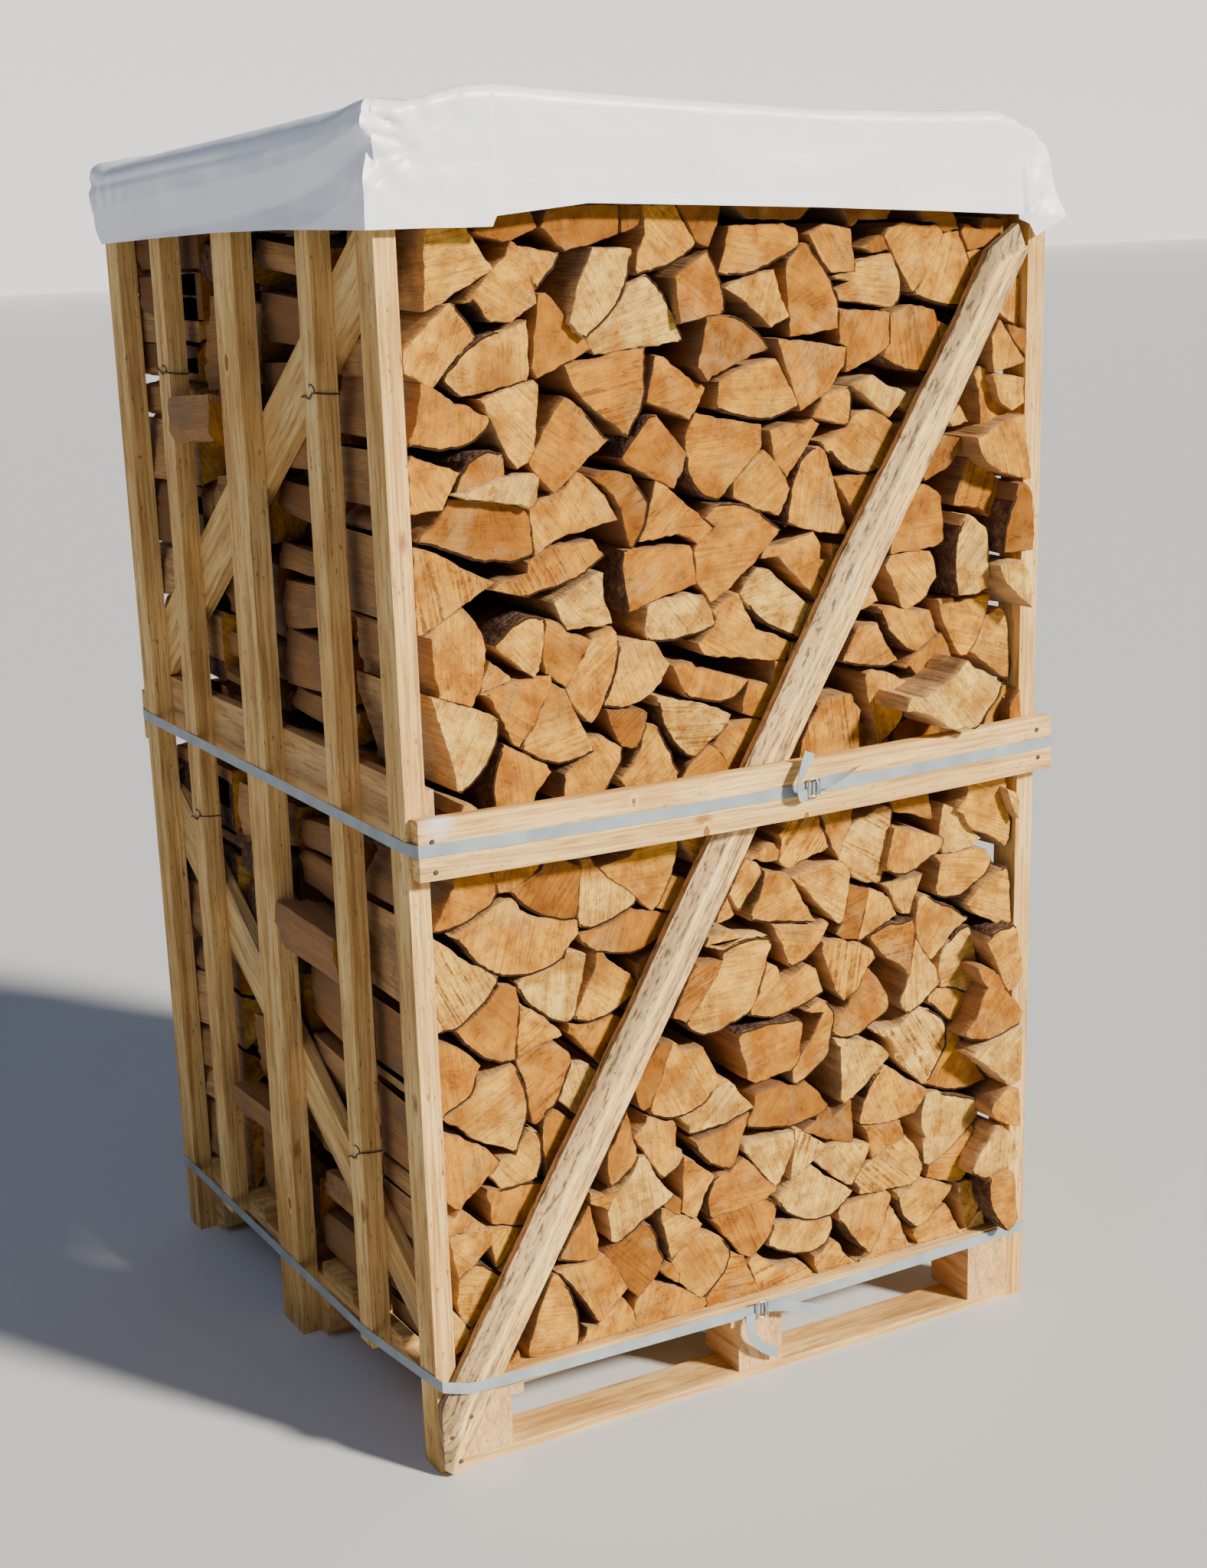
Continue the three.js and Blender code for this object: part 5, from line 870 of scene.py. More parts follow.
t1 585,737 602,741 622,747 667,748 672,745 684,732 686,725 684,710 681,690 677,670 672,656 666,655
655,666 642,679 626,695 611,715 597,727
t2h 62,619 76,626 94,637 109,648 120,661 127,670 138,667 152,661 154,648 156,639 154,626 151,608 149,590
147,572 147,561b 140,560 132,561 120,563 109,568 98,574 87,585 78,594 69,605 62,616e
t2 34,606 49,603 62,598 74,588 85,577 95,565 91,558 88,548b 85,536 78,525 65,518 49,511 35,503e 34,540
t1 155,639 163,632 174,627 185,617 196,608 201,601 212,592 218,581 199,577 176,573 163,570 152,565
149,564 150,581 152,599 155,620
t0 154,667 165,673 176,673 199,676 214,681 225,687 229,697 243,695 257,688 254,673 248,646 241,621
234,599b 225,596 214,600 201,606 192,614 183,621 172,630 165,639 158,652e
t1h 275,688 286,683 290,675 301,666 312,657 326,646 333,636 335,622 330,614b 315,607 299,600 283,594
266,592 250,594 237,600e 243,617 254,637 266,655 272,670
t2 338,657 350,666 361,671 372,668 366,655 350,630 335,607 322,592 318,598 328,614 335,620 335,637
t2 228,595 243,590 261,588 277,590 295,595 306,590 316,578 300,550 283,523 275,524 270,532 254,550
239,570 225,583
t2s 147,561 154,566 165,571 176,572 203,574 216,565 228,552 229,536b 221,518 214,503 208,491 199,480
192,479e 186,471 180,466 174,463 168,466 166,480 163,501 160,521 155,539 149,552
t1h 36,503 49,508 65,516 78,524 84,535 89,545 100,547 120,552 141,558 149,545b 156,527 161,507 163,492
161,474 156,460 151,449 143,431e 127,440 109,449 91,458 76,467 65,480 58,488 42,496
t2 34,483 49,476 62,472 74,460 94,449 107,436 116,423 104,411 96,405 82,391 65,380 57,369 49,371 37,383
34,400
t1 118,426 141,427 145,440 154,451 163,458 174,454b 180,440 180,425 177,402 172,387e 152,385 132,384
116,384 109,396 100,407 110,414
t2 187,470 199,478 208,475 217,467 230,456 240,449 221,418 214,402 205,384 186,384 185,407 181,427
183,451
t0 230,540 243,536 257,532 268,521 282,518 266,492 245,458 232,467 217,482 208,490 214,501 221,518
t1 553,675 580,670 604,665 624,660 644,664 649,659 642,646 636,638 631,628b 617,617 602,609 590,606
584,606e 579,619 568,646 559,661
t1 472,650b 490,656 506,659 528,660 541,658 550,655e 553,646 548,635 543,621 539,608 533,592 528,577
521,563 517,555b 510,550 499,546 483,543 468,536 452,534 434,536 423,542 414,550 410,560e 421,570
434,583 448,601 463,619 472,637
t2s 430,640 472,637 463,619 448,601 434,583 421,570 410,560 400,566 390,571 405,600 420,628
t4 450,675 479,681 488,677 499,670 530,667 545,661 528,662 506,661 490,658 472,652 455,658 445,662
t1 544,621 561,612 568,590 588,593 600,601 608,606 617,603 626,597 631,583 635,570 640,559b 626,553
613,548 600,544 582,540 564,537 546,538 530,542 515,547e 519,559 528,572 535,592 541,608
t1s 637,624 640,632 655,632 670,632 688,621 699,622 715,612 726,603 730,592 717,581 712,572 706,566
704,558 699,550 688,546 680,541 675,538 662,554 653,577 644,601
t2 706,566 717,581 726,570 737,556 746,541 753,529 755,514 752,506b 737,498 721,491 708,483 701,480
683,480 670,482 657,489e 655,496 658,516 668,521 680,527 686,538 699,550 704,558
t1 608,536 620,543 633,547 646,543b 654,532 659,516 655,496 651,478 649,463 635,451 622,442 606,432
591,427e 586,440 586,451 597,463 602,474 613,485 622,498 633,518 640,528 625,530
t2 495,524b 510,528 535,530 559,530 582,528 597,528e 604,518 602,500 599,483 599,469 588,455 582,451
557,449 539,446 524,445 510,454 510,465 505,483 500,496 498,507
t1 390,534 398,530 401,521 412,516 428,516 439,517 443,507 450,494 457,480 462,469 479,460 466,456
459,457 450,447b 443,438 434,432 423,429 412,426 399,424 378,425 363,431 350,438e 352,449 358,465
370,487 378,510
t3 370,538 390,535 378,510 370,487 358,465 352,449 340,445 332,455 325,480 338,505 352,520
t0 479,460 488,451 501,431 512,420 519,411 510,406b 499,402 483,398 468,394 450,393 432,392 416,392e
412,396 413,405 401,416 399,421 419,425 434,431 448,443 461,455
t3 521,427 535,431 550,433 568,433 582,428 593,425 608,431 617,422 629,411 637,398 647,386 640,378
626,371b 608,369 586,366 559,370 535,374 519,378 506,384e 510,395 517,405 521,418
t0 655,487 668,482 688,474 703,476 719,467 735,460 748,449 757,438 744,425 732,416 719,405 708,397
696,390 686,385 676,380 669,390 671,425 669,469 660,478
t1 718,695 730,694 744,687 753,679 759,668 764,657 768,650 748,641b 730,633 715,627 703,622e 699,626
706,646 712,670
t3s 684,708 718,697 712,670 706,646 699,626 688,628 675,630 662,640 672,656 677,670 681,690
t1 744,699 752,700 775,700 802,702 813,704 806,688 799,673 794,659 790,648 777,650 766,664 759,679
753,690
t1 837,725 849,726 866,725 884,726 902,729 916,726 929,721 934,712 940,702b 936,693 927,681 913,673
902,668 889,661 878,658 864,659 849,661 836,668e 840,693 844,715
t1 895,643 904,652 920,666 933,675 945,681 958,687b 969,687 973,670 976,643 979,617 980,600e 965,598
951,604 927,617 907,628
t1 804,665 809,670 817,673 826,668b 837,659 849,652 862,648 875,639 887,630e 898,623 889,617 875,610
864,601 855,590 844,581 837,574 831,570 822,581 813,592 806,605 802,619 801,641 803,655
t2s 719,626b 732,632 750,639 764,639 777,637 798,640e 800,626 799,608 795,585 793,563 790,554 777,570
759,583 746,592 735,605 726,617
t0 802,608 813,590 826,572 840,554 842,545 846,534 840,525b 831,518 822,512 811,503 791,494e 782,503
775,516 777,525 786,539 792,554 795,576 798,594
t0 844,559 846,572 853,583 864,594b 875,603 891,610 902,608 906,599e 909,581 912,563 918,543 917,525
919,507 907,505 893,510 878,518 862,523 847,525 847,536 843,550
t2+30 931,541 949,530 960,516 969,496 980,483 991,474 1004,456 996,436b 978,431 958,425 938,422 920,426
902,431 893,438e 904,449 916,460 922,476 929,494 938,505 925,520 918,540
t1+40 933,577 940,585b 951,592 974,594 983,597e 989,590 994,559 1003,525 1000,512 989,494 976,492
969,503 962,516 954,536 945,556
t1 826,516 842,523 860,521 878,516 893,507 916,498 928,494 922,478 916,465 904,451b 895,454 880,460
864,469 853,478 842,489 831,500e 824,510
t0s 724,485 739,480 759,478 775,480 791,491 804,498 817,499 829,494b 842,485 853,476 859,465 860,447
860,433 851,418 842,405 835,396 829,385e 815,380 802,393 786,409 773,422 764,433 762,454 748,467 733,478
t2 862,458 873,456 880,445 889,431 895,418 902,409 911,397 922,380 929,371 936,360b 922,358 900,355
871,358 849,365 832,372 816,380e 829,385 835,393 842,405 851,418 860,433
t0+30 907,404 920,413 938,419 958,422 978,429 998,435 1004,430 1004,345 992,340 976,343 972,350 954,367
933,385 918,396
t1 744,423 753,422 768,411 784,397 799,387 815,377 826,368 815,353 802,338 782,336 753,333 724,336
708,340 704,343 708,360 712,380b 719,396 726,405 732,413e
t1 34,359 45,359 52,368 58,369 69,358 82,345 94,335 80,333 60,334 45,334 36,336
t1 36,334 60,334 80,333 97,332 98,307 80,292 65,281 48,271 44,289 41,311
t1 97,332 109,329 132,325 154,318 156,309 143,303 136,292 124,283 114,278 104,273 101,290 98,307
t2 96,389 116,384b 152,385 172,383 185,376e 199,380 185,356 176,342 165,348 160,340 157,332 153,323
132,327 116,333 101,337 99,351 100,365 94,380
t1 49,269 62,278 74,287b 87,282 96,273 107,264 120,257e 118,249 94,208 89,200 84,207 76,202 62,195
51,208 45,222 43,240 46,262
t1 108,266 112,272 136,291 141,287 127,262 116,262
t2 60,192 76,199 88,197 74,176 63,175
t0 36,228 52,208 60,192 62,176 50,165 36,160
t2 36,158 48,155 62,175 74,175 50,132 42,125 36,135
t2 132,143 135,130 138,112 108,112 116,124
t1 192,240 199,235 210,217b 217,204 223,184 228,164 229,148 228,128e 223,116 216,117 203,115 185,110
172,109 161,117 149,126 147,137 154,155 158,168 167,193 176,213 185,231
t2 194,243 209,245 221,245 239,243 257,246 264,250 272,248 283,231 295,213 301,199 306,188 295,178
283,168 272,157 260,148 250,159b 241,175 230,193 219,211 210,222 199,236e
t2 250,328 254,307 260,284 263,273 262,257 256,248 238,246b 216,251 199,257e 206,268 228,298
t3s 272,249 285,254 299,260 319,271 337,277 346,273b 354,258 357,240 363,226 367,215e 358,202 351,191
333,176 322,168 306,188 301,199 295,213 283,231
t2h 288,404 301,427 312,452 318,430 321,410 327,395 328,380 323,372 315,362b 299,349 284,344e 281,365
281,394
t1 342,427 345,437 363,428 378,420 390,417 393,407 391,391 390,377 400,374 402,362 390,346b 378,341
367,338e 360,350 352,362 346,371 337,388 329,398 322,410 330,418
t0 330,380 340,381 350,362 358,343 367,331 378,316 387,307b 378,300 367,295 355,291 339,283 328,278
310,267 299,260e 288,262 282,265 281,284 277,309 286,327 301,341 317,356
t2s 252,345 262,340 277,335 290,342 296,340 288,322 278,312 268,320 252,328
t2 316,157 322,167 333,176 350,190 355,180 367,177 390,166 401,159 412,150 423,140 434,137 436,128
430,112 425,105 355,105 342,108 326,115 317,118 317,137
t1 241,145 256,143 260,148 272,157 295,177 306,164 312,155 316,141 317,117 317,106 294,106 266,112
239,117 226,119 232,126 238,133
t2 421,381 439,384 470,388 479,394 499,401 512,404 508,393 500,369 495,354 488,333 479,324b 465,329
450,338 441,345 430,358 423,371e
t1 403,362 419,353 434,338 450,325 452,320 443,309 436,298 430,280 423,267 418,264 401,277 396,280
399,298 400,316 401,338 401,352
t3s 368,296 383,306 390,305 398,297 395,276 387,279 378,287
t1 365,293 376,288 387,278 398,275 416,262 423,264 431,253 423,242 405,229 390,220 378,213 374,226
370,251 363,278
t1h 421,240 430,240 441,236 454,231 466,220b 474,208 477,197 473,184 466,168 452,155 436,141e 427,139
414,150 401,162 390,173 392,184 385,193 379,208 390,220 405,229
t2 358,202 370,208 380,206 386,192 392,183 389,173 372,185
t2s 477,195 490,190 500,186 505,173 512,157 518,140 526,122 530,108 512,104 479,103 450,105 434,112
436,128 434,137 440,143 452,155 466,168 473,184
t1s 512,179 524,182 535,170 546,162 562,153 586,150 600,148 608,141 619,128 613,122 597,120 582,117
568,113 546,110 531,108 526,122 518,140 512,157 506,172
t1 548,208 552,221 568,223 586,221 602,215 624,210 651,209 654,197 653,184b 646,170 635,164 622,160
600,162 580,168 564,175 550,184 539,191e
t2s 446,255 461,257 479,260 517,263 541,266b 550,260 556,251e 555,240 550,226 548,213 541,204 530,193
521,185 511,180 500,186 495,189 483,204 472,220 461,237 452,249
t2 446,256b 441,266 439,280 441,295 448,309 454,318e 468,322 477,320 488,331 501,338 515,325 528,309
541,293 556,280 555,273 541,267 517,263 479,260
t0 501,356 512,360 530,357 545,360 586,360 589,343 582,320 573,302 564,284 556,280 541,296 524,318
510,338 503,345
t0s 590,360 600,357 622,340 646,322 631,311 617,302 602,293 582,284 582,298 586,320 590,342
t0 557,262 568,271 582,280 600,291 617,300 629,289 644,273 662,262 680,249 691,240 681,229b 667,218
651,210 631,210 611,213 591,222 577,231 564,246e
t3 602,355 612,361 625,366 628,373 640,376 650,381 655,366 668,373 678,384 688,383 690,354 692,336
692,316 675,320 658,327 646,331 622,345
t0 621,304 633,311 647,320 658,325 675,320 692,314 715,311 721,307 719,297 709,278 704,268 698,261
690,249 680,252 662,266 649,280 631,295
t1s 622,152 633,155 646,167 657,170 667,161 672,148 681,137 690,124 691,107 670,104 653,104 635,108
629,117 622,137
t1 665,210 670,219 683,222 699,221 726,224 753,224 761,214 757,202 750,190 746,175 739,159 730,144
721,133 712,139b 699,152 688,166 679,182 670,193e
t1 757,202 766,190 775,173 782,155 791,135 800,117 795,105 777,103 730,103 710,103 699,112 704,122
716,127 722,132 730,144 739,159 746,175 750,190
t1 770,217 795,219 802,226 813,229 831,224 849,215 864,208 876,204 869,191 858,182 844,170 831,159
822,155 808,150b 797,159 786,170 777,186 772,204e
t1 808,150 822,153 831,158 844,169 860,178 871,164 878,146 889,128 893,119 893,110 880,110 860,108
835,103 815,104 806,106 813,113 808,130 802,141
t1 884,205 900,206 916,200 927,196 940,193 938,182 929,159 922,148 911,135 900,126 898,141 893,164
889,182
t0 894,119 900,125 911,134 922,147 934,148 937,130 940,112 916,110 895,110
t1+40 949,197 962,202 978,206 985,202 994,195 998,168 1000,137 1005,116 998,106 989,99 982,100b 969,115
958,133 949,155 946,175 947,190e
t0+30 956,280 963,280 976,271 989,260 994,249 1000,220 985,208 967,204 949,198b 938,197 927,202 914,211e
914,218 922,233 933,249 945,264
t2s 955,278 945,264 933,249 922,233 914,219 901,219 911,240 918,262 920,280
t2s 909,295 918,282 916,262 911,237 900,217 891,208 878,208 864,213 844,220 826,228 829,240 831,246
849,253 871,266 893,282
t0 822,364 840,365 853,358b 871,351 889,345 905,340 918,333e 922,316 920,307 909,296 893,282 871,266
849,253 831,247 822,251 820,267 818,284 824,293 817,305 815,316 815,336 819,349
t1+30 947,308 954,320 967,330 983,338 1000,332 1004,305 1003,269 983,277 960,288 949,301
t2s 708,338 724,334 753,332 777,331 779,322 784,307 775,299 760,296 741,289 725,281 721,295 719,312
716,325
t1s 721,280 741,288 760,296 775,299 786,306 797,293 806,280 813,266b 820,251e 815,240 808,229 795,224
770,226 752,227 726,227 703,231 704,240 694,253 700,262 706,270 712,275
t3 899,1595 904,1606 945,1605 938,1584 926,1579 910,1586
"""


# Firewood
# How near a log comes to the posts and to the deck, and where the side slats begin
POST_CLEAR = 0.8
DECK_CLEAR = 0.5
SLATS_FROM = 58
# How each log departs from a plain prism: its tone, the tilt of its end, its drift and its taper
TONE_SPREAD = 0.12
END_TILT = 0.03
DRIFT = 4
TAPER = (-0.05, 0.04)
# The sawn end: how far its torn edge and the inside of its dark rim are drawn in, how far it stands
# out inside the rim, and how dark the rim is along bark and along split faces; along split faces
# the dark is partly painted shade of the gaps between logs
EDGE_INSET = 0.8
RIM_INSET = 4.4
END_PROUD = 0.2
BARK_RIM = 1.0
SPLIT_RIM_AND_SHADE = 0.3


class Log:
    """One split log: its end outline in the crate's x and z, which edges are bark, and its looks."""

    def __init__(self, word):
        self.tone = int(word[1])
        self.moss = self.tone == 4
        self.sawn = "s" in word
        self.heart = "h" in word
        self.proud = float(word.split("+")[1]) if "+" in word else 0.0
        self.points = []
        self.marks = []

    def add(self, word):
        mark = word[-1] if word[-1] in "be" else ""
        x, z = word.rstrip("be").split(",")
        self.points.append((float(x), float(z)))
        self.marks.append(mark)

    def settle(self):
        """Finds the bark edges, brings the end to its own depth and turns the outline one way."""
        inside = next((mark for mark in self.marks if mark), "") == "e"
        bark = []
        for mark in self.marks:
            if mark:
                inside = mark == "b"
            bark.append(inside)
        distance = ROW_FRONT - VIEW_POINT[1]
        reach = max(x for x, z in self.points)
        limit = POST_SPAN - POST_WIDTH - 1
        needed = distance * (1 - (limit - VIEW_POINT[0]) / (reach - VIEW_POINT[0]))
        proud = max(self.proud, needed, 0)
        scale = (distance - proud) / distance
        self.front = ROW_FRONT - proud
        self.points = [
            (clamp(VIEW_POINT[0] + (x - VIEW_POINT[0]) * scale, POST_WIDTH + POST_CLEAR, limit),
             max(VIEW_POINT[2] + (z - VIEW_POINT[2]) * scale, DECK_TOP + DECK_CLEAR))
            for x, z in self.points
        ]
        self.bark = bark
        if turns_right(self.points):
            self.reverse()

    def reverse(self):
        """Lists the outline the other way round, and each edge's bark with it."""
        self.points = self.points[::-1]
        self.bark = self.bark[-2::-1] + self.bark[-1:]

    def mirror(self):
        """Mirrors the log from one side of the crate to the other."""
        self.points = [(POST_SPAN - x, z) for x, z in self.points]
        self.reverse()


def turns_right(points):
    """Whether an outline runs clockwise."""
    pairs = zip(points, points[1:] + points[:1])
    return sum(a[0] * b[1] - b[0] * a[1] for a, b in pairs) < 0


def read_logs():
    """The logs of the table, each with its outline at its own depth."""
    logs = []
    for word in LOG_ENDS.split():
        if word.startswith("t"):
            logs.append(Log(word))
        else:
            logs[-1].add(word)
    for log in logs:
        log.settle()
    return logs


# How far the pith lies from the bark at least and at most, and from the middle of a log without bark
RING_RADIUS = (45, 130)
PITH_BESIDE = 75


def pith_of(log):
    """Where the rings of a log have their middle: near the centre of its bark arc, or beside the log."""
    count = len(log.points)
    arc = [i for i in range(count) if log.bark[i]]
    if not arc:
        middle = sum((Vector(p) for p in log.points), Vector((0, 0))) / count
        angle = random.uniform(0, 2 * math.pi)
        return middle + PITH_BESIDE * Vector((math.cos(angle), math.sin(angle)))
    first = Vector(log.points[arc[0]])
    last = Vector(log.points[(arc[-1] + 1) % count])
    chord = last - first
    side = Vector((-chord.y, chord.x)).normalized()
    half = chord.length / 2
    bulge = (first + last) / 2 if len(arc) == 1 else Vector(log.points[arc[len(arc) // 2]])
    sag = max(abs((bulge - first).dot(side)), 1)
    radius = clamp((half * half + sag * sag) / (2 * sag), *RING_RADIUS)
    return (first + last) / 2 + side * math.sqrt(max(radius ** 2 - half ** 2, 0)) * 0.9


def refined(log, step_bark, step_split, rough):
    """The outline with more points: round along the bark, torn along the split faces."""
    points = []
    bark = []
    count = len(log.points)
    for i in range(count):
        a = Vector(log.points[i])
        b = Vector(log.points[(i + 1) % count])
        before = Vector(log.points[i - 1]) if log.bark[i - 1] else a - (b - a)
        after = Vector(log.points[(i + 2) % count]) if log.bark[(i + 1) % count] else b + (b - a)
        step = step_bark if log.bark[i] else step_split
        parts = max(1, round((b - a).length / step))
        across = Vector((-(b - a).y, (b - a).x)).normalized()
        for k in range(parts):
            t = k / parts
            p = rounded(before, a, b, after, t) if log.bark[i] else a.lerp(b, t)
            if k:
                swell = noise.noise(Vector((p.x * 0.05, p.y * 0.05, log.front)))
                p = p + across * rough * (1.6 * swell + random.uniform(-0.9, 0.6))
            points.append(p)
            bark.append(log.bark[i])
    return points, bark


def inward(points, amount):
    """The outline drawn in by about that many millimetres."""
    count = len(points)
    middle = sum(points, Vector((0, 0))) / count
    result = []
    for i, p in enumerate(points):
        edges = (p - points[i - 1]).normalized() + (points[(i + 1) % count] - p).normalized()
        normal = Vector((-edges.y, edges.x))
        normal = normal.normalized() if normal.length > 0.2 else (middle - p).normalized()
        result.append(p + normal * min(amount, (middle - p).length * 0.4))
    return result


def kept_clear(q, y):
    """Keeps a point of a log out of the slats and the slanting boards along the sides."""
    low = LOG_INNER_FACE if y > SLATS_FROM else POST_WIDTH + POST_CLEAR
    return Vector((clamp(q.x, low, POST_SPAN - low), max(q.y, DECK_TOP + DECK_CLEAR)))


class Pile:
    """Gathers the logs of a row into one mesh."""

    def __init__(self):
        self.vertices = []
        self.faces = []
        self.kinds = []
        self.uvs = []
        self.values = {name: [] for name in ("tone", "seed", "saw", "heart", "moss", "rim")}

    def ring(self, spots, log, rim):
        """Adds a ring of (x, y, z) spots and gives back their numbers."""
        first = len(self.vertices)
        looks = {"tone": log.shade, "seed": log.seed, "saw": log.sawn, "heart": log.heart, "moss": log.moss}
        for spot, edge in zip(spots, rim):
            self.vertices.append(place(*spot))
            self.values["rim"].append(edge)
            for name, value in looks.items():
                self.values[name].append(float(value))
        return list(range(first, first + len(spots)))

    def face(self, corners, kind, uv):
        """Adds a face: its kind is 0 for a sawn end, 1 for a split face and 2 for bark."""
        self.faces.append(corners)
        self.kinds.append(kind)
        self.uvs.extend(uv)

    def log(self, log, depths, steps, rough, hold=kept_clear):
        """One log from its front end back through the depths; hold keeps its points in their place."""
        tone = (0 if log.moss else log.tone) / 3
        log.shade = clamp(tone + random.uniform(-TONE_SPREAD, TONE_SPREAD), 0, 1)
        log.seed = random.uniform(0, 6)
        outline, bark = refined(log, *steps, rough)
        count = len(outline)
        pith = pith_of(log)
        middle = sum(outline, Vector((0, 0))) / count
        tilt = Vector((random.uniform(-END_TILT, END_TILT), random.uniform(-END_TILT, END_TILT)))
        # the rim's darkness: bark, and along split edges partly painted shade of the gaps
        dark = [BARK_RIM if bark[i] or bark[i - 1] else SPLIT_RIM_AND_SHADE for i in range(count)]
        plain = [0.0] * count

        def set_back(p, back):
            return (p.x, log.front + (p - middle).dot(tilt) + back, p.y)

        rim = self.ring([set_back(p, 0) for p in inward(outline, EDGE_INSET)], log, dark)
        inner = self.ring([set_back(p, -END_PROUD) for p in inward(outline, RIM_INSET)], log, plain)
        for i in range(count):
            j = (i + 1) % count
            corners = [rim[j], inner[j], inner[i], rim[i]]
            self.face(corners, 0, [self.from_pith(k, pith) for k in corners])
        self.cap(inner, pith, False)
        drift = Vector((random.uniform(-DRIFT, DRIFT), random.uniform(-DRIFT, DRIFT)))
        taper = random.uniform(*TAPER)
        travel = [0.0]
        for i in range(count):
            travel.append(travel[-1] + (outline[(i + 1) % count] - outline[i]).length)
        last = rim
        last_y = log.front
        for turn, depth in enumerate(depths):
            share = depth / depths[-1]
            wobble = rough if turn else 0.0
            y = log.front + depth
            section = []
            for p in outline:
                q = p + (p - middle) * taper * share + drift * share
                q = hold(q + Vector((random.uniform(-wobble, wobble), random.uniform(-wobble, wobble))), y)
                section.append((q.x, y, q.y) if turn else set_back(q, depth))
            ring = self.ring(section, log, plain)
            u0, u1 = last_y * MM, y * MM
            for i in range(count):
                j = (i + 1) % count
                v0, v1 = travel[i] * MM, travel[i + 1] * MM
                uv = [(u0, v0), (u0, v1), (u1, v1), (u1, v0)]
                self.face([last[i], last[j], ring[j], ring[i]], 2 if bark[i] else 1, uv)
            last = ring
            last_y = y
        self.cap(last, pith, True)

    def from_pith(self, index, pith):
        """How far a point lies from the pith, sideways and upwards."""
        p = self.vertices[index]
        return (p.x - CORNER.x - pith.x * MM, p.z - pith.y * MM)

    def cap(self, ring, pith, back):
        """Closes an end with triangles, which look forwards or to the back."""
        flat = [Vector((self.vertices[k].x, self.vertices[k].z, 0)) for k in ring]
        for triple in tessellate_polygon([flat]):
            corners = [ring[k] for k in triple]
            a, b, c = (flat[k] for k in triple)
            counter = (b - a).cross(c - a).z > 0
            if counter == back:
                corners.reverse()
            self.face(corners, 0, [self.from_pith(k, pith) for k in corners])

    def build(self, name, half_turned, solid):
        """Makes the mesh, in the place of the solid of its row."""
        piece = from_mesh(name, self.vertices, self.faces)
        mesh = piece.data
        mesh.polygons.foreach_set("material_index", self.kinds)
        layer = mesh.uv_layers.new(name="pith")
        layer.data.foreach_set("uv", [part for uv in self.uvs for part in uv])
        for key, values in self.values.items():
            mesh.attributes.new("log_" + key, "FLOAT", "POINT").data.foreach_set("value", values)
        smoothed(piece, LOG_SMOOTH)
        if half_turned:
            turn_half(piece)
        finished(piece, BEECH, "beech", solid)


# The depths of a log's sections, the steps along its bark and its split edges, and how torn it is
END_ARRIS = 1.2
LOG_DEPTHS = (END_ARRIS, 14, 70, 140, ROW_LENGTH)
OUTER_STEPS = (7, 7)
INNER_STEPS = (20, 40)
FLANK_STEPS = (9, 9)
OUTER_ROUGH = 1.2
INNER_ROUGH = 0.5
FLANK_ROUGH = 1.6


# Logs whose ends the rail or other logs hide, set back from the rest: x and z of two corners. Ten
# stand in a line behind the rail, two of them higher, and two at the upper right edge. Their dark tone
# is painted shade where they show through the gaps.
HIDDEN_BACK = 22
HIDDEN_FIRST = 38
HIDDEN_APART = 92
HIDDEN_WIDTH = 88
HIDDEN_TOPS = (898,) * 7 + (936, 936, 898)
HIDDEN_LOGS = [
    (HIDDEN_FIRST + HIDDEN_APART * i, 826, HIDDEN_FIRST + HIDDEN_APART * i + HIDDEN_WIDTH, top)
    for i, top in enumerate(HIDDEN_TOPS)
] + [(932, 1496, 968, 1562), (932, 1565, 968, 1632)]


def hidden_logs(front):
    """Plain logs in the places of the hidden ones."""
    logs = []
    for i, (x0, z0, x1, z1) in enumerate(HIDDEN_LOGS):
        wide, tall = x1 - x0, z1 - z0
        # tone 3: painted shade of the gaps behind the rail and at the upper right edge
        log = Log("t3")
        log.points = [
            (x0, z0 + tall * 0.2), (x0 + wide * 0.25, z0), (x0 + wide * 0.75, z0 + 1), (x1, z0 + tall * 0.3),
            (x1 - wide * 0.06, z1 - tall * 0.1), (x0 + wide * 0.5, z1), (x0 + wide * 0.04, z1 - tall * 0.14),
        ]
        log.bark = [i % 3 == 0 and k < 3 for k in range(len(log.points))]
        log.front = front
        logs.append(log)
    return logs


def outer_row(name, solid, half_turned):
    """The front row as it is traced, or the back one: the same, turned half round."""
    pile = Pile()
    for log in read_logs() + hidden_logs(ROW_FRONT + HIDDEN_BACK):
        pile.log(log, LOG_DEPTHS, OUTER_STEPS, OUTER_ROUGH)
    pile.build(name, half_turned, solid)


outer_row("beech_logs_front", "firewood_row_1", False)
outer_row("beech_logs_back", "firewood_row_4", True)

# Inner rows: their flanks show between the slats, each span is one log seen from the side
FLANKS_SECOND = [
    (124, 190), (205, 270), (285, 380), (395, 465), (480, 590), (605, 615), (700, 760), (765, 820),
    (835, 945), (960, 1000), (1005, 1080), (1095, 1160), (1165, 1200), (1230, 1290), (1305, 1375),
    (1390, 1455), (1470, 1540), (1560, 1600), (1615, 1666),
]
FLANKS_THIRD = [
    (124, 240), (305, 450), (470, 560), (575, 650), (665, 730), (740, 820), (835, 945), (965, 990),
    (1000, 1050), (1065, 1180), (1200, 1290), (1400, 1530), (1545, 1600), (1612, 1666),
]
# Logs that poke out between the slats: face, span of heights at the front, rise, where it begins and ends
POKING_SECOND = [(-4, 622, 694, -3, 255, 466)]
POKING_THIRD = [(-12, 1332, 1398, -18, 560, 724), (3, 284, 333, -3, 560, 723)]
# How far the flank of a log leans inwards toward its lower edge
POKING_LEAN = 11
FLANK_LEANS = (2, 13)
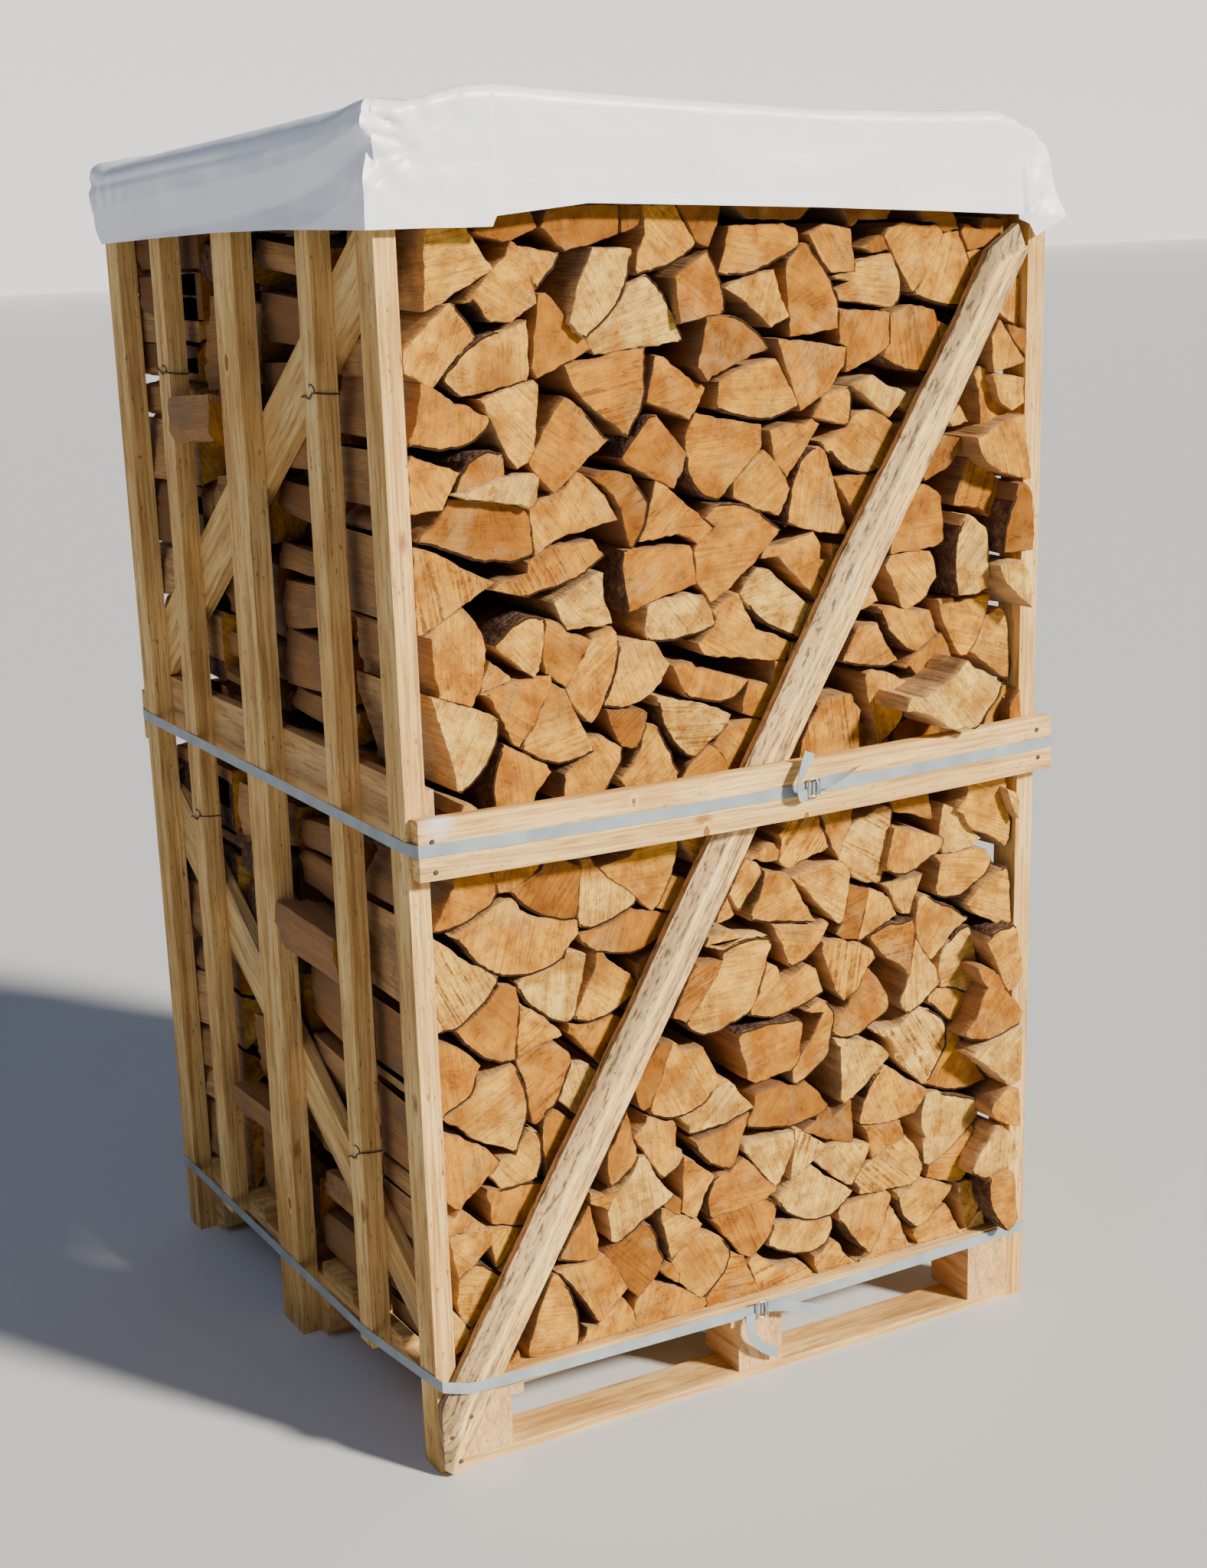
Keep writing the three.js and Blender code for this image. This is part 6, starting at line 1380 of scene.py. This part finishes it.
# How far the flanks stand in from each other, how late each begins and how much it rises
FLANK_INSETS = (0, 3, 1, 5, 2, 4)
FLANK_BEGINS = 13
FLANK_RISE = 18
FLANK_LEAST = 14
FLANK_DEEP = (70, 105)
FLANK_WEDGE = (0.05, 0.42)
BARK_SHARE = 0.15
# Logs of the traced table stand in the inner rows too, save those this near to the sides
EDGE_LOGS = 150


def side_log(face, low, high, mirrored, front, barked, lean):
    """A log whose flank fills a span of heights; it narrows toward the inside of the crate."""
    log = Log("t" + str(random.choice((1, 2, 2, 3))))
    middle = (low + high) / 2
    deep = random.uniform(*FLANK_DEEP)
    log.points = [
        (face + lean, low + 1.5), (face + deep * 0.6, low + random.uniform(2, 12)),
        (face + deep, middle + random.uniform(-12, 12)), (face + deep * 0.5, high - random.uniform(2, 12)),
        (face + 12 - lean * 0.8, high - 1.5), (face, middle + random.uniform(-0.3, 0.3) * (high - low)),
    ]
    edge = face + 16
    outer = [x < edge for x, z in log.points]
    log.bark = [barked and outer[i] and outer[(i + 1) % len(outer)] for i in range(len(outer))]
    if mirrored:
        log.mirror()
    log.front = front
    return log


def sloping(pile, log, rise, end, free):
    """Adds a side log that rises toward the back of the crate; a free one may stand out past the slats.
    The others are wedges, thinner toward one of their ends."""
    middle = sum(spot[1] for spot in log.points) / len(log.points)
    wedge = 0 if free else random.choice((-1, 1)) * random.uniform(*FLANK_WEDGE)

    def risen(q, y):
        share = (y - log.front) / (end - log.front) - 0.5
        thick = 1 + wedge * share - abs(wedge) * 0.2
        lifted = Vector((q.x, middle + (q.y - middle) * thick + rise * share))
        return lifted if free else kept_clear(lifted, y)

    length = end - log.front
    depths = [END_ARRIS] + [length * share for share in (0.08, 0.3, 0.55, 0.8, 1)]
    pile.log(log, depths, FLANK_STEPS, FLANK_ROUGH, risen)


def inner_row(name, spans, poking, front, length, solid):
    """An inner row: mirrored logs of the table in its middle and side logs along both flanks."""
    pile = Pile()
    for log in read_logs():
        reach = [x for x, z in log.points]
        if min(reach) < EDGE_LOGS or max(reach) > POST_SPAN - EDGE_LOGS:
            continue
        log.mirror()
        log.front = front + random.uniform(0, 4)
        pile.log(log, (2, length), INNER_STEPS, INNER_ROUGH)
    for log in hidden_logs(front + 2)[1:9]:
        pile.log(log, (2, length), INNER_STEPS, INNER_ROUGH)
    # on the right side, which the photograph doesn't show, each log reaches up to the next one
    closed = [(here[0], above[0] - 3) for here, above in zip(spans, spans[1:])] + spans[-1:]
    for mirrored in (False, True):
        for index, (low, high) in enumerate(closed if mirrored else spans):
            if high - low < FLANK_LEAST:
                continue
            face = LOG_INNER_FACE + FLANK_INSETS[index % len(FLANK_INSETS)]
            begin = front + random.uniform(0, FLANK_BEGINS)
            barked = random.random() < BARK_SHARE
            log = side_log(face, low, high, mirrored, begin, barked, random.uniform(*FLANK_LEANS))
            sloping(pile, log, random.uniform(-FLANK_RISE, FLANK_RISE), front + length, False)
    for face, low, high, rise, begin, end in poking:
        sloping(pile, side_log(face, low, high, False, begin, False, POKING_LEAN), rise, end, True)
    pile.build(name, False, solid)


inner_row("beech_logs_second", FLANKS_SECOND, POKING_SECOND, 252, 234, "firewood_row_2")
inner_row("beech_logs_third", FLANKS_THIRD, POKING_THIRD, 496, 228, "firewood_row_3")


# Middle rails: a bowed batten with softened arrises and a slightly uneven saw cut
RAIL_STEPS = 66
RAIL_SECTION = (1, 21.4, 79)
RAIL_ARRIS = 1.8
RAIL_ROUGH = 1.5
RAIL_SWELL = 0.012
SWELL_STEP = 0.33


def rail_middle(x):
    """The middle of the rail's section at x."""
    return place(x, -GAP - rail_bow(x) - RAIL_THICK / 2, (RAIL_BOTTOM + RAIL_TOP) / 2)


def rail(name, x0, x1, solid, half_turned):
    piece = add_plane(name, rail_middle(x0), (0, math.radians(90), 0), RAIL_SECTION)
    bpy.ops.mesh.bevel(offset=RAIL_ARRIS * MM, segments=2, affect="VERTICES")
    bpy.ops.mesh.select_all(action="SELECT")
    for i in range(RAIL_STEPS):
        here = rail_middle(x0 + (x1 - x0) * i / RAIL_STEPS)
        ahead = rail_middle(x0 + (x1 - x0) * (i + 1) / RAIL_STEPS)
        pull(ahead - here)
        before = noise.noise(Vector((i * SWELL_STEP - SWELL_STEP, 2, 5)))
        swell = 1 + RAIL_SWELL * (noise.noise(Vector((i * SWELL_STEP, 2, 5))) - before)
        bpy.ops.transform.resize(value=(1, 1, swell), center_override=ahead)
    bpy.ops.transform.vertex_random(offset=RAIL_ROUGH * MM, uniform=1, normal=0, seed=8)
    set_outwards()
    smoothed(piece, BOARD_SMOOTH)
    if half_turned:
        turn_half(piece)
    finished(piece, [PINE_RAIL], "pine", solid)


rail("middle_rail_front", 6, 1012, "rail_front", False)
rail("middle_rail_back", -9, 995, "rail_back", True)

# Long braces: slabs with a proud ridge along them, sawn flush at the foot and broken at the tip.
# Both edges are traced on the photographed front: x, z from the foot up.
BRACE_LEFT = [
    (-130, -109.7), (552.7, 1009.1), (653.2, 1182.6), (739.0, 1314.7), (835.6, 1468.5), (892.8, 1566.1),
]
BRACE_RIGHT = [(17, 2), (623.7, 1009.1), (673, 1087), (812, 1314.7), (873, 1416.3), (936, 1521)]
BRACE_TIP = ((942.1, 1597.7), (952.5, 1565.5), (964.8, 1568.1))
BRACE_AXIS = Vector((0.5205, 0.8539))
BRACE_STEPS = 90
# How far the brace's foot stays in from the outer face of the post
FOOT_EDGE = 0.2
# How far across the ridge lies, at the foot, half way and at the tip
RIDGE_SHARE = [(0, 0.54), (0.5, 0.46), (1, 0.4)]
# What each point of the section gives its finish: 0 at the left edge, 1 on the ridge, 2 at the right
BRACE_FACETS = (0, 0, 0.5, 1, 2, 2)


def edge_point(edge, s):
    """The point of an edge at the distance s along the brace."""
    spots = [(Vector(p).dot(BRACE_AXIS), p) for p in edge]
    return Vector((along([(t, p[0]) for t, p in spots], s), along([(t, p[1]) for t, p in spots], s)))


def brace_ring(s, i):
    """The section at the distance s: flat behind, with the ridge about half way across in front."""
    if i > BRACE_STEPS:
        left, inner, right = (Vector(p) for p in BRACE_TIP)
        ridge = inner
    else:
        left = edge_point(BRACE_LEFT, s) + Vector((-0.85, 0.52)) * noise.noise(Vector((s * 0.02, 1.7, 0))) * 2
        right = edge_point(BRACE_RIGHT, s)
        if left.x < FOOT_EDGE:
            left = left.lerp(right, (FOOT_EDGE - left.x) / (right.x - left.x))
        share = along(RIDGE_SHARE, i / BRACE_STEPS) + 0.06 * noise.noise(Vector((s * 0.009, 5.1, 0)))
        ridge = left.lerp(right, share)
        inner = left.lerp(right, share * 0.5)
    wave = 0.9 * noise.noise(Vector((s * 0.02, 9.9, 0)))
    return [
        (left.x, -GAP, left.y), (left.x, -GAP - 12 + wave, left.y), (inner.x, -GAP - 16.5 + wave, inner.y),
        (ridge.x, -GAP - BRACE_THICK + 0.3, ridge.y), (right.x - 1, -GAP - 12.5 - wave, right.y),
        (right.x, -GAP, right.y),
    ]


def brace(name, solid, half_turned):
    """A brace from foot to tip; its last ring is the broken tip."""
    start = Vector(BRACE_RIGHT[0]).dot(BRACE_AXIS)
    end = Vector(BRACE_LEFT[-1]).dot(BRACE_AXIS)
    stations = [start + (end - start) * min(i, BRACE_STEPS) / BRACE_STEPS for i in range(BRACE_STEPS + 2)]
    piece = from_rings(name, [brace_ring(s, i) for i, s in enumerate(stations)])
    mesh = piece.data
    facet = mesh.attributes.new("facet", "FLOAT", "POINT")
    facet.data.foreach_set("value", BRACE_FACETS * len(stations))
    grain = mesh.uv_layers.new(name="grain")
    for loop in mesh.loops:
        spot = mesh.vertices[loop.vertex_index].co
        flat = Vector((spot.x, spot.z))
        sideways = flat.x * BRACE_AXIS.y - flat.y * BRACE_AXIS.x
        grain.data[loop.index].uv = (flat.dot(BRACE_AXIS), sideways + spot.y)
    if half_turned:
        turn_half(piece)
    finished(piece, [SLAB_PINE], "weathered_pine", solid)


brace("slab_brace_front", "brace_front", False)
brace("slab_brace_back", "brace_back", True)


# Loose tails of the straps
TAIL_PARTS = 6


def ribbon(name, stations, wide):
    """A flat strap end: stations are its middle and the direction across it, in crate millimetres."""
    middles = curved([middle for middle, across in stations], TAIL_PARTS)
    turns = curved([across for middle, across in stations], TAIL_PARTS)
    rings = []
    for i, (middle, across) in enumerate(zip(middles, turns)):
        ahead = middles[min(i + 1, len(middles) - 1)] - middles[max(i - 1, 0)]
        side = across.normalized() * wide / 2
        face = ahead.cross(across).normalized() * STRAP_THICK / 2
        rings.append([middle + side + face, middle - side + face, middle - side - face, middle + side - face])
    finished(from_rings(name, rings), [STRAP], "webbing")


UP = (0, 0, 1)
ribbon("strap_tail_up", [
    ((572, -47.6, 873), (0.1, 0, 1)), ((562, -50, 870), (0.4, 0.3, 0.9)),
    ((551, -56, 876), (0.6, 0.75, 0.3)), ((549, -60, 892), (0.75, 0.65, 0)),
    ((558, -59, 911), (0.95, 0.2, -0.25)), ((571, -53, 930), (0.9, 0, -0.38)),
], 17)
ribbon("strap_tail_right", [
    ((588, -48.5, 883), UP), ((599, -51, 885), (0.1, 0.25, 1)), ((614, -55, 889), (0.3, 0.6, 0.55)),
    ((630, -58, 894), (0.45, 0.85, 0.1)), ((647, -59, 901), (0.5, 0.86, -0.22)),
], 16)
ribbon("strap_tail_along", [
    ((516, -15, 113), UP), ((533, -19, 112), (0.2, 0, 1)), ((550, -22, 108), (0.35, 0, 1)),
    ((582, -22, 96), (0.36, 0, 1)), ((617, -20, 81), (0.3, 0, 1)),
], 16)
ribbon("strap_tail_down", [
    ((490, -16, 108), (1, -0.1, 0.1)), ((488, -19, 92), (1, -0.1, 0.25)), ((492, -20, 72), (0.85, 0, 0.55)),
    ((512, -17, 50), (0.6, 0, 0.8)), ((539, -12, 32), (0.1, 0, 1)),
], 15)


# Wire buckles: a bent frame against the strap, with a bar that stands off it and holds the tails
MIDDLE_BUCKLE = (581, -47.2, 879.5)
BOTTOM_BUCKLE = (510.5, -14.6, 111.5)
FRAME_RADIUS = 1.6
BAR_RADIUS = 1.5
WIRE_PARTS = 4


def buckle(name, x, y, z, solid):
    """A buckle round its middle: the corners of its frame are set off from there."""
    corners = [
        (-9, -1, -11), (-9, -1.6, 10), (-7.4, -1.8, 12), (7.4, -1.8, 12), (9, -1.6, 10), (9, -1, -11),
        (7.4, -1, -12.4), (-7.4, -1, -12.4),
    ]
    wire(name, [(x + dx, y + dy, z + dz) for dx, dy, dz in corners], FRAME_RADIUS, True, WIRE, solid)
    bar = [
        (x + 3, y - 2, z + 12), (x + 3.6, y - 4.5, z + 4), (x + 3.6, y - 4.5, z - 5),
        (x + 3, y - 1.6, z - 12.4),
    ]
    wire(name + "_bar", curved(bar, WIRE_PARTS), BAR_RADIUS, False, WIRE)


buckle("wire_buckle_middle", *MIDDLE_BUCKLE, "buckle_middle")
buckle("wire_buckle_bottom", *BOTTOM_BUCKLE, "buckle_bottom")


# Nails of the rail and of the brace's foot, seen as heads: x, z, and how far in front of the posts
# the middle of the head lies, the rail's bow not counted
NAIL_HEADS = [
    (24, 889, 22.1), (27, 849, 22.1), (988, 858, 22.1), (984, 899, 22.1),
    (22, 22, 17.5), (12, 60, 16), (40, 84, 17.5),
]
HEAD_RADIUS = 3.2
HEAD_THICK = 2.4
HEAD_ARRIS = 0.7


def nails():
    for index, (x, z, out) in enumerate(NAIL_HEADS):
        bow = rail_bow(x) if z > RAIL_BOTTOM else 0
        bpy.ops.object.select_all(action="DESELECT")
        bpy.ops.mesh.primitive_cylinder_add(
            vertices=16, radius=HEAD_RADIUS * MM, depth=HEAD_THICK * MM,
            location=place(x, -GAP - bow - out, z), rotation=(math.radians(90), 0, 0),
        )
        bpy.ops.object.transform_apply(location=True, rotation=True, scale=True)
        piece = bpy.context.object
        piece.name = "nail_head_" + str(index + 1)
        bpy.ops.object.mode_set(mode="EDIT")
        bpy.ops.mesh.select_all(action="SELECT")
        bpy.ops.mesh.bevel(offset=HEAD_ARRIS * MM, segments=2)
        bpy.ops.object.mode_set(mode="OBJECT")
        bpy.ops.object.shade_smooth()
        finished(piece, [RUST], "steel")


nails()


# Tie wires round the slats of the left side, with a loose hooked end
TIE_RADIUS = 1.1
HOOK_RADIUS = 1.0


def tie(name, y0, y1, z, dip):
    """A wire across a slat from y0 to y1, sagging in its middle and dipping toward its far end."""
    near = [(31, y0 - 1, z - 3), (14, y0 - 1.6, z - 2)]
    across = [(-1.6 - (k % 2), y0 + (y1 - y0) * k / 4, z + dip * k / 4 - 5 * (k == 2)) for k in range(5)]
    far = [(14, y1 + 1.4, z + dip), (31, y1 + 1, z + dip)]
    wire(name, curved(near + across + far, WIRE_PARTS), TIE_RADIUS, False, RUST)
    hook = [(-2, y0 + 3, z), (-4, y0 + 1, z + 7), (-6, y0 + 6, z + 11), (-5, y0 + 12, z + 8)]
    wire(name + "_hook", curved(hook, WIRE_PARTS), HOOK_RADIUS, False, RUST)


tie("tie_wire_front_top", 194, 238, 1425, -7)
tie("tie_wire_back_top", 736, 781, 1425, 4)
tie("tie_wire_back_low", 748, 792, 760, -9)
tie("tie_wire_front_low", 206, 249, 396, -20)


# Foil hood: each station is x, y, height of the hem and of the edge of the top
HOOD_STATIONS = [
    (-11, -12, 1620, 1765), (36, -13, 1620, 1761), (60, -13, 1620, 1767), (110, -13, 1619, 1778),
    (150, -13, 1619, 1780), (156, -13, 1631, 1780), (280, -13, 1642, 1770), (450, -13, 1635, 1759),
    (631, -13, 1627, 1748), (800, -13, 1618, 1743), (915, -13, 1611, 1744),
    (955, -13, 1609, 1730), (972, -15, 1580, 1726), (994, -18, 1592, 1720), (1018, -19, 1603, 1706),
    (1013, 30, 1606, 1708), (1011, 250, 1606, 1722), (1011, 500, 1606, 1726), (1011, 750, 1604, 1720),
    (1010, 986, 1602, 1704), (750, 988, 1604, 1716), (500, 988, 1604, 1722), (250, 988, 1604, 1716),
    (-11, 986, 1604, 1722), (-12, 750, 1612, 1733), (-12, 500, 1619, 1743), (-12, 250, 1622, 1754),
]
HOOD_MIDDLE = Vector((500, 480))
HOOD_REACH = (511, 500)
# The top lies on a plane that falls to the right and to the back: its height, and the fall per millimetre
HOOD_TOP = (1768, 0.03, 0.035)
HOOD_CORNERS = [Vector((-11, -12)), Vector((1012, -14)), Vector((1010, 987)), Vector((-11, 987))]
# The fold on the left side, as y and height: below it the foil flares outwards
HOOD_FOLD = [(0, 1712), (60, 1690), (140, 1668), (300, 1648), (480, 1634), (760, 1618), (1000, 1604)]
# The size of the mesh: steps along the edge, levels up the sides, round the edge and over the top
HOOD_STEP = 8
HOOD_FRONT_STEP = 4
HOOD_LEAST_PARTS = 5
HOOD_LEVELS = 34
ROUND_STEPS = 5
TOP_STEPS = 16
HOOD_THICK = 1.2
# How far the rounded edge of the top reaches inwards and down, at the front and along the left side
FRONT_ROUNDING = (16, 16)
LEFT_ROUNDING = (58, 30)
# The left side between its fold (0) and the top (1): how far it stands out, in soft bands along it
LEFT_BANDS = [(-9, 0), (0, -7), (0.42, 3.6), (0.62, 0.6), (0.71, -3), (0.82, 2.4), (1, 0)]
# Sharp creases of the front: both ends, then how deep each is and how wide
CREASES = [
    ((3, 1744), (36, 1733), 4, 3.4), ((0, 1726), (34, 1716), 4.5, 3.4), ((4, 1697), (56, 1709), 3.6, 4),
    ((3, 1672), (44, 1698), 3.2, 4), ((960, 1604), (987, 1630), 6, 4), ((956, 1604), (955, 1662), 8, 3),
    ((970, 1672), (980, 1712), 3.5, 4), ((84, 1735), (112, 1762), 2.4, 4),
]
# The right front corner sits tight on its post at the top and stands off as an ear below
EAR_TIGHT = 17
EAR_REACH = 48
EAR_HEM = 1606
EAR_TALL = 62
# Below the fold the left side flares out this far over this height
FLARE = 11
FLARE_TALL = 40
# Left of here the front lies flat in a doubled fold, which stands out a little
FRONT_FOLD = 156
FOLD_OUT = 1.6
# Fine pleats near the corners: how far they stand out and how soon they fade
PLEAT = 3.2
PLEAT_REACH = 60


def hood_outline():
    """The stations with more points between them."""
    points = []
    for i, station in enumerate(HOOD_STATIONS):
        a = Vector(station)
        b = Vector(HOOD_STATIONS[(i + 1) % len(HOOD_STATIONS)])
        step = HOOD_FRONT_STEP if max(a.y, b.y) < 0 else HOOD_STEP
        parts = max(HOOD_LEAST_PARTS, round((b.xy - a.xy).length / step))
        points += [a.lerp(b, k / parts) for k in range(parts)]
    return points


def creased(spot):
    """How deep the creases of the front are at a point of it."""
    deep = 0
    for start, end, depth, width in CREASES:
        a, b = Vector(start), Vector(end)
        share = clamp((spot - a).dot(b - a) / (b - a).length_squared, 0, 1)
        away = (spot - a.lerp(b, share)).length
        deep += depth * (1 - 0.5 * share) * math.exp(-(away / width) ** 2)
    return deep


def rounding(p):
    """How far the edge of the top is rounded inwards and down at a point of the outline."""
    left = clamp((20 - p[0]) / 25, 0, 1) * clamp((p[1] - 10) / 90, 0, 1) * clamp((990 - p[1]) / 50, 0, 1)
    return [a + (b - a) * left for a, b in zip(FRONT_ROUNDING, LEFT_ROUNDING)]


def drawn_in(p, amount):
    """A point of the outline, drawn toward the middle by about that many millimetres."""
    run = p.xy - HOOD_MIDDLE
    return HOOD_MIDDLE + Vector((run.x * (1 - amount / HOOD_REACH[0]), run.y * (1 - amount / HOOD_REACH[1])))


def top_height(x, y):
    """The height of the top inside its edge, with the lumps of the logs below and a few soft creases."""
    level, fall_x, fall_y = HOOD_TOP
    lumps = noise.noise(Vector((x * 0.008, y * 0.008, 3))) * 10
    creases = 1 - abs(noise.noise(Vector((x * 0.006, y * 0.011, 8))))
    return level - fall_x * x - fall_y * y + lumps + 5 * creases ** 4


def stand_out(p, height):
    """How far the foil stands out from the flat side at a height."""
    share = clamp((height - p[2]) / max(p[3] - p[2], 1), 0, 1)
    corner = (p.xy - HOOD_CORNERS[1]).length
    out = 2.0 * noise.noise(Vector((p[0] * 0.006, p[1] * 0.006, height * 0.03)))
    out += 1.0 * noise.noise(Vector((p[0] * 0.03, p[1] * 0.03, height * 0.012 + 7)))
    if p[0] < 0:
        fold = along(HOOD_FOLD, p[1])
        flare = clamp((fold - height) / FLARE_TALL, 0, 1) * FLARE
        out += flare + along(LEFT_BANDS, (height - fold) / (p[3] - fold))
    elif p[1] < 0:
        out -= creased(Vector((p[0], height)))
        if p[0] < FRONT_FOLD:
            out += FOLD_OUT
    tight = EAR_TIGHT * math.exp(-((corner / EAR_REACH) ** 2))
    out -= tight * clamp((height - EAR_HEM) / EAR_TALL, 0, 1)
    near = min((p.xy - corner).length for corner in HOOD_CORNERS)
    pleat = math.sin(near * 0.13 + height * 0.1) * math.exp(-near / PLEAT_REACH)
    return out - PLEAT * pleat * share


def hood_rows():
    """Rows of points from the hem up the sides, round the edge and over the top."""
    outline = hood_outline()
    rows = []
    for level in range(HOOD_LEVELS + 1):
        row = []
        for p in outline:
            height = p[2] + (p[3] - rounding(p)[1] - p[2]) * level / HOOD_LEVELS
            spot = drawn_in(p, -stand_out(p, height))
            row.append((spot.x, spot.y, height))
        rows.append(row)
    for k in range(1, ROUND_STEPS + 1):
        angle = k * math.pi / 2 / ROUND_STEPS
        row = []
        for p in outline:
            inwards, down = rounding(p)
            held = stand_out(p, p[3] - down)
            spot = drawn_in(p, inwards * (1 - math.cos(angle)) - held)
            row.append((spot.x, spot.y, p[3] - down * (1 - math.sin(angle))))
        rows.append(row)
    for k in range(1, TOP_STEPS):
        share = k / TOP_STEPS
        row = []
        for p in outline:
            inwards, down = rounding(p)
            spot = drawn_in(p, inwards - stand_out(p, p[3] - down)).lerp(HOOD_MIDDLE, share)
            inside = top_height(*spot)
            row.append((spot.x, spot.y, inside + (p[3] - inside) * (1 - share) ** 5))
        rows.append(row)
    return rows


def hood():
    """The hood: a skin over all rows and the middle of the top, then given its thickness inwards."""
    rows = hood_rows()
    count = len(rows[0])
    vertices = [place(*spot) for row in rows for spot in row]
    vertices.append(place(*HOOD_MIDDLE, top_height(*HOOD_MIDDLE)))
    last = (len(rows) - 1) * count
    faces = wall_faces(len(rows), count)
    faces += [[last + i, last + (i + 1) % count, len(vertices) - 1] for i in range(count)]
    piece = from_mesh("foil_hood", vertices, faces)
    wall = piece.modifiers.new("wall", "SOLIDIFY")
    wall.thickness = HOOD_THICK * MM
    wall.offset = -1
    bpy.ops.object.modifier_apply(modifier="wall")
    smoothed(piece, FOIL_SMOOTH)
    finished(piece, [FOIL], "foil", "cover")


hood()

# Floor and light: a plain pale studio, with the sun high on the right front and a fill on the left.
# Its places are in the frame's metres.
AIM = Vector((0, 0, 0.85))
LAMPS = [
    ("key", "SUN", Vector((2.7, -4.5, 3.85)), 8.8, "#FFF6E5"),
    ("fill", "AREA", Vector((-3.0, -1.0, 4.2)), 22, "#E2EBFF"),
]

SUN_WIDTH = 7
FILL_SIZE = 3.0
SKY_STRENGTH = 0.2
FLOOR_MIDDLE = (20, 10, 0)
FLOOR_SIZE = 80
BACKDROP_HEIGHT = 9


def studio():
    """The floor, drawn up behind the crate as a backdrop, and the lights."""
    floor = add_plane("studio_floor", FLOOR_MIDDLE, (0, 0, 0), (FLOOR_SIZE / MM, FLOOR_SIZE / MM, 1))
    bpy.ops.mesh.select_all(action="DESELECT")
    bpy.ops.object.mode_set(mode="OBJECT")
    for edge in floor.data.edges:
        ends = [floor.data.vertices[k].co.y for k in edge.vertices]
        edge.select = min(ends) > FLOOR_MIDDLE[1]
    bpy.ops.object.mode_set(mode="EDIT")
    pull((0, 0, BACKDROP_HEIGHT))
    bpy.ops.object.mode_set(mode="OBJECT")
    made, tree, shader = material("studio_floor")
    feed(tree, shader, {"Base Color": colour("#CACCCF"), "Roughness": 0.9})
    floor.data.materials.append(made)
    world = bpy.data.worlds.new("studio_light")
    world.use_nodes = True
    sky = world.node_tree.nodes["Background"]
    feed(world.node_tree, sky, {"Color": colour("#CCDDFF"), "Strength": SKY_STRENGTH})
    bpy.context.scene.world = world
    for name, kind, spot, power, tint in LAMPS:
        light = bpy.data.lights.new(name, kind)
        light.energy = power
        light.color = colour(tint)[:3]
        if kind == "SUN":
            light.angle = math.radians(SUN_WIDTH)
        else:
            light.size = FILL_SIZE
        lamp = bpy.data.objects.new(name, light)
        lamp.location = spot
        lamp.rotation_euler = (AIM - spot).to_track_quat("-Z", "Y").to_euler()
        bpy.context.scene.collection.objects.link(lamp)


studio()
